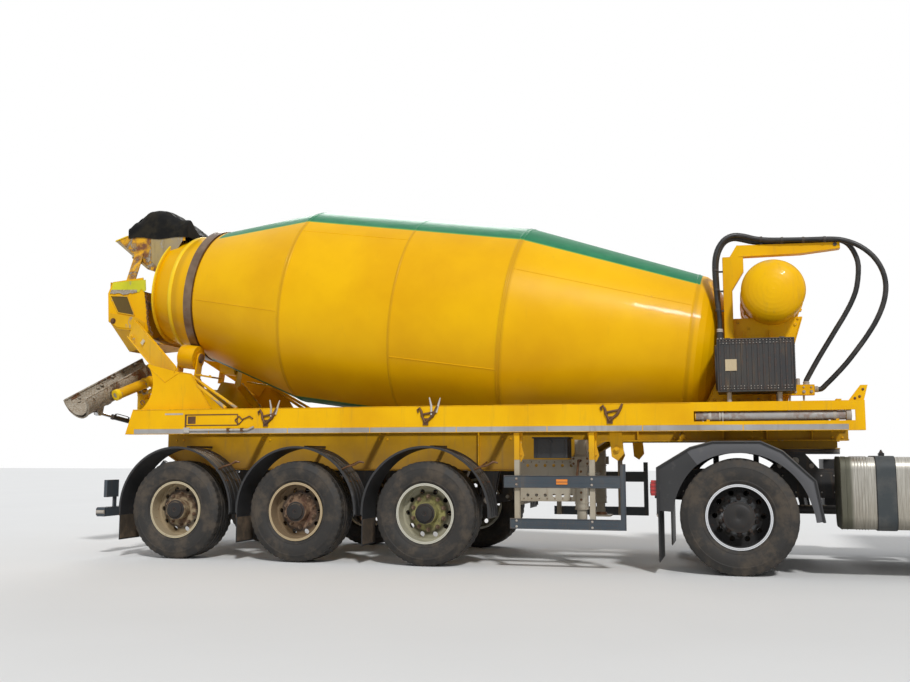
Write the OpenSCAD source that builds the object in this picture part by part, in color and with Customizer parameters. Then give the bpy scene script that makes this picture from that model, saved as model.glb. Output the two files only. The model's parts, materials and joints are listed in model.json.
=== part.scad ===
// Articulated concrete mixer lorry: a three-axle mixer semi-trailer on a two-axle cab-over tractor unit.
// X points forward, Y to the vehicle's left, Z up, in millimetres. Places along X are measured from the
// rear trailer axle, and placed() then puts the origin on the ground under the middle of the lorry.

/* [Overall] */
// Width over the side rails
overall_w = 2500; // [2400:10:2560]
// Running gap between pieces that move on each other
run_gap = 0.3; // [0.2:0.1:0.5]

/* [Trailer wheels] */
// Radius of a trailer tyre
trailer_tyre_r = 522; // [505:1:530]
// Width of a trailer tyre
trailer_tyre_w = 380; // [340:5:390]
// Distance between two trailer axles
axle_gap = 1410; // [1360:5:1440]
// Radius of every rim where the tyre sits
rim_r = 286; // [280:1:292]

/* [Tractor wheels] */
// Radius of a tractor tyre
tractor_tyre_r = 536; // [520:1:540]
// Width of a tractor tyre
tractor_tyre_w = 310; // [290:5:315]
// Gap between the twin tyres
twin_gap = 30; // [20:1:36]
// Drive axle ahead of the rear trailer axle
drive_axle_x = 5854; // [5840:1:5870]
// Drive axle to front axle
wheelbase = 3700; // [3650:10:3750]
// Middle of a front tyre from the centre plane
front_track_y = 1025; // [1015:1:1035]
// Kingpin ahead of the drive axle
kingpin_ahead = 550; // [530:5:570]

/* [Trailer frame] */
// Middle of each main beam from the centre plane
beam_y = 480; // [460:5:500]
// Width of a beam flange
beam_flange_w = 140; // [120:5:150]
// Thickness of beam plates
beam_t = 14; // [10:1:18]
// Height of the beam's underside at the axles
beam_bottom_z = 940; // [920:5:960]
// Height of the beam's top
beam_top_z = 1390; // [1380:1:1400]
// Height of the neck's underside over the tractor
neck_bottom_z = 1245; // [1240:1:1260]
// Height of the coupler plate's underside
coupler_z = 1165; // [1160:1:1175]
// Radius of the coupling pin
coupling_pin_r = 25.4; // [24:0.1:30]

/* [Side rails] */
// Height of the rail's underside
rail_bottom_z = 1330; // [1320:1:1335]
// Height of the rail's top
rail_top_z = 1600; // [1580:5:1620]
// Width of the rail's flanges
rail_flange_w = 100; // [80:5:105]
// Thickness of the rail's plate
rail_t = 12; // [8:1:14]
// Front end of the rails
rail_front_x = 6975; // [6950:5:7000]

/* [Drum] */
// Slope of the drum's axis, mouth up
drum_tilt = 8.15; // [8:0.05:8.3]
// Height of the drum's axis at its datum
drum_axis_z = 2799; // [2795:1:2810]
// Datum of the drum's axis
drum_axis_x = 1470; // [1465:1:1475]
// Largest radius of the drum
drum_r = 1130; // [1110:1:1135]
// Radius at the front cone's small end
drum_front_r = 788; // [770:1:800]
// Radius of the collar at the mouth
drum_mouth_r = 615; // [600:1:625]
// Radius of the mouth's flange
mouth_flange_r = 650; // [640:1:655]
// Thickness of the drum's shell
drum_wall = 8; // [6:1:12]
// Depth of the domed front end
dome_depth = 362; // [340:1:370]
// Radius of the track ring
ring_r = 800; // [796:1:806]
// Width of the track ring
ring_w = 100; // [90:5:110]
// Thickness of the track ring
ring_t = 35; // [28:1:40]
// Radius of a support roller
roller_r = 140; // [130:1:145]
// Length of a support roller
roller_len = 200; // [180:5:210]
// Middle of each support roller from the centre plane
roller_y = 500; // [490:5:520]

/* [Chute] */
// Swivel post behind the rear trailer axle
chute_post_x = -1220; // [-1230:1:-1200]
// Outer radius of the chute's half-round trough
trough_r = 210; // [200:5:215]
// Length of the chute along its slope
trough_len = 1230; // [1200:10:1240]
// Length of the trough behind its swivel axis
trough_back = 140; // [120:5:145]
// Slope of the chute at rest
trough_slope = 28; // [27:0.1:29]
// Angle of the stowed chute from straight back towards the right side
chute_swing = 70; // [60:1:75]

/* [Water tank and hose boom] */
// Radius of the water tank
tank_r = 300; // [280:5:305]
// Half length of the water tank's straight part
tank_half_len = 800; // [700:10:820]
// Height of the water tank's middle
tank_z = 2705; // [2700:5:2730]
// Water tank ahead of the rear trailer axle
tank_x = 6240; // [6230:5:6260]
// Room between the water tank and the top of the hose boom's mast
mast_clear = 95; // [85:5:110]
// Thickness of a hose
hose_d = 50; // [40:1:56]

/* [Tractor frame] */
// Outer face of each frame rail from the centre plane
chassis_y = 435; // [425:5:440]
// Height of the frame's top
chassis_top_z = 960; // [950:5:965]
// Depth of a frame rail
chassis_h = 270; // [250:5:280]
// Width of a frame rail's flanges
chassis_flange = 70; // [60:5:75]
// Thickness of a frame rail
chassis_t = 9; // [7:1:12]
// Rear end of the frame
chassis_rear_x = 5110; // [5100:5:5130]

/* [Fuel tank] */
// Rear end of the fuel tank
fuel_tank_x = 6745; // [6740:5:6760]
// Length of the fuel tank
fuel_tank_len = 1480; // [1300:10:1500]
// Height of the fuel tank
fuel_tank_h = 650; // [600:10:660]
// Depth of the fuel tank across the lorry
fuel_tank_w = 620; // [580:10:640]

/* [Cab] */
// Front face ahead of the front axle
cab_front = 1396; // [1380:1:1400]
// Back of the cab behind the front axle
cab_back = 804; // [790:1:810]
// Half width of the cab
cab_half_w = 1240; // [1220:1:1245]
// Height of the roof
cab_top_z = 3000; // [2950:10:3050]
// Thickness of the cab's walls and doors
cab_wall = 60; // [50:1:70]
// Height of the cab floor's top
cab_floor_z = 1322; // [1315:1:1330]
// Radius of the front wheel arch
arch_r = 720; // [700:1:725]
// Gap round a door
door_gap = 6; // [5:0.5:8]

/* [Hidden] */
$fn = 64;
half_w = overall_w / 2;
axle_xs = [for (i = [0 : 2]) i * axle_gap];
trailer_wheel_y = half_w - trailer_tyre_w / 2 - 2;
kingpin_x = drive_axle_x + kingpin_ahead;
front_axle_x = drive_axle_x + wheelbase;
twin_outer_y = half_w - tractor_tyre_w / 2 - 2;
twin_inner_y = twin_outer_y - tractor_tyre_w - twin_gap;
steer_y = front_track_y - 165;
cab_front_x = front_axle_x + cab_front;
cab_back_x = front_axle_x - cab_back;
beam_rear_x = -560;
beam_front_x = 6900;
neck_rear_x = 4550;
beam_drop_x = 4050;
chassis_front_x = front_axle_x + 1046;
chassis_bottom_z = chassis_top_z - chassis_h;
// Height of the trough's rims over its axis
rim_up = 30;
chute_reach = (trough_len - trough_back) * cos(trough_slope) + rim_up * sin(trough_slope);
chute_tip_x = chute_post_x - chute_reach * cos(chute_swing)
    - sqrt(pow(trough_r, 2) - pow(rim_up, 2)) * sin(chute_swing);
mid_x = (chute_tip_x + cab_front_x) / 2;

yellow = "#f0b400";
grey = "#8a8a86";
dark = "#2c2d2f";
rubber = "#1d1d1d";

// Placing helpers

module placed() {
    translate([-mid_x, 0, 0]) children();
}

module both_sides() {
    children();
    mirror([0, 1, 0]) children();
}

// Box between the ends of three ranges
module block(x, y, z) {
    translate([x[0], y[0], z[0]]) cube([x[1] - x[0], y[1] - y[0], z[1] - z[0]]);
}

// Outline of (x, z) points with its thickness across the lorry
module plate_xz(points, y) {
    translate([0, y[1], 0]) rotate([90, 0, 0]) linear_extrude(y[1] - y[0]) polygon(points);
}

// Outline of (y, z) points with its thickness along the lorry
module plate_yz(points, x) {
    translate([x[0], 0, 0]) rotate([90, 0, 90]) linear_extrude(x[1] - x[0]) polygon(points);
}

module rod_y(r, x, y, z) {
    translate([x, y[0], z]) rotate([-90, 0, 0]) cylinder(r = r, h = y[1] - y[0]);
}

module rod_x(r, x, y, z) {
    translate([x[0], y, z]) rotate([0, 90, 0]) cylinder(r = r, h = x[1] - x[0]);
}

module rod_z(r, x, y, z) {
    translate([x, y, z[0]]) cylinder(r = r, h = z[1] - z[0]);
}

// Straight bar of depth d between two (x, z) points, with its thickness across the lorry
module bar_xz(a, b, d, y) {
    run = norm(b - a);
    n = [-(b[1] - a[1]), b[0] - a[0]] / run * d / 2;
    plate_xz([a + n, a - n, b - n, b + n], y);
}

// Straight bar between two points in space, of depth d and thickness t
module flat_bar(a, b, d, t) {
    v = b - a;
    turn = atan2(v[1], v[0]);
    rise = atan2(v[2], norm([v[0], v[1]]));
    translate(a) rotate([0, -rise, turn]) translate([0, -t / 2, -d / 2]) cube([norm(v), t, d]);
}

module round_bar(a, b, r) {
    v = b - a;
    translate(a) rotate([0, acos(v[2] / norm(v)), atan2(v[1], v[0])]) cylinder(r = r, h = norm(v));
}

// Points of an arc about a centre
function arc(c, r, from, to, steps) =
    [for (i = [0 : steps]) let (t = from + (to - from) * i / steps) c + r * [cos(t), sin(t)]];

function flip(points) = [for (i = [len(points) - 1 : -1 : 0]) points[i]];

// Wheels

tread_part = 0.36;
// Share of the tyre's height and share of its width, from bead to crown
tyre_side = [[0, 0.39], [0.15, 0.455], [0.42, 0.5], [0.7, 0.49], [0.88, 0.455], [0.97, 0.41],
    [1, tread_part]];

// Tyre on its rim: the bead stands inside the rim's lips, and the wall bulges out above them
module tyre_ring(r, w) {
    bead = tyre_side[0][1] * w - run_gap;
    side = concat([[rim_r + run_gap, bead], [rim_lip_r + 2, bead]],
        [for (i = [1 : len(tyre_side) - 1]) [rim_r + tyre_side[i][0] * (r - rim_r),
        tyre_side[i][1] * w]]);
    rotate_extrude($fn = 96) polygon(concat(side, flip([for (p = side) [p[0], -p[1]]])));
}

rim_t = 8;
rim_lip_r = rim_r + 16;
rim_lip_w = 14;

module rim_ring(w) {
    half = tyre_side[0][1] * w;
    inner = rim_r - rim_t;
    rotate_extrude($fn = 96) polygon([[inner, -half - rim_lip_w], [rim_lip_r, -half - rim_lip_w],
        [rim_lip_r, -half], [rim_r, -half], [rim_r, half], [rim_lip_r, half],
        [rim_lip_r, half + rim_lip_w], [inner, half + rim_lip_w]]);
}

// Coned disc that fills the ring, its hub face from z on and its rim side dish lower, with its hand holes
module rim_disc(z, dish, holes) {
    outer = rim_r - rim_t + 1;
    difference() {
        rotate_extrude($fn = 96) polygon([[0, z], [hub_face_r, z], [disc_out_r, z - dish],
            [outer, z - dish],
            [outer, z - dish + rim_disc_t], [disc_out_r + 4, z - dish + rim_disc_t],
            [hub_face_r + 4, z + rim_disc_t],
            [0, z + rim_disc_t]]);
        for (i = [0 : holes - 1])
            rotate(i * 360 / holes) translate([hand_hole_pcr, 0, z - abs(dish) - 1])
                cylinder(r = hand_hole_r, h = rim_disc_t + 2 * abs(dish) + 2);
    }
}

// Bore for the spindle, closed by the hub cap at its outer end
module hub_bore(hub_z, spindle_r) {
    translate([0, 0, hub_z[0] - 1]) cylinder(r = spindle_r + run_gap,
        h = hub_z[1] - hub_z[0] - hub_cap_t);
}

// Rim with the outer side towards +Z: disc_z is the disc's place, hub_z the hub's two ends
module rim(w, disc_z, hub_r, hub_z, spindle_r) {
    difference() {
        union() {
            rim_ring(w);
            rim_disc(disc_z, disc_dish, hand_holes);
            translate([0, 0, hub_z[0]]) cylinder(r = hub_r, h = hub_z[1] - hub_z[0]);
        }
        hub_bore(hub_z, spindle_r);
    }
}

hand_holes = 10;
hub_face_r = 192;
disc_out_r = 254;
disc_dish = 24;
rim_disc_t = 14;
hub_cap_t = 39;
hand_hole_pcr = 222;
hand_hole_r = 26;
trailer_hub_z = [-110, 150];
trailer_disc_z = 20;
spindle_r = 55;
steer_hub_z = [-60, 165];
steer_spindle_r = 40;
twin_step = tractor_tyre_w + twin_gap;
drive_hub_z = [-twin_step / 2 - 70, 120];

// Puts a wheel drawn with its outer side to +Z on an axle end, side 1 is left and -1 right
module on_axle(x, y, z, side) {
    translate([x, side * y, z]) rotate([-90 * side, 0, 0]) children();
}

module trailer_tyre(i, side) {
    color(rubber) placed()
        on_axle(axle_xs[i], trailer_wheel_y, trailer_tyre_r, side) tyre_ring(trailer_tyre_r,
            trailer_tyre_w);
}

module trailer_rim(i, side) {
    color("#a99b7c") placed() on_axle(axle_xs[i], trailer_wheel_y, trailer_tyre_r, side)
        rim(trailer_tyre_w, trailer_disc_z, 110, trailer_hub_z, spindle_r);
}

module drive_tyres(side) {
    color(rubber) placed()
        for (y = [twin_outer_y, twin_inner_y])
            on_axle(drive_axle_x, y, tractor_tyre_r, side) tyre_ring(tractor_tyre_r, tractor_tyre_w);
}

// Both rims of a twin wheel on one hub, their discs turned towards each other
module drive_rims(side) {
    disc = tyre_side[0][1] * tractor_tyre_w;
    color("#b9bcbf") placed() on_axle(drive_axle_x, twin_outer_y, tractor_tyre_r, side) difference() {
        union() {
            rim_ring(tractor_tyre_w);
            rim_disc(-disc, 0, hand_holes);
            translate([0, 0, -twin_step]) rim_ring(tractor_tyre_w);
            translate([0, 0, -twin_step]) rim_disc(disc - rim_disc_t, 0, hand_holes);
            translate([0, 0, drive_hub_z[0]]) cylinder(r = 120, h = drive_hub_z[1] - drive_hub_z[0]);
        }
        hub_bore(drive_hub_z, spindle_r);
    }
}

module steer_tyre(side) {
    color(rubber) placed()
        on_axle(front_axle_x, front_track_y, tractor_tyre_r, side) tyre_ring(tractor_tyre_r,
            tractor_tyre_w);
}

module steer_rim(side) {
    color("#b9bcbf") placed() on_axle(front_axle_x, front_track_y, tractor_tyre_r, side)
        rim(tractor_tyre_w, 70, 100, steer_hub_z, steer_spindle_r);
}

// Semi-trailer frame

outrigger_xs = [-400, 705, 2115, 3500, 4400, 5300, 6050, 6800];
web_bottom = [[beam_rear_x, 1120], [beam_rear_x + 300, beam_bottom_z], [beam_drop_x, beam_bottom_z],
    [neck_rear_x, neck_bottom_z], [beam_front_x, neck_bottom_z]];

module main_beam() {
    web = [beam_y - beam_t / 2, beam_y + beam_t / 2];
    flange = [beam_y - beam_flange_w / 2, beam_y + beam_flange_w / 2];
    plate_xz(concat(web_bottom, [[beam_front_x, beam_top_z], [beam_rear_x, beam_top_z]]), web);
    block([beam_rear_x, beam_front_x], flange, [beam_top_z - beam_t, beam_top_z]);
    // Lower flange: the web's lower edge thickened by beam_t
    plate_xz(concat(web_bottom, flip([for (p = web_bottom) p + [0, beam_t]])), flange);
}

module trailer_frame() {
    inner = beam_y - beam_t / 2;
    color(yellow) placed() {
        both_sides() main_beam();
        for (x = outrigger_xs) {
            block([x - 40, x + 40], [-inner, inner], [neck_bottom_z + 5, rail_bottom_z]);
            both_sides() block([x - 30, x + 30], [beam_y, half_w - rail_t - run_gap],
                [rail_bottom_z + rail_t + run_gap, beam_top_z - beam_t]);
        }
        // Coupler box, rubbing plate and coupling pin
        block([kingpin_x - 400, kingpin_x + 400], [-400, 400],
            [coupler_z + 12, neck_bottom_z + beam_t]);
        rod_z(460, kingpin_x, 0, [coupler_z, coupler_z + 12]);
        rod_z(coupling_pin_r, kingpin_x, 0, [coupler_z - 84, coupler_z]);
        rod_z(coupling_pin_r + 10, kingpin_x, 0, [coupler_z - 84, coupler_z - 66]);
    }
}

rail_rear = [[-632, rail_bottom_z], [-544, rail_top_z]];
pipe_x = [5483, 6861];
pipe_r = 40;
pipe_z = 1467;

module side_rail() {
    plate = [half_w - rail_t, half_w];
    flange = [half_w - rail_flange_w, half_w - rail_t];
    difference() {
        plate_xz([rail_rear[0], rail_rear[1], [rail_front_x, rail_top_z],
            [rail_front_x, rail_bottom_z]], plate);
        block([pipe_x[0] - 10, pipe_x[1] + 30], [half_w - 2 * rail_t, half_w + 1],
            [pipe_z - pipe_r - 8, pipe_z + pipe_r + 8]);
    }
    block([rail_rear[1][0], rail_front_x], flange, [rail_top_z - rail_t, rail_top_z]);
    block([rail_rear[0][0], rail_front_x], flange, [rail_bottom_z, rail_bottom_z + rail_t]);
    block([rail_front_x - rail_t, rail_front_x], flange, [rail_bottom_z + rail_t, rail_top_z - rail_t]);
    // Round tool tube in the rail's front part, on two saddles
    for (x = [pipe_x[0] + 120, pipe_x[1] - 120])
        block([x - 15, x + 15], [half_w - rail_flange_w, half_w - 2 * rail_t],
            [rail_bottom_z + rail_t, pipe_z]);
    rod_x(pipe_r, pipe_x, half_w - rail_t - pipe_r, pipe_z);
    // Upright with its gusset at the front end
    plate_xz([[6843, rail_top_z], [6950, 1740], [7012, 1740], [rail_front_x, rail_top_z]],
        [half_w - 70, half_w - 58]);
    block([6950, 6962], [half_w - rail_flange_w, half_w - 58], [rail_top_z, 1740]);
}

module side_rails() {
    color(yellow) placed() both_sides() side_rail();
}

// Rear stand with the support rollers

module on_drum_axis(s) {
    translate([drum_axis_x, 0, drum_axis_z]) rotate([0, 90 + drum_tilt, 0]) translate([0, 0,
        s]) children();
}

ring_s = -1660;
roller_pin_r = 32;
roller_drop = sqrt(pow(ring_r + roller_r + run_gap, 2) - pow(roller_y, 2));
panel_y = [half_w - 130, half_w - 118];
panel_front = [[94, 1997], [360, rail_top_z], [360, rail_bottom_z + rail_t]];
panel_rear = [[-632, rail_bottom_z + rail_t], [-458, 2116], [-65, 2018]];
bulkhead_x = [-300, -288];
on_beam_z = beam_top_z + run_gap;
bracket_y = [620, 632];
post_bearing_z = [1560, 1830];
chute_post_r = 50;

module rear_stand() {
    color(yellow) placed() {
        both_sides() {
            difference() {
                plate_xz(concat(panel_rear, panel_front), panel_y);
                rod_y(355, -735, [0, half_w], 1890);
                // Notch over the outrigger
                block([outrigger_xs[0] - 32, outrigger_xs[0] + 32], [panel_y[0] - 1, half_w],
                    [rail_bottom_z, beam_top_z - beam_t + run_gap]);
            }
            flat_bar([-140, panel_y[0] - 8, 1960], [-1000, bracket_y[1] + 10, 2590], 230, 16);
            // Plates that carry the funnel and the hopper
            plate_xz([[-1330, 2690], [-1200, 2600], [-790, 2550], [-790, 2670], [-860, 3030],
                [-880, 3200], [-1290, 3165], [-1350, 3030]], bracket_y);
            // Struts from the roller seat down to the main beam
            difference() {
                flat_bar([-240, 640, 1985], [350, beam_y, 1370], 90, 20);
                block([0, 700], [200, 700], [1000, on_beam_z]);
            }
            // Roller cheeks and pins
            on_drum_axis(ring_s) translate([roller_drop, roller_y, 0]) {
                for (z = [-roller_len / 2 - 30, roller_len / 2 + 10])
                    translate([0, 0, z]) roller_cheek();
                translate([0, 0, -roller_len / 2 - 30]) cylinder(r = roller_pin_r, h = roller_len + 60);
            }
        }
        plate_yz([[-panel_y[0], rail_bottom_z + rail_t], [-560, rail_bottom_z + rail_t],
            [-560, on_beam_z],
            [560, on_beam_z], [560, rail_bottom_z + rail_t], [panel_y[0], rail_bottom_z + rail_t],
            [panel_y[0], 1880], [760, 2010], [260, 2010], [160, 1900], [-160, 1900], [-260, 2010],
            [-760, 2010], [-panel_y[0], 1880]], bulkhead_x);
        // Bearing of the chute's post and its carrier
        difference() {
            union() {
                rod_z(chute_post_r + 26, chute_post_x, 0, post_bearing_z);
                block([chute_post_x, bulkhead_x[0]], [-60, 60],
                    [post_bearing_z[0] + 40, post_bearing_z[1] - 40]);
            }
            rod_z(chute_post_r + run_gap, chute_post_x, 0, [post_bearing_z[0] - 1,
                post_bearing_z[1] + 1]);
        }
    }
}

module roller_cheek() {
    cylinder(r = 60, h = 20);
    translate([0, -60, 0]) cube([260, 120, 20]);
}

module drum_roller(side) {
    color(yellow) placed() on_drum_axis(ring_s) translate([roller_drop, side * roller_y,
        0]) difference() {
        translate([0, 0, -roller_len / 2]) cylinder(r = roller_r, h = roller_len);
        translate([0, 0, -roller_len / 2 - 1]) cylinder(r = roller_pin_r + run_gap, h = roller_len + 2);
    }
}

// Drum

rear_cone_s = -333;
front_cone_s = 2149;
dome_s = 4013;
mouth_s = -2230;
ring_seat_r = ring_r - ring_t;
nose_s = dome_s + dome_depth + 25;

// Outer outline as (radius, place along the axis), mouth first
drum_outline = concat([[mouth_flange_r, mouth_s], [mouth_flange_r, mouth_s + 16],
    [drum_mouth_r, mouth_s + 16],
    [ring_seat_r - 12, ring_s - ring_w / 2 - 30], [ring_seat_r, ring_s - ring_w / 2 - 20],
    [ring_seat_r, ring_s + ring_w / 2 + 16], [ring_r - 8, ring_s + ring_w / 2 + 24],
    [drum_r, rear_cone_s], [drum_r, front_cone_s]],
    [for (t = [0 : 10 : 80]) [drum_front_r * cos(t), dome_s + dome_depth * sin(t)]],
    [[0, dome_s + dome_depth]]);

drum_inner = concat([[drum_mouth_r - drum_wall, mouth_s],
    [ring_seat_r - 12 - drum_wall, ring_s - ring_w / 2 - 30],
    [ring_seat_r - drum_wall, ring_s + ring_w / 2 + 24], [drum_r - drum_wall, rear_cone_s],
    [drum_r - drum_wall, front_cone_s]],
    [for (t = [0 : 10 : 80]) [(drum_front_r - drum_wall) * cos(t),
    dome_s + (dome_depth - drum_wall) * sin(t)]],
    [[0, dome_s + dome_depth - drum_wall]]);

module drum_shell() {
    color(yellow) placed() on_drum_axis(0) {
        rotate_extrude($fn = 128) polygon(concat(drum_outline, flip(drum_inner)));
        translate([0, 0, dome_s + dome_depth - 30]) difference() {
            cylinder(r = 200, h = nose_s - dome_s - dome_depth + 30);
            translate([0, 0, -1]) cylinder(r = 150, h = 26);
        }
    }
}

module drum_ring() {
    color("#5a4636") placed() on_drum_axis(ring_s)
        rotate_extrude($fn = 128) polygon([[ring_seat_r, -ring_w / 2], [ring_r, -ring_w / 2],
            [ring_r, ring_w / 2], [ring_seat_r, ring_w / 2]]);
}

// Front stand, drive, cooler box, tank and boom

stand_y = [450, 462];
valve_x = [6300, 6600];
valve_z = [1690, 1790];
gearbox_r = 215;
gearbox_len = 190;
stand_rear = [[5560, rail_top_z], [5855, 2200], [5855, 2480]];
stand_front = [[tank_x + 280, 2480], [tank_x + 190, 2200], [tank_x + 90, beam_top_z],
    [5560, beam_top_z]];

module front_stand() {
    plate_s = nose_s + 70;
    color(yellow) placed() {
        both_sides() difference() {
            plate_xz(concat(stand_rear, stand_front), stand_y);
            rod_y(tank_r + run_gap, tank_x, [0, half_w], tank_z);
        }
        // Plate that holds the gearbox, square to the drum's axis
        difference() {
            on_drum_axis(plate_s) translate([-180, -stand_y[0], 0]) cube([780, 2 * stand_y[0], 16]);
            on_drum_axis(plate_s - 1) cylinder(r = gearbox_r, h = 18);
            block([5600, 6200], [-half_w, half_w], [0, beam_top_z]);
        }
        // Block that both hoses end on
        block(valve_x, [-610, 1 - stand_y[1]], valve_z);
        // Deck between the rails
        difference() {
            block([5480, 6940], [-half_w + rail_flange_w, half_w - rail_flange_w],
                [rail_top_z - 40, rail_top_z - 32]);
            block([5470, 6330], [-stand_y[0], stand_y[0]], [rail_top_z - 41, rail_top_z - 31]);
            both_sides() block([5470, 6400], [stand_y[0], stand_y[1]],
                [rail_top_z - 41, rail_top_z - 31]);
        }
    }
}

module drum_drive() {
    color(grey) placed() on_drum_axis(nose_s + run_gap) {
        cylinder(r = 190, h = 30);
        cylinder(r = 120, h = 70);
        translate([0, 0, 50]) cylinder(r = gearbox_r, h = gearbox_len);
        translate([0, 0, 50 + gearbox_len]) cylinder(r = 140, h = 90);
        translate([0, 0, 140 + gearbox_len]) cylinder(r = 85, h = 170);
    }
}

cooler_x = [5697, 6402];
cooler_y = [-1100, -640];
cooler_z = [1700, 2205];
cooler_ribs = 14;

hose_start_x = 5725;
hose_start_y = [-600, -670];
hose_start_z = cooler_z[1] + 115;

module cooler_box() {
    color("#3a3b3d") placed() {
        block(cooler_x, cooler_y, cooler_z);
        for (i = [0 : cooler_ribs - 1])
            let (x = cooler_x[0] + 20 + i * (cooler_x[1] - cooler_x[0] - 52) / (cooler_ribs - 1))
                block([x, x + 12], [cooler_y[0] - 8, cooler_y[0] + 1],
                    [cooler_z[0] + 20, cooler_z[1] - 20]);
        for (x = [5800, 6260], y = [-1020, -720])
            rod_z(14, x, y, [rail_top_z - 32, cooler_z[0]]);
        // Outlets that the hoses start on
        for (y = hose_start_y)
            rod_z(hose_d / 2 + 8, hose_start_x, y, [cooler_z[1] - 1, hose_start_z]);
    }
}

tank_end = 150;
tank_strap_y = 330;

module water_tank() {
    color(yellow) placed() translate([tank_x, 0, tank_z]) rotate([90, 0, 0]) {
        rotate_extrude($fn = 96) polygon(concat([[0, -tank_half_len - tank_end]],
            [for (t = [80 : -10 : 0]) [tank_r * cos(t), -tank_half_len - tank_end * sin(t)]],
            [for (t = [0 : 10 : 80]) [tank_r * cos(t), tank_half_len + tank_end * sin(t)]],
            [[0, tank_half_len + tank_end]]));
        for (y = [-tank_strap_y, tank_strap_y])
            translate([0, 0, y - strap_w / 2]) cylinder(r = tank_r + strap_t, h = strap_w);
    }
}

mast_top_z = tank_z + tank_r + mast_clear;
boom_end = [[6893, mast_top_z + 34], [6890, mast_top_z + 95]];
mast_y = [-562, -462 - run_gap];
mast_x = [5770, 5855];

module hose_boom() {
    color(yellow) placed() {
        plate_xz([[mast_x[0], cooler_z[1]], [mast_x[1], cooler_z[1]], [mast_x[1], tank_z + 55],
            [5972, mast_top_z - 150],
            [5972, mast_top_z], [mast_x[0], mast_top_z]], mast_y);
        plate_xz([[5840, mast_top_z], [6520, mast_top_z], boom_end[0], boom_end[1],
            [5910, mast_top_z + 115]], mast_y);
    }
}

// Hoses, swept along points chosen by hand

module sweep(points, d, sides) {
    last = len(points) - 1;
    rings = [for (i = [0 : last])
        let (v = points[min(i + 1, last)] - points[max(i - 1, 0)], u = v / norm(v),
            side = cross(u, [0, 1, 0]), a = side / norm(side), b = cross(u, a))
        for (k = [0 : sides - 1]) points[i] + d / 2 * (cos(k * 360 / sides) * a + sin(k * 360 / sides) * b)];
    walls = [for (i = [0 : last - 1], k = [0 : sides - 1])
        let (n = (k + 1) % sides)
        [i * sides + k, i * sides + n, (i + 1) * sides + n, (i + 1) * sides + k]];
    polyhedron(rings, concat([[for (k = [sides - 1 : -1 : 0]) k]], walls,
        [[for (k = [0 : sides - 1]) last * sides + k]]));
}

inner_hose = [[hose_start_x, hose_start_y[0], hose_start_z], [5725, -600, 2480], [5716, -600, 2640],
    [5710, -600, 2800],
    [5706, -600, 2950], [5715, -600, 3070], [5745, -595, 3170], [5800, -585, 3250], [5880, -560, 3285],
    [5970, -530, 3275], [6070, -515, 3250], [6200, -512, 3240], [6400, -512, 3236], [6600, -512, 3234],
    [6780, -512, 3232], [6885, -512, 3226], [6970, -512, 3180], [7030, -512, 3080], [7058, -512, 2950],
    [7035, -512, 2750], [6985, -512, 2610], [6910, -512, 2470], [6830, -512, 2340], [6750, -512, 2210],
    [6670, -512, 2080], [6600, -512, 1960], [6550, -512, 1870], [6530, -512, valve_z[1] + 40],
    [6530, -512, valve_z[1]]];
outer_hose = [[hose_start_x, hose_start_y[1], hose_start_z], [5725, -670, 2480], [5708, -670, 2640],
    [5698, -670, 2800],
    [5692, -668, 2950], [5700, -660, 3080], [5735, -645, 3190], [5800, -630, 3275], [5890, -610, 3310],
    [5990, -590, 3300], [6090, -585, 3270], [6220, -582, 3250], [6400, -582, 3240], [6600, -582, 3232],
    [6800, -582, 3226], [6930, -582, 3205], [7070, -582, 3140], [7190, -582, 3030], [7265, -582, 2890],
    [7290, -582, 2740], [7265, -582, 2580], [7200, -582, 2420], [7110, -582, 2270], [7010, -582, 2130],
    [6900, -582, 1990], [6790, -580, 1870], [6710, -578, 1790], [valve_x[1] + 60, -577, 1745],
    [valve_x[1], -577, 1745]];

module hose_inner() {
    color(rubber) placed() sweep(inner_hose, hose_d, 8);
}

module hose_outer() {
    color(rubber) placed() sweep(outer_hose, hose_d, 8);
}

// Hoppers at the drum's mouth

hopper_y = 420;
hopper_t = 8;
hood_t = 12;
mouth_gap = 45;
hopper_lip = [-1417, 3715];
hopper_throat = [-960, 3345];
spout_up = 360;
spout_r = 185;

// Space that the drum's rim sweeps, with room to spare
module drum_room() {
    on_drum_axis(mouth_s - mouth_gap + hopper_t) cylinder(r = drum_mouth_r + 105, h = 700);
}

module feed_hopper() {
    wall_s = mouth_s - mouth_gap;
    color("#d9a514") placed() {
        difference() {
            union() {
                both_sides() plate_xz([hopper_lip, [-1245, 3772], [-462, 3790], [-462, 3640],
                    [-700, 3290],
                    [-760, 3270], hopper_throat], [hopper_y - hopper_t, hopper_y]);
                bar_xz(hopper_lip, hopper_throat, hopper_t, [-hopper_y + hopper_t,
                    hopper_y - hopper_t]);
                bar_xz(hopper_throat, [-752, 3285], hopper_t, [-hopper_y + hopper_t,
                    hopper_y - hopper_t]);
            }
            drum_room();
        }
        difference() {
            union() {
                intersection() {
                    on_drum_axis(wall_s) translate([-640, -hopper_y, 0]) cube([480, 2 * hopper_y,
                        hopper_t]);
                    block([-1500, 0], [-hopper_y, hopper_y], [3200, 3760]);
                }
                on_drum_axis(wall_s) translate([-spout_up, 0, 0]) cylinder(r = spout_r, h = 190);
            }
            on_drum_axis(wall_s - 1) translate([-spout_up, 0, 0]) cylinder(r = spout_r - hopper_t,
                h = 200);
        }
        // Feet that stand on the bracket plates of the rear stand
        both_sides() difference() {
            flat_bar([-1080, bracket_y[0] - 6 - run_gap, 3100], [-1080, hopper_y - 10, 3560], 12, 120);
            block([-1400, -600], [0, hopper_y - hopper_t / 2], [3000, 4000]);
        }
    }
}

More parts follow.
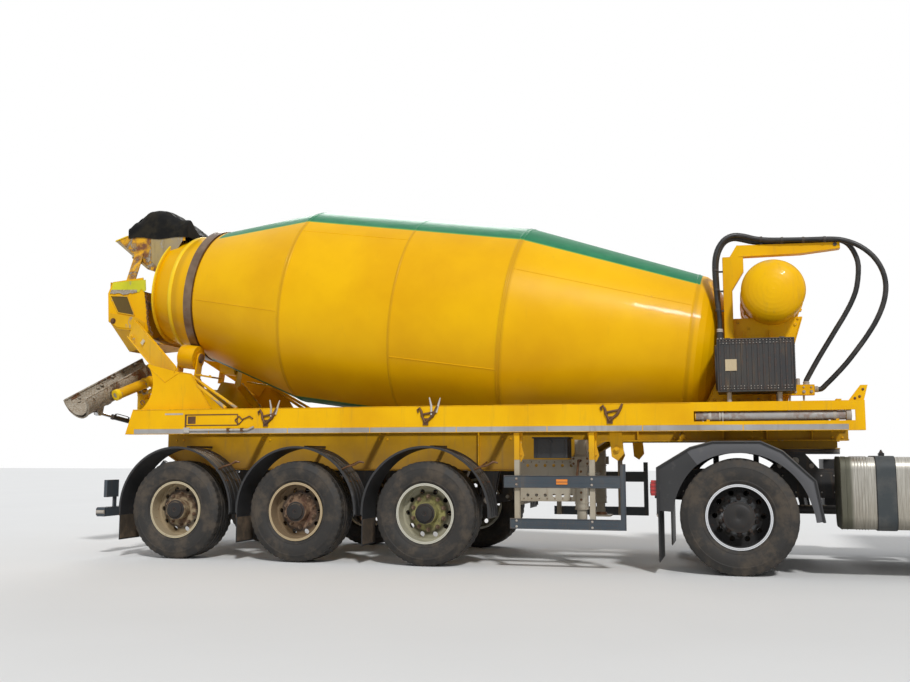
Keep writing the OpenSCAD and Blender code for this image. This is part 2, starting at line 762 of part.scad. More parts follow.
hood_outer = [[-1244, 3774], [-1244, 3890], [-1030, 4056], [-920, 4100], [-800, 4085], [-455, 3940],
    [-430, 3720]];
hood_inner = [[-1232, 3600], [-1230, 3884], [-1024, 4042], [-919, 4086], [-804, 4072], [-468, 3932],
    [-446, 3600]];

module hopper_hood() {
    out = hopper_y + hood_t + run_gap;
    color(rubber) placed() difference() {
        plate_xz(hood_outer, [-out, out]);
        plate_xz(hood_inner, [-hopper_y - run_gap, hopper_y + run_gap]);
        drum_room();
    }
}

funnel_t = 8;
funnel_rear = [-1330, 2700];
funnel_front = [-795, 2435];
funnel_out_x = [-1350, -1060];
funnel_out_y = 150;
funnel_out_z = 2375;

// Convex funnel under the drum's lower lip, its walls moved inwards by inset, its top raised by up
module funnel_form(inset, up) {
    side = bracket_y[0] - run_gap - inset;
    hull() {
        block([funnel_rear[0] + inset, funnel_rear[0] + inset + 1], [-side, side],
            [funnel_rear[1] - 1, funnel_rear[1] + up]);
        block([funnel_front[0] - inset - 1, funnel_front[0] - inset], [-side + 200, side - 200],
            [funnel_front[1] - 1, funnel_front[1] + up]);
        block([funnel_out_x[0] + inset, funnel_out_x[1] - inset],
            [-funnel_out_y + inset, funnel_out_y - inset],
            [funnel_out_z - up, funnel_out_z + 1]);
    }
}

module discharge_funnel() {
    side = bracket_y[0] - run_gap;
    color("#c9a21c") placed() {
        difference() {
            funnel_form(0, 0);
            funnel_form(funnel_t, 2);
        }
        block([funnel_rear[0], funnel_rear[0] + funnel_t], [-side, side], [funnel_rear[1] - 20, 3165]);
    }
}

// Discharge chute, drawn along the slope's direction from its swivel post

module chute_frame() {
    translate([chute_post_x, 0, 0]) rotate(180 + chute_swing) children();
}

collar_t = 30;
post_low_z = post_bearing_z[0] - collar_t - 60;
fork_z = post_bearing_z[1] + run_gap + collar_t;
tilt_pin = [60, 1925];
jack_foot = [130, 1500];
jack_eye = [640, 1600];
pin_r = 14;
eye_pin_r = 10;
hang_pin_r = 12;
hang_at = 980;
cheek_t = 12;
cheek_y = 62;
trough_axis_z = 2230;
trough_t = 6;

module cheeks(points, y, t) {
    plate_xz(points, [y, y + t]);
    plate_xz(points, [-y - t, -y]);
}

module chute_post() {
    color("#8b7a2c") placed() chute_frame() {
        rod_z(chute_post_r, 0, 0, [post_low_z, fork_z]);
        rod_z(chute_post_r + 30, 0, 0, [fork_z - collar_t, fork_z]);
        rod_z(chute_post_r + 30, 0, 0, [post_low_z, post_bearing_z[0] - run_gap]);
        // Fork of the trough's tilt pin
        cheeks([[-60, fork_z - 1], [60, fork_z - 1], [tilt_pin[0] + 28, tilt_pin[1] - 20],
            [tilt_pin[0] + 20, tilt_pin[1] + 26], [tilt_pin[0] - 30, tilt_pin[1] + 26]], 40, cheek_t);
        rod_y(pin_r, tilt_pin[0], [-cheek_y - cheek_t - 20, cheek_y + cheek_t + 20], tilt_pin[1]);
        // Bracket of the tilt jack
        cheeks([[0, post_low_z], [0, post_low_z + 60], [jack_foot[0], jack_foot[1] + 28],
            [jack_foot[0] + 26, jack_foot[1]], [jack_foot[0], jack_foot[1] - 28]], 34, cheek_t);
        rod_y(pin_r, jack_foot[0], [-46, 46], jack_foot[1]);
        // Bent tube that carries the stowed trough at its side
        round_bar([0, 50, fork_z + 6], [20, arm_y, 1925], 30);
        round_bar([20, arm_y, 1925], [130, arm_y, 2000], 55);
        translate([130, arm_y, 2000]) sphere(r = 64);
        round_bar([130, arm_y, 2000], [620, arm_y, 1800], 60);
    }
}

arm_y = 285;

// Axis of the trough: +Z runs down the slope from the swivel axis
module trough_line(z) {
    translate([0, 0, trough_axis_z]) rotate([0, 90 + trough_slope, 0]) translate([0, 0, z]) children();
}

module chute_trough() {
    color("#8a7350") placed() chute_frame() {
        difference() {
            trough_line(-trough_back) cylinder(r = trough_r, h = trough_len);
            trough_line(-trough_back - 1) cylinder(r = trough_r - trough_t, h = trough_len + 2);
            translate([0, 0, trough_axis_z]) rotate([0, trough_slope, 0])
                translate([-trough_len, -trough_r - 1, rim_up]) cube([3 * trough_len,
                    2 * trough_r + 2, trough_r]);
        }
        difference() {
            union() {
                cheeks([[tilt_pin[0] - 26, tilt_pin[1] - 16], [tilt_pin[0] + 26, tilt_pin[1] - 26],
                    [tilt_pin[0] + 110, 1960], [tilt_pin[0] - 90, 2080]], cheek_y, cheek_t);
                cheeks([[jack_eye[0] - 26, jack_eye[1] - 20], [jack_eye[0] + 26, jack_eye[1] - 20],
                    [jack_eye[0] + 60, 1700], [jack_eye[0] - 60, 1760]], 34, cheek_t);
            }
            rod_y(pin_r + run_gap, tilt_pin[0], [-200, 200], tilt_pin[1]);
            trough_line(-trough_back) cylinder(r = trough_r - trough_t / 2, h = trough_len);
        }
        rod_y(eye_pin_r, jack_eye[0], [-46, 46], jack_eye[1]);
        // Pins on which an extension chute hangs
        both_sides() for (pin = [[hang_pin_r + 8, 2], [hang_pin_r, 30]])
            rod_y(pin[0], hang_at * cos(trough_slope), [trough_r - trough_t + 1, trough_r + pin[1]],
                trough_axis_z - hang_at * sin(trough_slope));
    }
}

jack_len = norm(jack_eye - jack_foot);
jack_rise = atan2(jack_eye[1] - jack_foot[1], jack_eye[0] - jack_foot[0]);
barrel_r = 28;
barrel_len = 330;
piston_r = 16;

// Along the jack: +X from its foot pin to its rod's eye
module jack_frame() {
    chute_frame() translate([jack_foot[0], 0, jack_foot[1]]) rotate([0, -jack_rise, 0]) children();
}

module chute_barrel() {
    color(dark) placed() jack_frame() difference() {
        union() {
            rod_y(26, 0, [-32, 32], 0);
            rod_x(barrel_r, [10, barrel_len], 0, 0);
        }
        rod_y(pin_r + run_gap, 0, [-40, 40], 0);
        rod_x(piston_r + run_gap, [60, barrel_len + 1], 0, 0);
    }
}

module chute_rod() {
    color("#b8bcc0") placed() jack_frame() difference() {
        union() {
            rod_x(piston_r, [160, jack_len - 10], 0, 0);
            rod_y(32, jack_len, [-32, 32], 0);
        }
        // Wide bore: the eye follows its pin by a constant ratio only
        rod_y(eye_pin_r + 8.5, jack_len, [-40, 40], 0);
    }
}

// Undergear of the semi-trailer

guard_r = [655, 663];
trailer_axle_r = 62;

module trailer_axles() {
    hub_in = trailer_wheel_y + trailer_hub_z[0];
    color(dark) placed() for (x = axle_xs) {
        rod_y(trailer_axle_r, x, [-hub_in + 3, hub_in - 3], trailer_tyre_r);
        both_sides() {
            rod_y(spindle_r, x, [hub_in - 4, trailer_wheel_y + trailer_hub_z[1] - hub_cap_t - 3],
                trailer_tyre_r);
            // Brake disc shield against the hub and brake chamber
            rod_y(190, x, [hub_in - 40, hub_in - 26], trailer_tyre_r);
            // Trailing arm from its hanger to the air spring
            bar_xz([x + 480, trailer_tyre_r + 110], [x + 60, trailer_tyre_r], 100, [beam_y - 40,
                beam_y + 40]);
            bar_xz([x + 60, trailer_tyre_r], [x - 400, trailer_tyre_r - 60], 80, [beam_y - 40,
                beam_y + 40]);
            plate_xz([[x + 400, beam_bottom_z], [x + 600, beam_bottom_z],
                [x + 530, trailer_tyre_r + 70],
                [x + 430, trailer_tyre_r + 70]], [beam_y + 40, beam_y + 54]);
            plate_xz([[x + 400, beam_bottom_z], [x + 600, beam_bottom_z],
                [x + 530, trailer_tyre_r + 70],
                [x + 430, trailer_tyre_r + 70]], [beam_y - 54, beam_y - 40]);
            rod_z(130, x - 330, beam_y, [trailer_tyre_r - 20, beam_bottom_z]);
        }
    }
}

module trailer_mudguards() {
    outer = guard_r[1];
    y = [half_w - trailer_tyre_w - 6, half_w];
    color(dark) placed() both_sides() for (x = axle_xs) {
        difference() {
            rod_y(outer, x, y, trailer_tyre_r);
            rod_y(guard_r[0], x, [y[0] - 1, y[1] + 1], trailer_tyre_r);
            block([x - 700, x + 700], [0, half_w + 1], [-200, trailer_tyre_r - 40]);
        }
        // Rolled outer edge
        difference() {
            rod_y(outer + 14, x, [y[1] - 12, y[1]], trailer_tyre_r);
            rod_y(outer - 1, x, [y[1] - 13, y[1] + 1], trailer_tyre_r);
            block([x - 700, x + 700], [0, half_w + 1], [-200, trailer_tyre_r - 20]);
        }
        // Carrier from the main beam, and the flap behind the wheel
        block([x - 20, x + 20], [beam_y + beam_t / 2, y[0] + 120],
            [trailer_tyre_r + outer - 1, trailer_tyre_r + outer + 20]);
        block([x - outer, x - outer + 8], y, [190, trailer_tyre_r - 30]);
    }
}

guard_x = [3640, 4825];
guard_post_xs = [3766, 4504];

module side_guards() {
    color("#35444f") placed() {
        both_sides() {
            block([guard_x[0], guard_x[1]], [half_w - 32, half_w - 4], [789, 908]);
            block([guard_x[0] + 60, guard_x[1]], [half_w - 32, half_w - 4], [394, 494]);
            block([guard_x[1] - 50, guard_x[1]], [half_w - 32, half_w - 4], [494, 1020]);
            for (x = guard_post_xs)
                block([x - 25, x + 25], [half_w - 82, half_w - 32], [400, rail_bottom_z]);
        }
        // Rear underrun bar on two hangers
        block([-1000, -900], [-1180, 1180], [430, 530]);
        both_sides() {
            bar_xz([-950, 520], [-560, 1010], 110, [beam_y - 30, beam_y + 30]);
            block([-940, -900], [930, 1150], [640, 830]);
            block([-930, -910], [950, 1000], [520, 650]);
        }
    }
}

leg_x = 4330;
leg_y = 720;

module landing_legs() {
    color(grey) placed() {
        both_sides() {
            block([leg_x - 60, leg_x + 60], [leg_y - 55, leg_y + 55], [560, 1260]);
            block([leg_x - 45, leg_x + 45], [leg_y - 42, leg_y + 42], [430, 560]);
            block([leg_x - 120, leg_x + 120], [leg_y - 120, leg_y + 120], [412, 430]);
            block([leg_x - 40, leg_x + 40], [beam_y + beam_t / 2, leg_y - 55], [1165, 1255]);
        }
        // Perforated cross plates with their rows of holes
        difference() {
            block([3700, 3712], [-leg_y, leg_y], [600, 930]);
            for (y = [-600 : 100 : 600]) rod_x(18, [3690, 3720], y, 690);
        }
        both_sides() difference() {
            block([3700, leg_x - 60], [leg_y + 30, leg_y + 38], [640, 1060]);
            for (x = [3780 : 90 : 4230], z = [700, 1000]) rod_y(16, x, [leg_y, leg_y + 60], z);
        }
        both_sides() block([3700, 3730], [beam_y - 40, leg_y + 38], [900, beam_bottom_z]);
        rod_y(18, leg_x, [-leg_y + 55, leg_y - 55], 900);
    }
}

// Tractor unit

module tractor_frame() {
    color("#3b3d40") placed() {
        difference() {
            both_sides() block([chassis_rear_x, chassis_front_x],
                [chassis_y - chassis_flange, chassis_y],
                [chassis_bottom_z, chassis_top_z]);
            both_sides() block([chassis_rear_x - 1, chassis_front_x + 1],
                [chassis_y - chassis_flange - 1, chassis_y - chassis_t],
                [chassis_bottom_z + chassis_t, chassis_top_z - chassis_t]);
        }
        for (x = [chassis_rear_x, drive_axle_x - 520, drive_axle_x + 600, 7500, 8300,
            chassis_front_x - 80])
            block([x, x + 80], [-chassis_y + chassis_t, chassis_y - chassis_t],
                [chassis_bottom_z + 30, chassis_top_z - 30]);
        // Fifth wheel: plate with its throat open to the rear, on two side brackets
        difference() {
            union() {
                rod_z(455, kingpin_x, 0, [coupler_z - 50, coupler_z - run_gap]);
                both_sides() plate_xz([[kingpin_x - 230, chassis_top_z - 1],
                    [kingpin_x + 230, chassis_top_z - 1],
                    [kingpin_x + 90, coupler_z - 40], [kingpin_x - 90, coupler_z - 40]],
                    [chassis_y - 60, chassis_y - 10]);
            }
            rod_z(coupling_pin_r + run_gap, kingpin_x, 0, [coupler_z - 60, coupler_z + 1]);
            block([kingpin_x - 500, kingpin_x], [-coupling_pin_r - run_gap, coupling_pin_r + run_gap],
                [coupler_z - 60, coupler_z + 1]);
            plate_throat();
        }
        block([kingpin_x - 250, kingpin_x + 250], [-chassis_y, chassis_y],
            [chassis_top_z, chassis_top_z + 12]);
        drive_axle();
        front_axle();
        // Rear lamp brackets
        both_sides() {
            block([chassis_rear_x - 20, chassis_rear_x + 5], [chassis_y - 1, 1180], [700, 730]);
            block([chassis_rear_x - 50, chassis_rear_x + 5], [900, 1200], [729, 850]);
        }
        // Pivot brackets of the cab
        both_sides() cab_bracket();
    }
}

module plate_throat() {
    translate([kingpin_x, 0, coupler_z - 60]) linear_extrude(70)
        polygon([[-180, coupling_pin_r], [-480, 170], [-480, -170], [-180, -coupling_pin_r]]);
}

module drive_axle() {
    hub_in = twin_outer_y + drive_hub_z[0];
    rod_y(75, drive_axle_x, [-hub_in + 3, hub_in - 3], tractor_tyre_r);
    both_sides() rod_y(spindle_r, drive_axle_x, [hub_in - 4,
        twin_outer_y + drive_hub_z[1] - hub_cap_t - 3],
        tractor_tyre_r);
    translate([drive_axle_x, 0, tractor_tyre_r]) sphere(r = 195);
    rod_x(45, [drive_axle_x, 8900], 0, tractor_tyre_r + 20);
    // Air springs on a beam under the frame
    both_sides() {
        bar_xz([drive_axle_x - 420, 520], [drive_axle_x + 420, 520], 70, [chassis_y - 60,
            chassis_y + 20]);
        for (dx = [-370, 370])
            rod_z(95, drive_axle_x + dx, chassis_y - 20, [540, chassis_bottom_z + 1]);
    }
}

kingpin_r = 18;
kingpin_boss = 75;
knuckle_reach = 120;

module front_axle() {
    z = tractor_tyre_r;
    both_sides() {
        bar_xz([front_axle_x - 50, z - 130], [front_axle_x + 50, z - 130], 90, [0, 700]);
        difference() {
            union() {
                plate_yz([[640, z - 175], [700, z - 175], [800, z - 60], [steer_y - 20, z - 60],
                    [steer_y - 20, z + 50],
                    [790, z + 50], [640, z - 85]], [front_axle_x - 45, front_axle_x + 45]);
                rod_z(48, front_axle_x, steer_y, [z - kingpin_boss, z + kingpin_boss]);
            }
            rod_z(kingpin_r + run_gap, front_axle_x, steer_y, [z - kingpin_boss - 1,
                z + kingpin_boss + 1]);
        }
        // Leaf spring on its seat, with its hangers
        block([front_axle_x - 60, front_axle_x + 60], [chassis_y - 75, chassis_y - 5],
            [z - 86, z - 70]);
        bar_xz([front_axle_x - 780, z + 20], [front_axle_x, z - 50], 60, [chassis_y - 75,
            chassis_y - 5]);
        bar_xz([front_axle_x, z - 50], [front_axle_x + 780, z + 20], 60, [chassis_y - 75,
            chassis_y - 5]);
        for (dx = [-780, 780])
            block([front_axle_x + dx - 40, front_axle_x + dx + 40], [chassis_y - 65, chassis_y - 5],
                [z, chassis_bottom_z + 1]);
    }
}

cab_pivot = [cab_front_x - 150, 1060];
cab_lug_y = [460, 490];
cab_pin_r = 20;

module cab_bracket() {
    y = [cab_lug_y[0] - 34, cab_lug_y[0] - 4];
    plate_xz([[chassis_front_x - 160, chassis_top_z - 60], [chassis_front_x - 20, chassis_top_z - 60],
        [chassis_front_x - 20, cab_pivot[1] - 25], [cab_pivot[0], cab_pivot[1] - 25],
        [cab_pivot[0], cab_pivot[1] + 25], [chassis_front_x - 100, cab_pivot[1] + 25]], y);
    rod_y(25, cab_pivot[0], y, cab_pivot[1]);
    rod_y(cab_pin_r, cab_pivot[0], [y[0], cab_lug_y[1] + 6], cab_pivot[1]);
    block([chassis_front_x - 160, chassis_front_x - 20], [chassis_y - 1, y[1]],
        [chassis_top_z - 60, chassis_top_z - 20]);
    // Rest under the back of the cab
    block([cab_back_x + 70, cab_back_x + 130], [chassis_y - 60, chassis_y],
        [chassis_top_z - 1, cab_rest_z - run_gap]);
}

cab_rest_z = 1262;
tank_corner = 110;

strap_w = 70;
strap_t = 6;
strap_xs = [fuel_tank_x + 380, fuel_tank_x + fuel_tank_len - 340];

// Tank section with rounded corners between two ends, grown by g
module tank_section(x, y, z, g) {
    block(x, [y[0] + tank_corner, y[1] - tank_corner], [z[0] - g, z[1] + g]);
    block(x, [y[0] - g, y[1] + g], [z[0] + tank_corner, z[1] - tank_corner]);
    for (cy = [y[0] + tank_corner, y[1] - tank_corner], cz = [z[0] + tank_corner, z[1] - tank_corner])
        rod_x(tank_corner + g, x, cy, cz);
}

module fuel_tank() {
    y = [half_w - fuel_tank_w, half_w - 6 - strap_t];
    z = [440, 440 + fuel_tank_h];
    color("#c3c6c9") placed() mirror([0, 1, 0]) {
        tank_section([fuel_tank_x, fuel_tank_x + fuel_tank_len], y, z, 0);
        for (x = strap_xs) tank_section([x, x + strap_w], y, z, strap_t);
        // Filler neck on its front end's top
        rod_z(55, fuel_tank_x + fuel_tank_len - 150, half_w - 200, [z[1] - 1, z[1] + 45]);
        // Carriers back to the frame
        for (x = [fuel_tank_x + 300, fuel_tank_x + fuel_tank_len - 340])
            block([x, x + 40], [chassis_y + run_gap, y[0]],
                [chassis_bottom_z + 20, chassis_top_z - 60]);
    }
}

module battery_box() {
    y = [half_w - fuel_tank_w, half_w - 6];
    color(dark) placed() {
        block([fuel_tank_x, fuel_tank_x + 560], y, [480, 1060]);
        block([fuel_tank_x + 620, fuel_tank_x + fuel_tank_len], y, [440, 900]);
        for (x = [fuel_tank_x + 300, fuel_tank_x + fuel_tank_len - 340])
            block([x, x + 40], [chassis_y + run_gap, y[0]],
                [chassis_bottom_z + 20, chassis_top_z - 80]);
    }
}

// Outline of the drive wheels' mudguard, rear end first
guard_top = [[5121, 560], [5121, 985], [5432, 1173], [5635, 1228], [6064, 1228], [6256, 1138],
    [6533, 872], [6597, 500]];
guard_in = [[6581, 500], [6518, 866], [6246, 1126], [6058, 1214], [5639, 1214], [5438, 1160],
    [5135, 977], [5135, 560]];

module tractor_mudguards() {
    y = [twin_inner_y - tractor_tyre_w / 2, half_w];
    color(dark) placed() both_sides() {
        plate_xz(concat(guard_top, guard_in), y);
        // Flap behind the wheels and carriers to the frame
        block([5126, 5134], y, [110, 560]);
        for (x = [5620, 6020]) {
            block([x, x + 40], [chassis_y + run_gap, chassis_y + 40], [chassis_top_z - 60, 1150]);
            block([x, x + 40], [chassis_y + run_gap, y[0] + 14], [1110, 1150]);
            block([x, x + 40], [y[0], y[0] + 14], [1110, 1220]);
        }
    }
}

module engine_block() {
    color("#4a4c4e") placed() {
        block([front_axle_x - 620, front_axle_x + 500], [-300, 300], [640, cab_rest_z - 22]);
        both_sides() block([front_axle_x - 60, front_axle_x + 60],
            [300, chassis_y - chassis_flange - 1], [700, 800]);
    }
}

bumper_z = [380, 900];
lamp_deep = 90;
lamp_y = [700, 1130];
lamp_z = [640, 800];
intake_y = 560;
intake_z = [430, 600];
intake_bars = 3;
step_x = front_axle_x + 736;

module front_bumper() {
    inner = chassis_front_x + run_gap;
    color("#e4e6e8") placed() {
        difference() {
            translate([0, 0, bumper_z[0]]) linear_extrude(bumper_z[1] - bumper_z[0])
                polygon([[cab_front_x - 400, -cab_half_w], [cab_front_x - 120, -cab_half_w],
                    [cab_front_x - 10, -cab_half_w + 330],
                    [cab_front_x, 0], [cab_front_x - 10, cab_half_w - 330],
                    [cab_front_x - 120, cab_half_w], [cab_front_x - 400, cab_half_w]]);
            block([inner - 1000, cab_front_x - 130], [-cab_half_w + 180, cab_half_w - 180], [0, 1000]);
            // Lamp recesses and air intake
            both_sides() block([cab_front_x - lamp_deep, cab_front_x + 10], lamp_y, lamp_z);
            block([cab_front_x - 200, cab_front_x + 10], [-intake_y, intake_y], intake_z);
        }
        // Round lamps and a turn signal in each recess, bars across the air intake
        both_sides() {
            for (y = [lamp_y[0] + 90, lamp_y[0] + 240])
                rod_x(68, [cab_front_x - lamp_deep - 1, cab_front_x - 52], y,
                    (lamp_z[0] + lamp_z[1]) / 2);
            block([cab_front_x - lamp_deep - 1, cab_front_x - 60], [lamp_y[1] - 90, lamp_y[1] - 20],
                [lamp_z[0] + 15, lamp_z[1] - 15]);
        }
        for (i = [1 : intake_bars])
            let (z = intake_z[0] + i * (intake_z[1] - intake_z[0]) / (intake_bars + 1))
                block([cab_front_x - 90, cab_front_x - 50], [-intake_y - 1, intake_y + 1],
                    [z - 9, z + 9]);
        // Carriers to the frame's front end
        both_sides() block([inner, cab_front_x - 129], [chassis_y - 70, chassis_y], [740, 860]);
        // Entry steps at both sides
        both_sides() difference() {
            block([step_x, cab_front_x - 399], [960, cab_half_w], [400, 940]);
            for (z = [470, 720]) block([step_x - 1, cab_front_x - 440], [1020, cab_half_w + 1],
                [z, z + 180]);
        }
    }
}

// Cab

roof_front = 470;

// Side outline of the cab, inset all round
function cab_side(i) = [
    [cab_back_x + i, 1100], [cab_back_x + i, cab_top_z - 90 - i],
        [cab_back_x + 90 + i / 2, cab_top_z - i],
    [cab_front_x - roof_front - i, cab_top_z - 20 - i],
    [cab_front_x - 250 - i, cab_top_z - 200 - i / 2],
    [cab_front_x - 20 - i, 1760], [cab_front_x - i, 1650], [cab_front_x - i, 1100],
    [cab_front_x - 20 - i, 1020],
    [front_axle_x + arch_r, 1020], [front_axle_x + arch_r, 1100]];

// Plan outline with rounded front corners, inset all round
function cab_plan(i) = concat([[cab_back_x + i, -cab_half_w + i]],
    arc([cab_front_x - 220, -cab_half_w + 220], 220 - i, -90, 0, 5),
    arc([cab_front_x - 220, cab_half_w - 220], 220 - i, 0, 90, 5),
    [[cab_back_x + i, cab_half_w - i]]);

module cab_form(i, z) {
    intersection() {
        plate_xz(cab_side(i), [-cab_half_w, cab_half_w]);
        translate([0, 0, z[0]]) linear_extrude(z[1] - z[0]) polygon(cab_plan(i));
    }
}

door_x = [front_axle_x + 236, cab_front_x - 330];
door_z = [cab_rest_z + 18, cab_top_z - 330];
door_slope = 120;
window_z = [1880, cab_top_z - 400];

// Door outline, grown or shrunk by g
function door_outline(g) = [[door_x[0] - g, door_z[0] - g], [door_x[1] + g, door_z[0] - g],
    [door_x[1] + g, 1760],
    [door_x[1] - door_slope + g, door_z[1] + g], [door_x[0] - g, door_z[1] + g]];

window_outline = [[door_x[0] + 70, window_z[0]], [door_x[1] - 90, window_z[0]],
    [door_x[1] - door_slope - 60, window_z[1]], [door_x[0] + 70, window_z[1]]];
screen_y = 1000;
screen_z = [1840, cab_top_z - 290];

module screen_room() {
    block([cab_front_x - 600, cab_front_x + 10], [-screen_y, screen_y], screen_z);
}

rear_window = [[-420, 420], [2050, 2500]];

grille_y = 720;
grille_z = [1130, 1610];
grille_deep = 34;
grille_pitch = 80;

// Slanted slat across the grille's recess
module grille_slat(z) {
    x = cab_front_x - grille_deep - 1;
    plate_xz([[x, z + 8], [cab_front_x - 4, z - 16], [cab_front_x - 4, z - 4], [x, z + 20]],
        [-grille_y - 1, grille_y + 1]);
}

module cab_shell() {
    color("#eceeef") placed() {
        difference() {
            cab_form(0, [900, cab_top_z]);
            cab_form(cab_wall, [cab_floor_z, cab_top_z]);
            cab_form(cab_wall, [900, cab_rest_z]);
            both_sides() plate_xz(door_outline(door_gap), [cab_half_w - cab_wall - 1, cab_half_w + 1]);
            screen_room();
            block([cab_front_x - grille_deep, cab_front_x + 1], [-grille_y, grille_y], grille_z);
            block([cab_back_x - 1, cab_back_x + cab_wall + 1], rear_window[0], rear_window[1]);
            both_sides() rod_y(arch_r, front_axle_x, [400, cab_half_w + 1], tractor_tyre_r);
        }
        for (z = [grille_z[0] + grille_pitch : grille_pitch : grille_z[1] - 20]) grille_slat(z);
        // Visor over the windscreen
        plate_xz([[cab_front_x - 262, cab_top_z - 190], [cab_front_x - 110, cab_top_z - 262],
            [cab_front_x - 104, cab_top_z - 252], [cab_front_x - 250, cab_top_z - 174]],
            [-screen_y, screen_y]);
        // Pivot lugs at the front
        both_sides() difference() {
            union() {
                plate_xz([[cab_pivot[0] - 30, cab_pivot[1]], [cab_pivot[0] + 30, cab_pivot[1]],
                    [cab_pivot[0] + 60, cab_rest_z + 1], [cab_pivot[0] - 90, cab_rest_z + 1]],
                    cab_lug_y);
                rod_y(34, cab_pivot[0], cab_lug_y, cab_pivot[1]);
            }
            rod_y(cab_pin_r + run_gap, cab_pivot[0], [cab_lug_y[0] - 1, cab_lug_y[1] + 1],
                cab_pivot[1]);
        }
        both_sides() mirror_arm();
        both_sides() for (z = hinge_zs) hinge_ears(z);
    }
}

hinge_zs = [1420, 1720];
hinge_at = [door_x[1] + door_gap, cab_half_w + 16];
hinge_pin_r = 8;
hinge_r = 14;
hinge_h = 60;

// Pin between two ears on the cab's front pillar
module hinge_ears(z) {
    for (ear = [[z - 16, z - run_gap], [z + hinge_h + run_gap, z + hinge_h + 16]]) {
        rod_z(hinge_r, hinge_at[0], hinge_at[1], ear);
        block([hinge_at[0], hinge_at[0] + 40], [cab_half_w - 2, hinge_at[1] + 6], ear);
    }
    rod_z(hinge_pin_r, hinge_at[0], hinge_at[1], [z - 16, z + hinge_h + 16]);
}

// Barrel on the door that turns on the pin
module hinge_barrel(z) {
    difference() {
        union() {
            rod_z(hinge_r, hinge_at[0], hinge_at[1], [z, z + hinge_h]);
            block([hinge_at[0] - 40, hinge_at[0] - 4], [cab_half_w - 2, hinge_at[1]], [z, z + hinge_h]);
        }
        rod_z(hinge_pin_r + run_gap, hinge_at[0], hinge_at[1], [z - 1, z + hinge_h + 1]);
    }
}

module mirror_arm() {
    x = cab_front_x - 200;
    block([x, x + 30], [cab_half_w - 60, cab_half_w + 130], [2560, 2590]);
    block([x, x + 30], [cab_half_w - 30, cab_half_w + 130], [1800, 1830]);
    block([x - 30, x + 60], [cab_half_w + 100, cab_half_w + 290], [1830, 2560]);
}

module cab_glass() {
    color([0.15, 0.2, 0.22, 0.6]) placed() {
        intersection() {
            difference() {
                cab_form(12, [1500, cab_top_z]);
                cab_form(18, [1400, cab_top_z + 1]);
            }
            screen_room();
        }
        block([cab_back_x + 20, cab_back_x + 26], rear_window[0], rear_window[1]);
    }
}

module cab_interior() {
    floor_z = cab_floor_z;
    dash_x = cab_front_x - 560;
    color("#3c3f43") placed() {
        both_sides() {
            plate_xz([[front_axle_x - 420, floor_z], [front_axle_x + 100, floor_z],
                [front_axle_x + 140, 1620],
                [front_axle_x + 120, 1720], [front_axle_x - 300, 1720], [front_axle_x - 430, 2330],
                [front_axle_x - 530, 2330], [front_axle_x - 420, 1620]], [420, 920]);
        }
        plate_xz([[dash_x, 1560], [dash_x + 380, 1500], [dash_x + 380, 1740], [dash_x + 60, 1800]],
            [-cab_half_w + cab_wall + 40, cab_half_w - cab_wall - 40]);
        block([dash_x + 200, dash_x + 380], [-300, 300], [floor_z, 1560]);
        // Steering wheel and column at the left seat
        translate([dash_x - 140, 670, 1830]) rotate([0, -60, 0]) {
            rotate_extrude() translate([210, 0]) circle(r = 16, $fn = 16);
            cylinder(r = 45, h = 30, center = true);
            for (a = [30, 150, 270]) rotate(a) translate([0, -14, -6]) cube([205, 28, 12]);
            translate([0, 0, -320]) cylinder(r = 26, h = 320);
        }
    }
}

module cab_door() {
    difference() {
        plate_xz(door_outline(0), [cab_half_w - cab_wall, cab_half_w]);
        plate_xz(window_outline, [cab_half_w - cab_wall - 1, cab_half_w + 1]);
    }
    block([door_x[0] + 60, door_x[0] + 260], [cab_half_w, cab_half_w + 26], [1700, 1735]);
    for (z = hinge_zs) hinge_barrel(z);
}

module door_glass() {
    plate_xz(window_outline, [cab_half_w - 36, cab_half_w - 30]);
}

// Steering knuckles

module knuckle() {
    z = tractor_tyre_r;
    hub_in = front_track_y + steer_hub_z[0];
    gap_z = kingpin_boss + run_gap;
    rod_z(50, front_axle_x, steer_y, [z + gap_z, z + knuckle_reach]);
    rod_z(50, front_axle_x, steer_y, [z - knuckle_reach, z - gap_z]);
    rod_z(kingpin_r, front_axle_x, steer_y, [z - knuckle_reach, z + knuckle_reach]);
    block([front_axle_x - 45, front_axle_x + 45], [steer_y + 52, hub_in - 3],
        [z - knuckle_reach, z + knuckle_reach]);
    for (zz = [[z + gap_z, z + knuckle_reach], [z - knuckle_reach, z - gap_z]])
        block([front_axle_x - 40, front_axle_x + 40], [steer_y, steer_y + 60], zz);
    rod_y(steer_spindle_r, front_axle_x, [steer_y + 60,
        front_track_y + steer_hub_z[1] - hub_cap_t - 3], z);
    block([front_axle_x - 200, front_axle_x - 20], [steer_y - 5, steer_y + 15], [z - 118, z - 92]);
}

module knuckle_left() {
    color(dark) placed() knuckle();
}

module knuckle_right() {
    color(dark) placed() mirror([0, 1, 0]) knuckle();
}

module door_left() {
    color("#eceeef") placed() cab_door();
}

module door_right() {
    color("#eceeef") placed() mirror([0, 1, 0]) cab_door();
}

module door_glass_left() {
    color([0.15, 0.2, 0.22, 0.6]) placed() door_glass();
}

module door_glass_right() {
    color([0.15, 0.2, 0.22, 0.6]) placed() mirror([0, 1, 0]) door_glass();
}

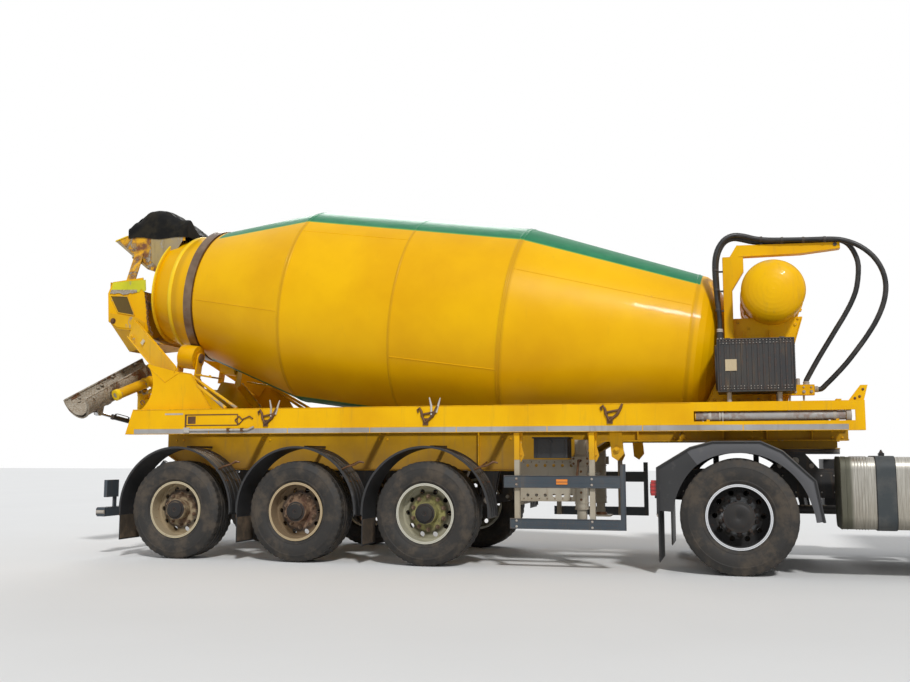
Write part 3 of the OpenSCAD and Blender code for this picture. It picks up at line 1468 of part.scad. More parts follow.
trailer_frame();
side_rails();
rear_stand();
front_stand();
feed_hopper();
hopper_hood();
discharge_funnel();
hose_boom();
water_tank();
cooler_box();
drum_drive();
trailer_mudguards();
side_guards();
landing_legs();
trailer_axles();
hose_inner();
hose_outer();
drum_shell();
drum_ring();
drum_roller(1);  // roller_left
drum_roller(-1);  // roller_right
chute_post();
chute_trough();
chute_barrel();
chute_rod();
tractor_frame();
fuel_tank();
battery_box();
tractor_mudguards();
engine_block();
front_bumper();
cab_shell();
cab_glass();
cab_interior();
door_left();
door_right();
door_glass_left();
door_glass_right();
knuckle_left();
knuckle_right();
trailer_tyre(0, 1);  // tyre_rear_left
trailer_tyre(0, -1);  // tyre_rear_right
trailer_tyre(1, 1);  // tyre_middle_left
trailer_tyre(1, -1);  // tyre_middle_right
trailer_tyre(2, 1);  // tyre_front_left
trailer_tyre(2, -1);  // tyre_front_right
trailer_rim(0, 1);  // rim_rear_left
trailer_rim(0, -1);  // rim_rear_right
trailer_rim(1, 1);  // rim_middle_left
trailer_rim(1, -1);  // rim_middle_right
trailer_rim(2, 1);  // rim_front_left
trailer_rim(2, -1);  // rim_front_right
drive_tyres(1);  // tyre_drive_left
drive_tyres(-1);  // tyre_drive_right
drive_rims(1);  // rim_drive_left
drive_rims(-1);  // rim_drive_right
steer_tyre(1);  // tyre_steer_left
steer_tyre(-1);  // tyre_steer_right
steer_rim(1);  // rim_steer_left
steer_rim(-1);  // rim_steer_right
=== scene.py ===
# Articulated concrete mixer lorry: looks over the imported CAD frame.
# Metres, +X forward, +Y to the left, +Z up. at() takes x from the rear trailer axle, as the CAD source does.
import json
import math
import random

import bmesh
import bpy
from mathutils import Matrix, Vector, noise


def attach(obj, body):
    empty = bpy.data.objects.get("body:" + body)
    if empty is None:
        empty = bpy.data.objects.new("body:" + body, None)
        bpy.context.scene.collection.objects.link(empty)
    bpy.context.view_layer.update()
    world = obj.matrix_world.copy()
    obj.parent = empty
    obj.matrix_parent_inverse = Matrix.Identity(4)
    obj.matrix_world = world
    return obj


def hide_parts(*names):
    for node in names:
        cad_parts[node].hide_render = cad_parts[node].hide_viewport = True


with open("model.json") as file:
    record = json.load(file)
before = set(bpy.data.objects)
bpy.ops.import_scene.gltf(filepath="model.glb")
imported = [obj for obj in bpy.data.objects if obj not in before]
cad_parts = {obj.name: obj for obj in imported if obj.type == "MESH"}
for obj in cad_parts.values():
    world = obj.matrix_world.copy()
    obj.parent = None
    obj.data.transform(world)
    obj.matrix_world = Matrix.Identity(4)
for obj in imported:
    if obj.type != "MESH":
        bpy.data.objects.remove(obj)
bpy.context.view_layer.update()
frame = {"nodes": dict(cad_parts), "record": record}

# Frame values

JOINTS = {joint["name"]: joint for joint in frame["record"]["behaviour"]["joints"]}
REAR_AXLE_X = JOINTS["wheel_rear_left_spin"]["pos_m"][0]
AXLE_X = (0.0, 1.41, 2.82)
AXLE_Z = 0.522
DRIVE_AXLE = (5.854, 0.536)
FRONT_AXLE = (9.554, 0.536)


def at(x, y, z):
    """Point in the shared frame, x measured from the rear trailer axle."""
    return Vector((x + REAR_AXLE_X, y, z))


def axis_matrix(origin, along, down=(0, 0, -1)):
    """Local Z along, local X as near to down as it gets, at origin."""
    z = Vector(along).normalized()
    x = (Vector(down) - Vector(down).dot(z) * z).normalized()
    y = z.cross(x)
    return Matrix.Translation(origin) @ Matrix((x, y, z)).transposed().to_4x4()


def sided(side, a, b):
    """Range across the lorry on one side, in rising order."""
    return (side * a, side * b) if side > 0 else (side * b, side * a)


SIDES = (1, -1)


def each_side():
    return ("left", 1), ("right", -1)


DRUM = axis_matrix(JOINTS["drum_spin"]["pos_m"], JOINTS["drum_spin"]["axis"])

# Camera, at the photo's place and angle

CAMERA_AT = at(5.862, -10.927, 1.111)
CAMERA_YAW = math.radians(15.69)
CAMERA_PITCH = math.radians(6.47)
FOCAL_PX = 1001.15
PHOTO_W = 910


def make_camera():
    data = bpy.data.cameras.new("camera")
    data.sensor_width = 36
    data.lens = 36 * FOCAL_PX / PHOTO_W
    data.clip_end = 300
    cam = bpy.data.objects.new("camera", data)
    bpy.context.scene.collection.objects.link(cam)
    cam.location = CAMERA_AT
    cam.rotation_euler = (math.pi / 2 + CAMERA_PITCH, 0, CAMERA_YAW)
    bpy.context.scene.camera = cam


make_camera()

# Materials


class Shader:
    """A material under construction: small helpers round its node tree."""

    def __init__(self, name, rough=0.5, metal=0.0, coat=0.0, shine=0.5):
        self.mat = bpy.data.materials.new(name)
        self.mat.use_nodes = True
        self.tree = self.mat.node_tree
        self.bsdf = self.tree.nodes["Principled BSDF"]
        for key, value in (("Roughness", rough), ("Metallic", metal), ("Coat Weight", coat),
                           ("Specular IOR Level", shine)):
            self.bsdf.inputs[key].default_value = value
        self.coords = self.node("ShaderNodeTexCoord").outputs["Object"]

    def node(self, kind, **values):
        """New node, with its inputs set or linked by name."""
        n = self.tree.nodes.new(kind)
        for key, value in values.items():
            self.put(n.inputs[key.replace("_", " ")], value)
        return n

    def put(self, socket, value):
        if hasattr(value, "links"):
            self.tree.links.new(value, socket)
        elif isinstance(value, (tuple, list)) and len(value) == 3 and socket.type == "RGBA":
            socket.default_value = (*value, 1)
        else:
            socket.default_value = value

    def stretched(self, scale):
        return self.node("ShaderNodeMapping", Vector=self.coords, Scale=scale).outputs[0]

    def noise(self, scale, detail=4, rough=0.55, source=None, distort=0.0):
        return self.node("ShaderNodeTexNoise", Vector=source or self.coords, Scale=scale, Detail=detail,
                         Roughness=rough, Distortion=distort).outputs["Fac"]

    def cells(self, scale):
        return self.node("ShaderNodeTexVoronoi", Vector=self.coords, Scale=scale).outputs["Distance"]

    def math(self, op, a, b=0.0, c=0.0, clamp=False):
        n = self.node("ShaderNodeMath")
        n.operation = op
        n.use_clamp = clamp
        for socket, value in zip(n.inputs, (a, b, c)):
            self.put(socket, value)
        return n.outputs[0]

    def step(self, value, low, high):
        """0 below low and 1 above high, smooth between."""
        n = self.node("ShaderNodeMapRange", Value=value, From_Min=low, From_Max=high)
        n.interpolation_type = "SMOOTHSTEP"
        return n.outputs["Result"]

    def share(self, value, low, high, amount):
        return self.math("MULTIPLY", self.step(value, low, high), amount)

    def inverse(self, value):
        return self.math("SUBTRACT", 1.0, value)

    def between(self, value, low, high, soft):
        return self.share(value, low - soft, low + soft,
                          self.inverse(self.step(value, high - soft, high + soft)))

    def mix(self, factor, a, b):
        n = self.node("ShaderNodeMix")
        n.data_type = "RGBA"
        self.put(n.inputs[0], factor)
        self.put(n.inputs[6], a)
        self.put(n.inputs[7], b)
        return n.outputs[2]

    def xyz(self, source=None):
        return self.node("ShaderNodeSeparateXYZ", Vector=source or self.coords).outputs

    def facing(self):
        """Normal's X, Y and Z in the object's own frame."""
        return self.xyz(self.node("ShaderNodeTexCoord").outputs["Normal"])

    def edges(self):
        """1 on edges: where the rounded normal leaves the true one."""
        b = self.node("ShaderNodeBevel", Radius=0.008)
        b.samples = 4
        g = self.node("ShaderNodeNewGeometry")
        d = self.node("ShaderNodeVectorMath")
        d.operation = "DOT_PRODUCT"
        self.put(d.inputs[0], b.outputs[0])
        self.put(d.inputs[1], g.outputs["Normal"])
        return self.inverse(self.step(d.outputs["Value"], 0.86, 0.985))

    def colour(self, value):
        self.put(self.bsdf.inputs["Base Color"], value)

    def roughness(self, low, high, factor):
        n = self.node("ShaderNodeMapRange", Value=factor, To_Min=low, To_Max=high)
        self.put(self.bsdf.inputs["Roughness"], n.outputs["Result"])

    def bump(self, height, strength=0.3, distance=0.002, below=None):
        n = self.node("ShaderNodeBump", Strength=strength, Distance=distance, Height=height)
        if below is not None:
            self.put(n.inputs["Normal"], below)
        self.put(self.bsdf.inputs["Normal"], n.outputs[0])
        return n.outputs[0]


YELLOW = (0.86, 0.475, 0.0)
YELLOW_DEEP = (0.74, 0.37, 0.0)
YELLOW_SHINE = 0.16
RUST = (0.16, 0.055, 0.018)
# Colour of run-down grime, also mixed in as painted shade on the low parts
GRIME_AND_SHADE = (0.17, 0.115, 0.06)
CONCRETE = (0.42, 0.38, 0.31)
GREEN = (0.0, 0.15, 0.06)
GREEN_EDGE = (0.1, 0.33, 0.06)
# Heights between which the painted shade on the low parts fades out
LOW_SHADE_HEIGHTS = (0.85, 1.42)


def paint(name, base, deep, grime=0.35, rust=0.3, rough=0.35, concrete=0.0, edge=0.5, shine=0.3, low_shade=0.0,
          settled=0.5):
    """Sprayed paint on steel: clouds, run-down grime, rust spots, chipped edges, concrete where asked, and
    painted shade on the low parts where asked.
    """
    s = Shader(name, rough, coat=0.03, shine=shine)
    clouds = s.noise(1.7, 5)
    col = s.mix(s.step(clouds, 0.3, 0.75), base, deep)
    streak = s.noise(3.0, 6, 0.65, s.stretched((6, 6, 0.7)))
    run = s.share(streak, 0.52, 0.78, grime)
    col = s.mix(run, col, GRIME_AND_SHADE)
    up = s.share(s.facing()[2], 0.4, 0.95, settled)
    dust = s.share(s.noise(9, 6), 0.42, 0.7, up)
    col = s.mix(dust, col, (0.4, 0.31, 0.2))
    spots = s.share(s.noise(14, 8, 0.7), 0.69, 0.74, rust)
    col = s.mix(spots, col, RUST)
    wear_and_shade = s.math("MULTIPLY", s.edges(), s.step(s.noise(22, 5), 0.42, 0.6))
    col = s.mix(s.math("MULTIPLY", wear_and_shade, edge), col, RUST)
    # Painted shade: darker below the given heights, mixed towards the grime colour
    if low_shade:
        low = s.inverse(s.step(s.xyz()[2], LOW_SHADE_HEIGHTS[0], LOW_SHADE_HEIGHTS[1]))
        low = s.math("MULTIPLY", low, s.math("MULTIPLY_ADD", s.noise(4, 6), 0.6, 0.5, clamp=True))
        col = s.mix(s.math("MULTIPLY", low, low_shade), col, GRIME_AND_SHADE)
    wear = s.math("ADD", run, spots, clamp=True)
    if concrete:
        crust = s.step(s.noise(4.5, 9, 0.7, distort=0.6), 0.66 - concrete * 0.35, 0.72 - concrete * 0.3)
        col = s.mix(crust, col, s.mix(s.noise(30, 5), CONCRETE, (0.24, 0.2, 0.15)))
        wear = s.math("ADD", wear, crust, clamp=True)
        s.bump(s.math("MULTIPLY", crust, s.noise(40, 6)), 0.7, 0.006)
    else:
        s.bump(s.noise(120, 2), 0.06, 0.0005)
    s.colour(col)
    s.roughness(rough, 0.8, wear)
    return s.mat


def drum_paint():
    """The drum's yellow with its two green bands and seams' dirt."""
    s = Shader("drum_paint", 0.42, coat=0.04, shine=0.14)
    m = s.node("ShaderNodeMapping", Vector=s.coords, Location=DRUM.translation, Rotation=DRUM.to_euler())
    m.vector_type = "TEXTURE"
    down, side, along = s.xyz(m.outputs[0])
    # 0 at the top, growing towards the right side
    angle = s.math("ARCTAN2", s.math("MULTIPLY", side, -1.0), s.math("MULTIPLY", down, -1.0))
    twice = s.math("COSINE", s.math("MULTIPLY_ADD", angle, 2.0, -2 * BAND_MIDDLE))
    col = s.mix(s.step(s.noise(0.9, 5), 0.3, 0.72), YELLOW, YELLOW_DEEP)
    streak = s.noise(2.5, 7, 0.68, s.stretched((5, 5, 0.6)))
    run = s.share(streak, 0.6, 0.86, 0.16)
    col = s.mix(run, col, GRIME_AND_SHADE)
    blotch = s.share(s.noise(5, 8, 0.7), 0.63, 0.78, 0.13)
    col = s.mix(blotch, col, (0.42, 0.22, 0.02))
    for place, width, amount in SEAM_DIRT:
        ring = s.between(along, place - width, place + width, width * 0.7)
        col = s.mix(s.math("MULTIPLY", ring, amount), col, (0.3, 0.14, 0.01))
    inside = s.share(along, BAND_ALONG[0], BAND_ALONG[0] + 0.01,
                     s.inverse(s.step(along, BAND_ALONG[1], BAND_ALONG[1] + 0.01)))
    rim = s.share(twice, math.cos(2 * BAND_HALF + 0.04), math.cos(2 * BAND_HALF + 0.03), inside)
    band = s.share(twice, math.cos(2 * BAND_HALF), math.cos(2 * BAND_HALF - 0.01), inside)
    col = s.mix(rim, col, GREEN_EDGE)
    faded = s.mix(s.step(s.noise(7, 7, 0.7), 0.35, 0.75), GREEN, (0.01, 0.2, 0.08))
    col = s.mix(band, col, faded)
    spots = s.step(s.noise(10, 9, 0.72), 0.715, 0.745)
    col = s.mix(spots, col, RUST)
    s.colour(col)
    s.roughness(0.4, 0.75, s.math("ADD", run, spots, clamp=True))
    dents = s.noise(1.6, 3)
    fine = s.bump(s.noise(160, 2), 0.05, 0.0004)
    s.bump(dents, 0.35, 0.02, below=fine)
    return s.mat


BAND_MIDDLE = math.radians(10)
BAND_HALF = math.radians(27)
BAND_ALONG = (-1.55, 4.02)
SEAM_DIRT = ((-0.333, 0.02, 0.35), (0.95, 0.015, 0.3), (2.149, 0.03, 0.35), (4.013, 0.02, 0.3),
             (-1.9, 0.05, 0.3))


def steel(name, base, other, rough=0.45, metal=0.85, rust=0.2, scale=6.0):
    s = Shader(name, rough, metal)
    col = s.mix(s.step(s.noise(scale, 6), 0.3, 0.7), base, other)
    spots = s.share(s.noise(scale * 3, 8, 0.7), 0.58, 0.7, rust)
    col = s.mix(spots, col, RUST)
    s.colour(col)
    s.put(s.bsdf.inputs["Metallic"], s.math("MULTIPLY", s.inverse(spots), metal))
    s.roughness(rough * 0.8, 0.85, spots)
    s.bump(s.noise(scale * 14, 4), 0.15, 0.001)
    return s.mat


def concrete_crust(name, paint_colour, amount):
    """Steel or paint under thick splashes of set concrete."""
    s = Shader(name, 0.8)
    crust = s.step(s.noise(5, 9, 0.72, distort=0.8), 0.62 - amount * 0.4, 0.68 - amount * 0.35)
    grit = s.noise(45, 6, 0.7)
    col = s.mix(s.step(s.noise(11, 7), 0.35, 0.65), paint_colour, RUST)
    stone = s.mix(s.step(grit, 0.35, 0.7), CONCRETE, (0.23, 0.17, 0.11))
    col = s.mix(crust, col, stone)
    s.colour(col)
    s.roughness(0.5, 0.95, crust)
    s.bump(s.math("MULTIPLY", crust, s.math("ADD", grit, s.noise(9, 5))), 0.8, 0.012)
    return s.mat


def rubber_mat(name, base, dusty, rough=0.75, bump_scale=60.0, shine=0.4):
    s = Shader(name, rough, shine=shine)
    dust = s.share(s.noise(6, 7, 0.65), 0.42, 0.68, 0.7)
    s.colour(s.mix(dust, base, dusty))
    s.roughness(rough - 0.15, 0.95, dust)
    s.bump(s.noise(bump_scale, 4), 0.25, 0.001)
    return s.mat


def plastic(name, base, light, rough=0.55):
    """Grained moulded plastic with pale scuffs and dust on what faces up."""
    s = Shader(name, rough)
    scuff = s.share(s.noise(8, 8, 0.7), 0.55, 0.72, 0.45)
    col = s.mix(scuff, base, light)
    up = s.share(s.facing()[2], 0.3, 0.9, s.step(s.noise(5, 6), 0.35, 0.65))
    col = s.mix(s.math("MULTIPLY", up, 0.5), col, (0.3, 0.24, 0.17))
    s.colour(col)
    s.roughness(rough, 0.85, scuff)
    s.bump(s.cells(260), 0.12, 0.0006)
    return s.mat


def glass_mat(name, tint):
    s = Shader(name, 0.03)
    s.bsdf.inputs["Transmission Weight"].default_value = 0.85
    s.bsdf.inputs["IOR"].default_value = 1.45
    dust = s.share(s.noise(5, 7), 0.4, 0.8, 0.12)
    s.colour(s.mix(dust, tint, (0.5, 0.47, 0.4)))
    s.roughness(0.03, 0.35, dust)
    return s.mat


def lamp_mat(name, base, scale=180.0):
    """Ribbed lamp lens over a bright reflector."""
    s = Shader(name, 0.12, coat=0.6)
    ribs = s.math("SINE", s.math("MULTIPLY", s.xyz()[2], scale))
    s.colour(s.mix(s.step(ribs, -0.6, 0.6), base, tuple(c * 0.6 for c in base)))
    s.bump(ribs, 0.3, 0.002)
    return s.mat


def rim_finish(name, axle, ring, barrel, disc_paint, disc_dirt_and_shade, metal, rust):
    """A lorry's rim by distance from its axle: bright outer rings, with the deep barrel, the gap round the
    disc and the groove between the lips darker as painted shade.
    """
    s = Shader(name, 0.35, metal)
    x, _, z = s.xyz()
    dx = s.math("SUBTRACT", x, at(axle[0], 0, 0).x)
    dz = s.math("SUBTRACT", z, axle[1])
    away = s.math("SQRT", s.math("ADD", s.math("MULTIPLY", dx, dx), s.math("MULTIPLY", dz, dz)))
    # The disc's dark patches: dirt, and on the silver rims painted shade as well
    disc = s.mix(s.step(s.noise(14, 6), 0.38, 0.62), disc_paint, disc_dirt_and_shade)
    # Painted shade: a near-black ring in the recess round the disc, and the barrel in its own darker colour
    gap = s.share(away, 0.165, 0.19, s.step(away, 0.235, 0.2))
    col = s.mix(s.step(away, 0.2, 0.222), disc, barrel)
    col = s.mix(s.math("MULTIPLY", gap, 0.8), col, (0.025, 0.02, 0.016))
    lip = s.between(away, 0.279, 0.33, 0.0015)
    groove = s.between(away, 0.2885, 0.292, 0.001)
    col = s.mix(lip, col, ring)
    # Painted shade in the groove between the two lips
    col = s.mix(s.math("MULTIPLY", groove, 0.7), col, (0.12, 0.12, 0.12))
    spots = s.share(s.noise(22, 8, 0.7), 0.58, 0.68, rust)
    s.colour(s.mix(spots, col, RUST))
    s.roughness(0.25, 0.7, s.inverse(lip))
    s.bump(s.noise(90, 4), 0.1, 0.001)
    return s.mat


def tank_shell():
    """Brushed aluminium, warm, darker towards the bottom and dark olive over the tank's rear end, both as
    painted shade.
    """
    s = Shader("tank_aluminium", 0.4, 0.75)
    x, _, z = s.xyz()
    brushed = s.noise(6, 8, 0.6, s.stretched((30, 1, 1)))
    col = s.mix(s.step(brushed, 0.35, 0.65), (0.5, 0.48, 0.43), (0.33, 0.31, 0.27))
    # Painted shade: darker towards the bottom
    low = s.inverse(s.step(z, 0.5, 1.0))
    col = s.mix(s.math("MULTIPLY", low, 0.45), col, (0.2, 0.17, 0.12))
    # Painted shade: dark olive over the tank's rear end
    rear = s.inverse(s.step(x, at(6.82, 0, 0).x, at(6.865, 0, 0).x))
    col = s.mix(s.math("MULTIPLY", rear, 0.85), col, (0.07, 0.07, 0.045))
    s.colour(col)
    s.roughness(0.36, 0.7, s.math("ADD", rear, low, clamp=True))
    s.bump(brushed, 0.08, 0.001)
    return s.mat


MATS = {
    # The two yellows take painted shade on their low parts
    "yellow": paint("yellow_paint", YELLOW, YELLOW_DEEP, 0.2, 0.3, 0.42, shine=YELLOW_SHINE, low_shade=0.55),
    "yellow_crusted": paint("yellow_crusted", YELLOW, (0.6, 0.31, 0.01), 0.4, 0.5, 0.5, 0.3,
                            shine=YELLOW_SHINE,
                            low_shade=0.4),
    "yellow_bright": paint("yellow_bright", (0.9, 0.62, 0.02), (0.8, 0.5, 0.01), 0.15, 0.25,
                           shine=YELLOW_SHINE),
    "drum": drum_paint(),
    "grey": paint("grey_paint", (0.3, 0.29, 0.26), (0.2, 0.19, 0.17), 0.5, 0.4, 0.5),
    "leg_beige": paint("leg_beige", (0.46, 0.42, 0.34), (0.33, 0.28, 0.2), 0.5, 0.7, 0.6),
    "frame_dark": paint("frame_dark", (0.035, 0.035, 0.037), (0.06, 0.055, 0.048), 0.6, 0.35, 0.5),
    "blue_grey": paint("blue_grey", (0.045, 0.06, 0.075), (0.07, 0.08, 0.09), 0.4, 0.35, 0.45),
    "white": paint("white_paint", (0.78, 0.79, 0.8), (0.7, 0.7, 0.69), 0.12, 0.04, 0.22, edge=0.1,
                   settled=0.16),
    # Rims: barrel and disc colours darker than the lips as painted shade in the deep dish, near black on the
    # silver rims
    "rim_rear": rim_finish("rear_rim_beige", (AXLE_X[0], AXLE_Z), (0.5, 0.42, 0.27), (0.34, 0.27, 0.17),
                           (0.33, 0.26, 0.16), (0.13, 0.075, 0.04), 0.1, 0.6),
    "rim_middle": rim_finish("middle_rim_beige", (AXLE_X[1], AXLE_Z), (0.46, 0.35, 0.2), (0.2, 0.14, 0.08),
                             (0.24, 0.15, 0.09), (0.1, 0.05, 0.03), 0.1, 0.8),
    "rim_front": rim_finish("front_rim_beige", (AXLE_X[2], AXLE_Z), (0.55, 0.53, 0.44), (0.36, 0.34, 0.25),
                            (0.3, 0.28, 0.1), (0.16, 0.14, 0.06), 0.2, 0.5),
    "rim_drive": rim_finish("drive_rim_silver", DRIVE_AXLE, (0.72, 0.73, 0.75), (0.035, 0.034, 0.034),
                            (0.3, 0.31, 0.32), (0.07, 0.068, 0.065), 0.8, 0.3),
    "rim_steer": rim_finish("steer_rim_silver", FRONT_AXLE, (0.72, 0.73, 0.75), (0.035, 0.034, 0.034),
                            (0.3, 0.31, 0.32), (0.07, 0.068, 0.065), 0.8, 0.3),
    # Beam: a darker copy of the yellow as painted shade under the rails, with strong painted shade low down
    "beam": paint("beam_yellow_painted_shade", (0.56, 0.3, 0.0), (0.36, 0.185, 0.0), 0.45, 0.5, 0.5, shine=YELLOW_SHINE,
                  low_shade=0.7),
    "hub_black": paint("hub_black", (0.012, 0.012, 0.013), (0.03, 0.026, 0.022), 0.15, 0.2, 0.45),
    "worn_steel": steel("worn_steel", (0.13, 0.085, 0.055), (0.22, 0.15, 0.1), 0.42, 0.6, 0.8),
    "chute": concrete_crust("chute_crust", (0.16, 0.1, 0.05), 0.55),
    "hopper": concrete_crust("hopper_crust", YELLOW_DEEP, 0.32),
    "black_rubber": rubber_mat("black_rubber", (0.012, 0.012, 0.012), (0.06, 0.055, 0.05), 0.5),
    "hood_rubber": rubber_mat("hood_rubber", (0.006, 0.006, 0.006), (0.034, 0.029, 0.02), 0.75, 30, 0.12),
    "tyre": rubber_mat("tyre_rubber", (0.022, 0.02, 0.018), (0.095, 0.075, 0.055), 0.8),
    "flap": rubber_mat("flap_rubber", (0.05, 0.037, 0.025), (0.16, 0.11, 0.07), 0.85),
    "black_plastic": plastic("black_plastic", (0.018, 0.018, 0.019), (0.09, 0.085, 0.08)),
    "cabin": plastic("cabin_plastic", (0.05, 0.055, 0.062), (0.09, 0.095, 0.1), 0.6),
    "aluminium": tank_shell(),
    "chrome": steel("rod_chrome", (0.6, 0.6, 0.62), (0.5, 0.5, 0.5), 0.18, 1.0, 0.1),
    "glass": glass_mat("window_glass", (0.6, 0.68, 0.68)),
    "red_lamp": lamp_mat("red_lamp", (0.5, 0.012, 0.01)),
    "amber_lamp": lamp_mat("amber_lamp", (0.75, 0.22, 0.01)),
    "clear_lamp": lamp_mat("clear_lamp", (0.75, 0.77, 0.8), 90),
    "hopper_grey": paint("hopper_grey", (0.3, 0.25, 0.17), (0.42, 0.3, 0.1), 0.8, 0.8, 0.6, 0.3),
    "skirt": paint("skirt_yellow", (0.72, 0.66, 0.02), (0.45, 0.45, 0.02), 0.5, 0.1, 0.6, 0.15),
    "crust": concrete_crust("concrete_crust", (0.34, 0.27, 0.17), 0.95),
    # Dark olive used as painted shade in recesses
    "painted_shade_olive": paint("painted_shade_olive", (0.13, 0.085, 0.012), (0.09, 0.055, 0.012), 0.4, 0.5, 0.7),
    "rust": steel("rusty_iron", (0.16, 0.075, 0.03), (0.09, 0.045, 0.022), 0.7, 0.4, 0.9, 14.0),
    "band": paint("grey_band", (0.4, 0.39, 0.38), (0.27, 0.25, 0.23), 0.4, 0.2, 0.5),
    "pale_steel": paint("pale_steel", (0.5, 0.48, 0.44), (0.3, 0.25, 0.2), 0.5, 0.6, 0.5),
    "guard_grey": plastic("guard_grey", (0.075, 0.075, 0.08), (0.14, 0.135, 0.13), 0.6),
    "strap_rubber": rubber_mat("strap_rubber", (0.035, 0.042, 0.045), (0.09, 0.09, 0.085), 0.7),
    "seat_cloth": rubber_mat("seat_cloth", (0.03, 0.034, 0.045), (0.06, 0.065, 0.075), 0.9, 260.0),
    "blank_plate": paint("blank_plate", (0.6, 0.5, 0.33), (0.5, 0.4, 0.25), 0.3, 0.2, 0.4),
}

NODE_MATS = {
    "beam": "trailer_frame",
    "yellow": "side_rails rear_stand front_stand hose_boom water_tank roller_left roller_right",
    "hopper": "feed_hopper",
    "hood_rubber": "hopper_hood",
    "yellow_crusted": "discharge_funnel chute_post",
    "frame_dark": "cooler_box trailer_axles chute_barrel tractor_frame knuckle_left knuckle_right",
    "grey": "drum_drive",
    "black_plastic": "trailer_mudguards battery_box tractor_mudguards",
    "blue_grey": "side_guards",
    "leg_beige": "landing_legs",
    "drum": "drum_shell",
    "worn_steel": "drum_ring engine_block",
    "chute": "chute_trough",
    "chrome": "chute_rod",
    "aluminium": "fuel_tank",
    "white": "front_bumper cab_shell door_left door_right",
    "glass": "cab_glass door_glass_left door_glass_right",
    "cabin": "cab_interior",
    "black_rubber": "hose_inner hose_outer",
}


def dress_node(name, mat):
    obj = frame["nodes"][name]
    if not obj.material_slots:
        obj.data.materials.append(mat)
    for slot in obj.material_slots:
        slot.material = mat


MAT_OF = {node: key for key, nodes in NODE_MATS.items() for node in nodes.split()}
for node_name in frame["nodes"]:
    kind, _, place = node_name.partition("_")
    if kind == "tyre":
        dress_node(node_name, MATS["tyre"])
    elif kind == "rim":
        dress_node(node_name, MATS["rim_" + place.split("_")[0]])
    else:
        dress_node(node_name, MATS[MAT_OF[node_name]])

# Hoses between the boom and the trailer, on the routes that part.scad gives

HOSE_D = 0.05
INNER_HOSE = [
    (5725, -600, 2320), (5725, -600, 2480), (5716, -600, 2640), (5710, -600, 2800),
    (5706, -600, 2950), (5715, -600, 3070), (5745, -595, 3170), (5800, -585, 3250), (5880, -560, 3285),
    (5970, -530, 3275), (6070, -515, 3250), (6200, -512, 3240), (6400, -512, 3236), (6600, -512, 3234),
    (6780, -512, 3232), (6885, -512, 3226), (6970, -512, 3180), (7030, -512, 3080), (7058, -512, 2950),
    (7035, -512, 2750), (6985, -512, 2610), (6910, -512, 2470), (6830, -512, 2340), (6750, -512, 2210),
    (6670, -512, 2080), (6600, -512, 1960), (6550, -512, 1870), (6530, -512, 1830), (6530, -512, 1790)]
OUTER_HOSE = [
    (5725, -670, 2320), (5725, -670, 2480), (5708, -670, 2640), (5698, -670, 2800),
    (5692, -668, 2950), (5700, -660, 3080), (5735, -645, 3190), (5800, -630, 3275), (5890, -610, 3310),
    (5990, -590, 3300), (6090, -585, 3270), (6220, -582, 3250), (6400, -582, 3240), (6600, -582, 3232),
    (6800, -582, 3226), (6930, -582, 3205), (7070, -582, 3140), (7190, -582, 3030), (7265, -582, 2890),
    (7290, -582, 2740), (7265, -582, 2580), (7200, -582, 2420), (7110, -582, 2270), (7010, -582, 2130),
    (6900, -582, 1990), (6790, -580, 1870), (6710, -578, 1790), (6660, -577, 1745), (6600, -577, 1745)]


ROUTE_STEPS = 3


def curved(points):
    """The same route with ROUTE_STEPS pieces between two points, on a Catmull-Rom curve."""
    out = []
    for k in range(len(points) - 1):
        p0, p1, p2, p3 = points[max(k - 1, 0)], points[k], points[k + 1], points[min(k + 2, len(points) - 1)]
        for i in range(ROUTE_STEPS):
            t = i / ROUTE_STEPS
            out.append(0.5 * (2 * p1 + (p2 - p0) * t + (2 * p0 - 5 * p1 + 4 * p2 - p3) * t * t
                              + (3 * p1 - p0 - 3 * p2 + p3) * t ** 3))
    return out + [points[-1]]


def hose(name, node, route):
    points = curved([at(x / 1000, y / 1000, z / 1000) for x, y, z in route])
    curve = bpy.data.curves.new(name, "CURVE")
    curve.dimensions = "3D"
    curve.bevel_depth = HOSE_D / 2
    curve.bevel_resolution = 6
    curve.use_fill_caps = True
    spline = curve.splines.new("POLY")
    spline.points.add(len(points) - 1)
    for place, point in zip(spline.points, points):
        place.co = (*point, 1)
    curve.materials.append(MATS["black_rubber"])
    obj = bpy.data.objects.new(name, curve)
    bpy.context.scene.collection.objects.link(obj)
    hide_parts(node)
    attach(obj, "trailer")


hose("inner_hose_line", "hose_inner", INNER_HOSE)
hose("outer_hose_line", "hose_outer", OUTER_HOSE)

# Shape building


# Slot that goes with a material, unless a piece says another
SLOTS = {
    "amber_lamp": "black_plastic", "band": "grey_paint", "black_plastic": "black_plastic",
    "black_rubber": "black_rubber", "blank_plate": "grey_paint", "cabin": "cabin_plastic",
    "chrome": "worn_steel", "clear_lamp": "window_glass", "crust": "chute_steel",
    "flap": "black_rubber", "frame_dark": "dark_frame", "hood_rubber": "black_rubber",
    "hub_black": "silver_rim", "leg_beige": "grey_paint", "pale_steel": "worn_steel",
    "red_lamp": "black_plastic", "rust": "worn_steel", "tyre": "tyre_rubber",
    "white": "cab_white", "worn_steel": "worn_steel", "yellow": "yellow_paint",
    "yellow_bright": "yellow_paint", "yellow_crusted": "yellow_paint"}


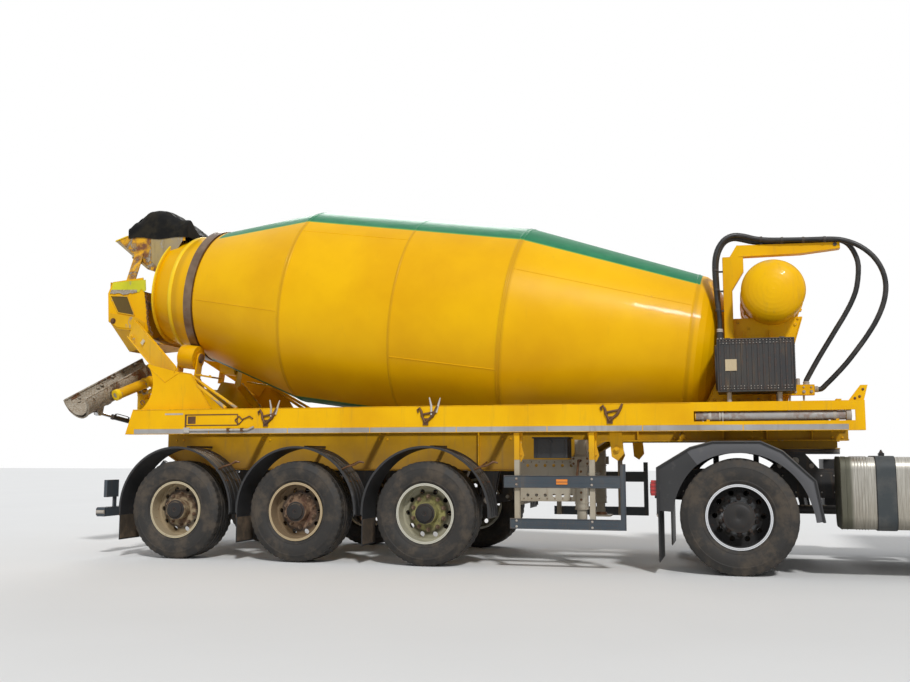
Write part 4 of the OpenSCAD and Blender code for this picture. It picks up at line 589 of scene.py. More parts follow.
class Shape:
    """Collects geometry in metres, in the shared frame, and turns it into one piece."""

    def __init__(self):
        self.bm = bmesh.new()

    def _add(self, verts, faces):
        made = [self.bm.verts.new(v) for v in verts]
        for face in faces:
            self.bm.faces.new([made[i] for i in face])

    def box(self, x, y, z):
        """Ranges along, across and up, x from the rear axle."""
        self._add([at(a, b, c) for c in z for b in y for a in x],
                  [(0, 2, 3, 1), (4, 5, 7, 6), (0, 1, 5, 4), (2, 6, 7, 3), (0, 4, 6, 2), (1, 3, 7, 5)])

    def plate(self, outline, y):
        """Outline of (x, z) points, x from the rear axle, thick from y[0] to y[1]."""
        n = len(outline)
        verts = [at(px, py, pz) for py in y for px, pz in outline]
        walls = [(i, (i + 1) % n, n + (i + 1) % n, n + i) for i in range(n)]
        self._add(verts, [tuple(range(n - 1, -1, -1)), tuple(range(n, 2 * n))] + walls)

    def ring(self, profile, matrix, segments=96, closed=True):
        """Turns a profile of (radius, height) points about the matrix's Z axis."""
        n = len(profile)
        verts = []
        for k in range(segments):
            a = 2 * math.pi * k / segments
            verts += [matrix @ Vector((r * math.cos(a), r * math.sin(a), h)) for r, h in profile]
        faces = []
        for k in range(segments):
            for i in range(n if closed else n - 1):
                j = (i + 1) % n
                m = (k + 1) % segments
                faces.append((k * n + i, m * n + i, m * n + j, k * n + j))
        self._add(verts, faces)

    def tube(self, points, radius, sides=10, caps=True):
        """Round bar along points, its radius one number or one for each point."""
        points = [Vector(p) for p in points]
        radii = radius if isinstance(radius, (list, tuple)) else [radius] * len(points)
        normal = None
        verts = []
        for i, p in enumerate(points):
            way = (points[min(i + 1, len(points) - 1)] - points[max(i - 1, 0)]).normalized()
            if normal is None:
                normal = way.orthogonal().normalized()
            normal = (normal - normal.dot(way) * way).normalized()
            other = way.cross(normal)
            for k in range(sides):
                a = 2 * math.pi * k / sides
                verts.append(p + radii[i] * (math.cos(a) * normal + math.sin(a) * other))
        faces = []
        for i in range(len(points) - 1):
            for k in range(sides):
                m = (k + 1) % sides
                faces.append((i * sides + k, i * sides + m, (i + 1) * sides + m, (i + 1) * sides + k))
        if caps:
            last = (len(points) - 1) * sides
            faces.append(tuple(range(sides - 1, -1, -1)))
            faces.append(tuple(range(last, last + sides)))
        self._add(verts, faces)

    def rod(self, x, y, z, radius, sides=10):
        """Straight bar. A coordinate that changes along it is a pair."""
        ends = zip(*(v if isinstance(v, tuple) else (v, v) for v in (x, y, z)))
        self.tube([at(*end) for end in ends], radius, sides)

    def bolt(self, place, way, radius, height, washer=True):
        """Hexagon head on a washer, standing on place."""
        place, way = Vector(place), Vector(way).normalized()
        if washer:
            self.tube([place, place + way * height * 0.25], radius * 1.35, 16)
        self.tube([place, place + way * height * 0.92, place + way * height],
                  [radius, radius, radius * 0.82], 6)

    def sheet(self, grid, thickness):
        """Closed sheet over rows of points, with its thickness behind them."""
        rows, cols = len(grid), len(grid[0])

        def normal(i, j):
            a = grid[min(i + 1, rows - 1)][j] - grid[max(i - 1, 0)][j]
            b = grid[i][min(j + 1, cols - 1)] - grid[i][max(j - 1, 0)]
            return a.cross(b).normalized()

        outer = [p for row in grid for p in row]
        inner = [grid[i][j] - normal(i, j) * thickness for i in range(rows) for j in range(cols)]
        n = rows * cols
        faces = []
        for i in range(rows - 1):
            for j in range(cols - 1):
                a, b, c, d = i * cols + j, (i + 1) * cols + j, (i + 1) * cols + j + 1, i * cols + j + 1
                faces += [(a, b, c, d), (n + d, n + c, n + b, n + a)]
        rim = [j for j in range(cols)] + [i * cols + cols - 1 for i in range(1, rows)]
        rim += [(rows - 1) * cols + j for j in range(cols - 2, -1, -1)]
        rim += [i * cols for i in range(rows - 2, 0, -1)]
        for a, b in zip(rim, rim[1:] + rim[:1]):
            faces.append((a, n + a, n + b, b))
        self._add(outer + inner, faces)

    def blob(self, centre, size, flat, seed):
        """Lump: a ball pushed about by noise."""
        made = bmesh.ops.create_icosphere(self.bm, subdivisions=2, radius=1.0)
        for vert in made["verts"]:
            d = vert.co.copy()
            k = size * (1 + 0.45 * noise.noise(d * 1.7 + Vector((seed * 3.1, 0, 0))))
            vert.co = Vector(centre) + Vector((d.x, d.y, d.z * flat)) * k

    def piece(self, name, mat, body="trailer", slot=None, bevel=0.0, smooth=True, angle=35, replaces=()):
        slot = slot or SLOTS[mat]
        bmesh.ops.recalc_face_normals(self.bm, faces=self.bm.faces)
        mesh = bpy.data.meshes.new(name)
        self.bm.to_mesh(mesh)
        self.bm.free()
        mesh.materials.append(MATS[mat])
        obj = bpy.data.objects.new(name, mesh)
        bpy.context.scene.collection.objects.link(obj)
        if bevel:
            mod = obj.modifiers.new("bevel", "BEVEL")
            mod.width = bevel
            mod.segments = 2
            mod.limit_method = "ANGLE"
            mod.angle_limit = math.radians(40)
        if smooth:
            mesh.polygons.foreach_set("use_smooth", [True] * len(mesh.polygons))
            mesh.set_sharp_from_angle(angle=math.radians(angle))
        if replaces:
            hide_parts(*replaces)
        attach(obj, body)
        return obj


def shapes(count):
    return [Shape() for _ in range(count)]


def spaced(count, start, step):
    return [start + step * k for k in range(count)]


def circle(matrix, r, h, count, first=0):
    """Points round the matrix's Z axis at radius r and height h."""
    turns = [2 * math.pi * (k + first) / count for k in range(count)]
    return [matrix @ Vector((r * math.cos(a), r * math.sin(a), h)) for a in turns]


def z_of(matrix):
    return matrix.to_3x3() @ Vector((0, 0, 1))


def loop_tube(shape, corners, radius):
    shape.tube(corners + [corners[0]], radius, 8, caps=False)


def frame_across(shape, x, y, z, radius):
    """Round bar along the four edges of an upright rectangle that looks forward."""
    loop_tube(shape, [at(x, y[0], z[0]), at(x, y[1], z[0]), at(x, y[1], z[1]), at(x, y[0], z[1])], radius)


def chequer(shape, i, j, place, reach, slant, radius):
    """One raised bar of a chequered plate, its slant set by its row and column."""
    x, y, z = place
    t = slant if (i + j) % 2 else -slant
    shape.rod((x - reach, x + reach), (y - t, y + t), z, radius, 4)


# Tyres and wheels

TYRE_RADIUS = {"trailer": AXLE_Z, "tractor": DRIVE_AXLE[1]}
TYRE_WIDTH = {"trailer": 0.38, "tractor": 0.31}
RIM_R = 0.286
BEAD_SHARE = 0.39
TREAD_SHARE = 0.36
GROOVE_DEPTH = 0.011
TYRE_SEGMENTS = 144


def tyre_profile(kind):
    """Half profile as (radius, distance from the middle plane), bead to crown."""
    r, w = TYRE_RADIUS[kind], TYRE_WIDTH[kind]
    h = r - RIM_R
    side = [(0.0, BEAD_SHARE), (0.07, BEAD_SHARE), (0.085, 0.412), (0.13, 0.435), (0.16, 0.462), (0.2, 0.468),
            (0.215, 0.463), (0.32, 0.487), (0.45, 0.5), (0.58, 0.499), (0.66, 0.492), (0.675, 0.497),
            (0.72, 0.492), (0.735, 0.484), (0.85, 0.462), (0.9, 0.448), (0.95, 0.43), (0.975, 0.415)]
    return [(RIM_R + 0.0003 + a * h, b * w - (0.0003 if a < 0.08 else 0)) for a, b in side]


def tread_profile(kind):
    """Crown from shoulder to shoulder: ribs and grooves, as (radius, place, is_groove)."""
    r, w = TYRE_RADIUS[kind], TYRE_WIDTH[kind]
    half = TREAD_SHARE * w + 0.008
    grooves = (-0.62, -0.22, 0.22, 0.62)
    points = [(r - 0.002, -half)]
    for g in grooves:
        centre, g_w = g * half, 0.0065
        points += [(r, centre - g_w - 0.002), (r - GROOVE_DEPTH, centre - g_w),
                   (r - GROOVE_DEPTH, centre + g_w),
                   (r, centre + g_w + 0.002)]
    points.append((r - 0.002, half))
    return points


def add_tyre(shape, kind, matrix):
    side = tyre_profile(kind)
    crown = tread_profile(kind)
    profile = [(r, -y) for r, y in side] + crown + [(r, y) for r, y in reversed(side)]
    profile += [(RIM_R + 0.0003, 0.0)]
    first = len(side)
    n = len(profile)
    half = TREAD_SHARE * TYRE_WIDTH[kind]
    verts = []
    for k in range(TYRE_SEGMENTS):
        a = 2 * math.pi * k / TYRE_SEGMENTS
        for i, (r, h) in enumerate(profile):
            # Short blocks at both shoulders: every third segment is cut
            shoulder = abs(h) > 0.66 * half and first - 3 <= i < first + len(crown) + 3
            if shoulder and k % 3 == 0:
                r -= 0.007
            verts.append(matrix @ Vector((r * math.cos(a), r * math.sin(a), h)))
    faces = []
    for k in range(TYRE_SEGMENTS):
        m = (k + 1) % TYRE_SEGMENTS
        for i in range(n):
            j = (i + 1) % n
            faces.append((k * n + i, m * n + i, m * n + j, k * n + j))
    shape._add(verts, faces)


def wheel_matrix(x, y, z, side):
    """Local Z out of the lorry's side, at the wheel's middle."""
    out = Vector((0, side, 0))
    return axis_matrix(at(x, y, z), out, (1, 0, 0))


HUB_BOLTS = 10
BOLT_CIRCLE = 0.1675
TRAILER_WHEEL_Y = 1.058
TWIN_OUTER_Y = 1.093
TWIN_STEP = 0.34
STEER_WHEEL_Y = 1.025


NUT_R = 0.017
NUT_H = 0.028


def add_nuts(shape, matrix, base):
    way = z_of(matrix)
    for place in circle(matrix, BOLT_CIRCLE, base, HUB_BOLTS, 0.5):
        shape.bolt(place, way, NUT_R, NUT_H)
        shape.tube([place, place + way * (NUT_H + 0.012)], NUT_R * 0.55, 10)


def hub_cap(shape, matrix, base, r, depth):
    """Cap with its flange, dome and raised middle."""
    shape.ring([(r * 1.2, base), (r * 1.2, base + 0.008), (r * 1.02, base + 0.012), (r, base + depth * 0.6),
                (r * 0.92, base + depth * 0.86), (r * 0.62, base + depth), (r * 0.25, base + depth),
                (r * 0.22, base + depth * 0.9), (0.004, base + depth * 0.88)], matrix, 48, closed=False)


def valve(shape, matrix, z):
    inner = matrix @ Vector((0.255, 0.0, z))
    outer = matrix @ Vector((0.235, 0.0, z + 0.05))
    shape.tube([inner, outer], 0.005, 8)


def make_trailer_wheels():
    for place, axle_x in zip(("rear", "middle", "front"), AXLE_X):
        for side_name, side in each_side():
            m = wheel_matrix(axle_x, side * TRAILER_WHEEL_Y, TYRE_RADIUS["trailer"], side)
            body = f"wheel_{place}_{side_name}"
            tyre = Shape()
            add_tyre(tyre, "trailer", m)
            tyre.piece(f"tyre_skin_{place}_{side_name}", "tyre", body, angle=28,
                       replaces=(f"tyre_{place}_{side_name}",))
            nuts = Shape()
            add_nuts(nuts, m, 0.034)
            valve(nuts, m, 0.07)
            nuts.piece(f"wheel_nuts_{place}_{side_name}", "worn_steel", body, "beige_rim", angle=30)
            cap = Shape()
            hub_cap(cap, m, 0.15, 0.085, 0.03)
            cap.piece(f"hub_cap_{place}_{side_name}", "hub_black", body, "beige_rim", angle=30)


def make_tractor_wheels():
    for side_name, side in each_side():
        outer = wheel_matrix(DRIVE_AXLE[0], side * TWIN_OUTER_Y, TYRE_RADIUS["tractor"], side)
        inner = outer @ Matrix.Translation((0, 0, -TWIN_STEP))
        body = f"wheel_drive_{side_name}"
        tyres = Shape()
        add_tyre(tyres, "tractor", outer)
        add_tyre(tyres, "tractor", inner)
        tyres.piece(f"twin_tyre_skins_{side_name}", "tyre", body, angle=28,
                    replaces=(f"tyre_drive_{side_name}",))
        nuts = Shape()
        add_nuts(nuts, outer, -0.107)
        nuts.piece(f"drive_nuts_{side_name}", "frame_dark", body, "silver_rim", angle=30)
        cap = Shape()
        hub_cap(cap, outer, 0.12, 0.118, 0.02)
        for spot in circle(outer, 0.088, 0.132, 16):
            cap.bolt(spot, z_of(outer), 0.006, 0.006, washer=False)
        cap.piece(f"drive_hub_{side_name}", "hub_black", body, angle=30)

        steer = wheel_matrix(FRONT_AXLE[0], side * STEER_WHEEL_Y, TYRE_RADIUS["tractor"], side)
        body = f"wheel_steer_{side_name}"
        tyre = Shape()
        add_tyre(tyre, "tractor", steer)
        tyre.piece(f"steer_tyre_skin_{side_name}", "tyre", body, angle=28,
                   replaces=(f"tyre_steer_{side_name}",))
        nuts = Shape()
        add_nuts(nuts, steer, 0.084)
        nuts.piece(f"steer_nuts_{side_name}", "worn_steel", body, "silver_rim", angle=30)
        cap = Shape()
        hub_cap(cap, steer, 0.165, 0.075, 0.02)
        cap.piece(f"steer_hub_{side_name}", "hub_black", body, angle=30)


make_trailer_wheels()
make_tractor_wheels()

# Drum: weld seams, beads and the mouth's ring

DRUM_SECTIONS = [(0.615, -2.214), (0.753, -1.74), (0.765, -1.73), (0.765, -1.594), (0.792, -1.586),
                 (1.13, -0.333), (1.13, 2.149), (0.788, 4.013)]


def drum_radius(s):
    for (r0, s0), (r1, s1) in zip(DRUM_SECTIONS, DRUM_SECTIONS[1:]):
        if s0 <= s <= s1:
            return r0 + (r1 - r0) * (s - s0) / (s1 - s0)
    return DRUM_SECTIONS[-1][0]


def drum_point(s, angle, lift=0.0):
    """Point on the drum, angle in degrees from its top towards the right side."""
    a = math.radians(angle)
    r = drum_radius(s) + lift
    return DRUM @ Vector((-r * math.cos(a), -r * math.sin(a), s))


WELD_RINGS = (-0.352, -0.318, 0.95, 2.13, 2.168, 3.99)
WELD_R = 0.005


def weld_ring(shape, s):
    r = drum_radius(s) - 0.001
    shape.ring([(r, s - 2.2 * WELD_R), (r + WELD_R * 0.8, s - WELD_R), (r + WELD_R, s),
                (r + WELD_R * 0.8, s + WELD_R), (r, s + 2.2 * WELD_R)], DRUM, 144, closed=False)


def make_drum_details():
    welds = Shape()
    for s in WELD_RINGS:
        weld_ring(welds, s)
    for s0, s1, angle in ((2.17, 3.99, 62), (0.96, 2.12, 118), (-0.31, 0.94, 48), (-1.55, -0.36, 100),
                          (2.17, 3.99, 242), (0.96, 2.12, 298), (-0.31, 0.94, 228)):
        steps = 12
        welds.tube([drum_point(s0 + (s1 - s0) * k / steps, angle, -0.001) for k in range(steps + 1)], WELD_R,
                   8)
    welds.piece("drum_welds", "drum", "drum", "yellow_paint", angle=60)
    bead = Shape()
    s = -1.96
    r = drum_radius(s)
    bead.ring([(r - 0.004, s - 0.03), (r + 0.012, s - 0.022), (r + 0.018, s), (r + 0.012, s + 0.022),
               (r - 0.004, s + 0.03)], DRUM, 144, closed=False)
    bead.piece("collar_bead", "yellow_bright", "drum", angle=60)
    lip = Shape()
    lip.ring([(0.618, -2.232), (0.65, -2.232), (0.656, -2.226), (0.656, -2.216), (0.65, -2.21),
              (0.618, -2.21)],
             DRUM, 144)
    lip.piece("mouth_lip", "yellow_bright", "drum", angle=40)


make_drum_details()

# Rubber hood over the hopper: one crumpled sheet and the flap at its rear

HOOD_CREST = ((0.0, 3.89), (0.12, 3.965), (0.24, 4.045), (0.33, 4.085), (0.44, 4.092), (0.58, 4.078),
              (0.75, 4.025),
              (0.9, 3.975), (1.0, 3.95))
HOOD_X = (-1.235, -0.436)
HOOD_HALF_Y = 0.43


def along_knots(knots, t):
    """Smooth value between (place, value) knots."""
    for (t0, v0), (t1, v1) in zip(knots, knots[1:]):
        if t <= t1:
            k = (t - t0) / (t1 - t0)
            k = k * k * (3 - 2 * k)
            return v0 + (v1 - v0) * k
    return knots[-1][1]


def smooth(low, high, value):
    k = min(1.0, max(0.0, (value - low) / (high - low)))
    return k * k * (3 - 2 * k)


def crumple(p, amount, scale):
    """Folds of a stiff rubber sheet: ridges, not bumps."""
    ridge = 0.0
    size = 1.0
    for octave in range(3):
        q = p * scale * (1.9 ** octave)
        ridge += size * (0.5 - abs(noise.noise(q)))
        size *= 0.5
    return amount * (ridge - 0.4)


def make_hood():
    rows, cols = 64, 72
    grid = []
    for i in range(rows + 1):
        t = i / rows
        x = HOOD_X[0] + (HOOD_X[1] - HOOD_X[0]) * t
        top = along_knots(HOOD_CREST, t)
        base = 3.735 - 0.035 * t + 0.012 * math.sin(9 * t)
        row = []
        for j in range(cols + 1):
            a = math.pi * j / cols
            c, s = math.cos(a), math.sin(a)
            y = math.copysign(abs(c) ** 0.4, c) * HOOD_HALF_Y
            # The front end slumps towards the left side
            slump = 0.16 * smooth(0.5, 0.95, t) * smooth(-0.75, 0.1, c)
            z = base + (top - slump - base) * s ** 0.36
            p = at(x, y, z)
            out = Vector((0.25 * (t - 0.5), c, s)).normalized()
            fold = crumple(p, 0.055, 2.6) * min(1, 4 * s + 0.25) * min(1, 6 * t + 0.3)
            row.append(p + out * min(0.002, fold - 0.006))
        grid.append(row)
    # Front wall: the last section folded down
    floor_z = 3.705
    for down in (0.25, 0.5, 0.75, 0.95):
        row = []
        for p in grid[rows]:
            sag = 0.012 * noise.noise(Vector((0.0, p.y * 5, down * 4)))
            row.append(Vector((p.x - abs(sag), p.y * (1 - 0.06 * down), p.z + (floor_z - p.z) * down)))
        grid.append(row)
    shape = Shape()
    shape.sheet(grid, 0.009)
    hood = shape.piece("hood_sheet", "hood_rubber", angle=50, replaces=("hopper_hood",))
    flap_grid = []
    for i in range(15):
        t = i / 14
        row = []
        for j in range(41):
            v = j / 40 * 2 - 1
            sag = 0.028 * math.sin(3 * math.pi * v) * t + 0.018 * math.sin(7 * v + 1.0) * t
            x = -1.09 - 0.14 * t - 0.05 * math.sin(math.pi * t) * (1 - v * v) + sag * 0.5
            z = 4.045 - 0.10 * t - 0.15 * t * t + 0.03 * (1 - v * v) - 0.06 * v * v + sag
            row.append(at(max(x, -1.262), v * (0.36 + 0.045 * t), z))
        flap_grid.append(row)
    flap = Shape()
    flap.sheet(flap_grid, 0.008)
    obj = flap.piece("hood_flap", "hood_rubber", angle=50)


make_hood()

# Hoppers, bracket plates and the rear stand's details


def make_hopper_details():
    plain, wear_and_shade = shapes(2)
    for side in SIDES:
        # Rolled edge along the lip and the sloping floor's side edge
        y = side * 0.424
        plain.rod((-1.41, -1.25), y, (3.716, 3.766), 0.009)
        wear_and_shade.plate([(-1.405, 3.706), (-0.972, 3.352), (-0.942, 3.356), (-1.372, 3.716)],
                   sided(side, 0.42, 0.427))
        # Doubling plate beside the spout
        wear_and_shade.plate([(-0.93, 3.79), (-0.905, 3.43), (-0.77, 3.3), (-0.702, 3.318), (-0.62, 3.47), (-0.5, 3.66),
                    (-0.47, 3.76)], sided(side, 0.4195, 0.4235))
    # Cross bar at the lip and stiffener under the floor
    plain.rod(-1.412, (-0.424, 0.424), 3.714, 0.01, 12)
    wear_and_shade.plate([(-1.2, 3.52), (-1.19, 3.49), (-1.12, 3.435), (-1.11, 3.46)], (-0.4, 0.4))
    plain.piece("hopper_edges", "yellow_bright", bevel=0.0015)
    wear_and_shade.piece("hopper_worn_plates", "hopper_grey", slot="yellow_paint", bevel=0.0015)


def ragged(x0, x1, z, drop, steps, seed):
    """Torn lower edge of a rubber or plastic sheet, from x0 to x1."""
    rng = random.Random(seed)
    return [(x0 + (x1 - x0) * k / steps, z - drop * rng.uniform(0.15, 1.0)) for k in range(steps + 1)]


def make_funnel_details():
    skirt, crust, steel_bits, bolts = shapes(4)
    for side in SIDES:
        # Bright upper sheet with its torn lower edge
        edge = ragged(-1.3, -0.83, 3.075, 0.05, 15, 11 + side)
        outline = [(-0.84, 3.172), (-1.285, 3.16)] + edge
        skirt.plate(outline, sided(side, 0.633, 0.638))
        edge = ragged(-1.32, -0.95, 3.035, 0.035, 12, 5 + side)
        crust.plate([(-0.95, 3.055), (-1.3, 3.07)] + edge, sided(side, 0.634, 0.644))
        # Frame round the recess in the bracket plate
        frame_pts = [(-1.318, 3.0), (-1.078, 2.98), (-0.975, 2.748), (-1.2, 2.79)]
        for a, b in zip(frame_pts, frame_pts[1:] + frame_pts[:1]):
            steel_bits.rod((a[0], b[0]), side * 0.636, (a[1], b[1]), 0.007, 8)
        # Lower bracket with two bolts
        steel_bits.plate([(-1.305, 2.785), (-1.2, 2.77), (-0.965, 2.73), (-0.83, 2.66), (-0.83, 2.575),
                          (-1.2, 2.615),
                          (-1.322, 2.69)], sided(side, 0.632, 0.642))
        for x, z in ((-1.259, 2.692), (-0.931, 2.644)):
            bolts.bolt(at(x, side * 0.642, z), (0, side, 0), 0.026, 0.022)
    skirt.piece("funnel_skirts", "skirt", slot="yellow_paint", bevel=0.001)
    crust.piece("funnel_torn_edges", "crust", slot="yellow_paint", bevel=0.001)
    steel_bits.piece("bracket_frames", "yellow_crusted", bevel=0.002)
    bolts.piece("bracket_bolts", "rust", angle=40)
    # Dark olive plates in the bracket recesses: painted shade
    recess = Shape()
    for side in SIDES:
        recess.plate([(-1.312, 2.994), (-1.082, 2.976), (-0.98, 2.753), (-1.2, 2.795)],
                     sided(side, 0.6325, 0.6345))
    recess.piece("bracket_recesses", "painted_shade_olive", slot="yellow_paint")
    # Rusty chain that hangs between the bracket and the collar, link by link
    chain = Shape()
    links = 15
    for side in SIDES:
        for k in range(links):
            t = k / (links - 1)
            x = -0.812 + 0.1 * t * t + 0.012 * math.sin(6 * t)
            z = 2.96 - 0.44 * t
            turn = math.pi / 2 * (k % 2) + 0.3
            c = at(x, side * 0.66, z)
            u = Vector((math.cos(turn), math.sin(turn), 0)) * 0.011
            v = Vector((0.22 * t, 0, -1)).normalized() * 0.021
            loop = [c + u * math.cos(a) + v * math.sin(a) for a in [2 * math.pi * m / 14 for m in range(15)]]
            chain.tube(loop, 0.0042, 6, caps=False)
    chain.piece("bracket_chains", "rust", angle=60)


def make_stand_details():
    folds, bits, dark, pale = shapes(4)
    for side in SIDES:
        # V-shaped fold lines and edge flanges of the side panel
        y = side * 1.1335
        folds.tube([at(-0.45, y, 2.09), at(-0.229, y, 1.905), at(-0.046, y, 2.012)], 0.004, 6)
        folds.tube([at(-0.05, y, 2.015), at(0.09, y, 1.994), at(0.35, y, 1.607)], 0.005, 6)
        folds.rod((-0.62, 0.34), y, 1.606, 0.003, 6)
        # Arm: side ribs, its pale square, nuts
        a, b = at(-0.16, side * 1.126, 1.985), at(-0.985, side * 0.652, 2.585)
        run = (b - a).normalized()
        out = Vector((0, side, 0))
        across = run.cross(out).normalized()
        for s in (-1, 1):
            folds.tube([a + across * 0.108 * s + out * 0.004, b + across * 0.108 * s + out * 0.004], 0.007, 8)
        mid = a + (b - a) * 0.7
        n = across.cross(run).normalized() * side
        n = n if n.y * side > 0 else -n
        lift = n * 0.0095
        corners = [mid + lift + run * u * 0.03 + across * v * 0.03 for u,
                   v in ((-1, -1), (1, -1), (1, 1), (-1, 1))]
        pale._add(corners + [c + n * 0.002 for c in corners],
                  [(0, 1, 2, 3), (4, 5, 6, 7), (0, 1, 5, 4), (1, 2, 6, 5), (2, 3, 7, 6), (3, 0, 4, 7)])
        pale.plate([(-0.08, 1.575), (0.075, 1.558), (0.078, 1.532), (-0.08, 1.545)],
                   sided(side, 1.1325, 1.1345))
        for t in (0.93, 0.86):
            for s in (-0.06, 0.06):
                bits.bolt(a + (b - a) * t + across * s + n * 0.009, n, 0.014, 0.014)
        # Small hook on the panel's rear edge
        hook = [at(-0.5, side * 1.139, 1.66), at(-0.52, side * 1.145, 1.69), at(-0.5, side * 1.15, 1.71),
                at(-0.475, side * 1.145, 1.7), at(-0.47, side * 1.139, 1.675)]
        dark.tube(hook, 0.007, 8)
        # Seat under the roller
        bits.plate([(-0.09, 2.03), (0.14, 1.99), (0.12, 1.975), (-0.09, 2.012)], sided(side, 0.52, 0.74))
        for x in (-0.05, 0.07):
            bits.bolt(at(x, side * 0.68, 2.018 - 0.15 * (x + 0.05)), (0.15, 0, 1), 0.014, 0.014)
        # Ribs on the strut
        p, q = at(-0.24, side * 0.64, 1.985), at(0.33, side * 0.48, 1.42)
        way = (q - p).normalized()
        up = way.cross(Vector((0, 1, 0))).normalized()
        for s in (-1, 1):
            bits.tube([p + up * 0.043 * s, q + up * 0.043 * s], 0.008, 8)
        # Outer strut from the roller seat to the rail
        bits.rod((-0.02, 0.56), (side * 1.08, side * 1.19), (1.985, 1.606), 0.02, 8)
        bits.rod((0.03, 0.68), (side * 1.04, side * 1.17), (1.99, 1.607), 0.018, 8)
    folds.piece("stand_folds", "yellow", angle=50)
    bits.piece("stand_struts", "yellow_crusted", bevel=0.002)
    dark.piece("stand_hooks", "rust", angle=60)
    pale.piece("stand_blank_plates", "blank_plate", slot="yellow_paint", bevel=0.0008)


def make_roller_details():
    """Flanged rims and bearing caps of the support rollers."""
    for name in ("left", "right"):
        joint = JOINTS[f"roller_{name}_spin"]
        m = axis_matrix(joint["pos_m"], joint["axis"])
        rim = Shape()
        for h in (-0.0985, 0.0985):
            inward = 0.006 if h > 0 else -0.006
            rim.ring([(0.052, h), (0.132, h), (0.1385, h - inward), (0.1385, h - 2.5 * inward),
                      (0.128, h - 2.5 * inward),
                      (0.052, h - 2.5 * inward)], m, 64)
        for spot in circle(m, 0.095, 0.0985, 8):
            rim.bolt(spot, z_of(m), 0.009, 0.006, washer=False)
        rim.piece(f"roller_rims_{name}", "yellow_crusted", f"roller_{name}", bevel=0.001)
        cap = Shape()
        for h, way in ((0.131, 1), (-0.131, -1)):
            cap.ring([(0.055, h - 0.001 * way), (0.055, h + 0.008 * way), (0.04, h + 0.02 * way),
                      (0.012, h + 0.024 * way),
                      (0.004, h + 0.024 * way)], m, 32, closed=False)
            for spot in circle(m, 0.045, h + 0.005 * way, 6):
                cap.bolt(spot, z_of(m) * way, 0.006, 0.008, washer=False)
        cap.piece(f"roller_caps_{name}", "worn_steel")


make_hopper_details()
make_funnel_details()
make_stand_details()
make_roller_details()

# Chute: rolled rims, ribs, crust of set concrete, jack's fittings

CHUTE_SWING = math.radians(180 + 70)
CHUTE_POST_X = -1.22
TROUGH_SLOPE = math.radians(28)
TROUGH_AXIS_Z = 2.23
TROUGH_RUN = (-0.14, 1.09)
RIB_STEPS = 28


def chute_at(x, y, z):
    """Point in the chute's own frame: +X down the stowed chute, from the swivel post's axis."""
    c, s = math.cos(CHUTE_SWING), math.sin(CHUTE_SWING)
    return at(CHUTE_POST_X + x * c - y * s, x * s + y * c, z)


def trough_at(run, a, r):
    """Point round the trough's axis: a from straight down, in degrees, towards +Y."""
    t = math.radians(a)
    side = r * math.sin(t)
    down = r * math.cos(t)
    x = run * math.cos(TROUGH_SLOPE) - down * math.sin(TROUGH_SLOPE)
    z = TROUGH_AXIS_Z - run * math.sin(TROUGH_SLOPE) - down * math.cos(TROUGH_SLOPE)
    return chute_at(x, side, z)


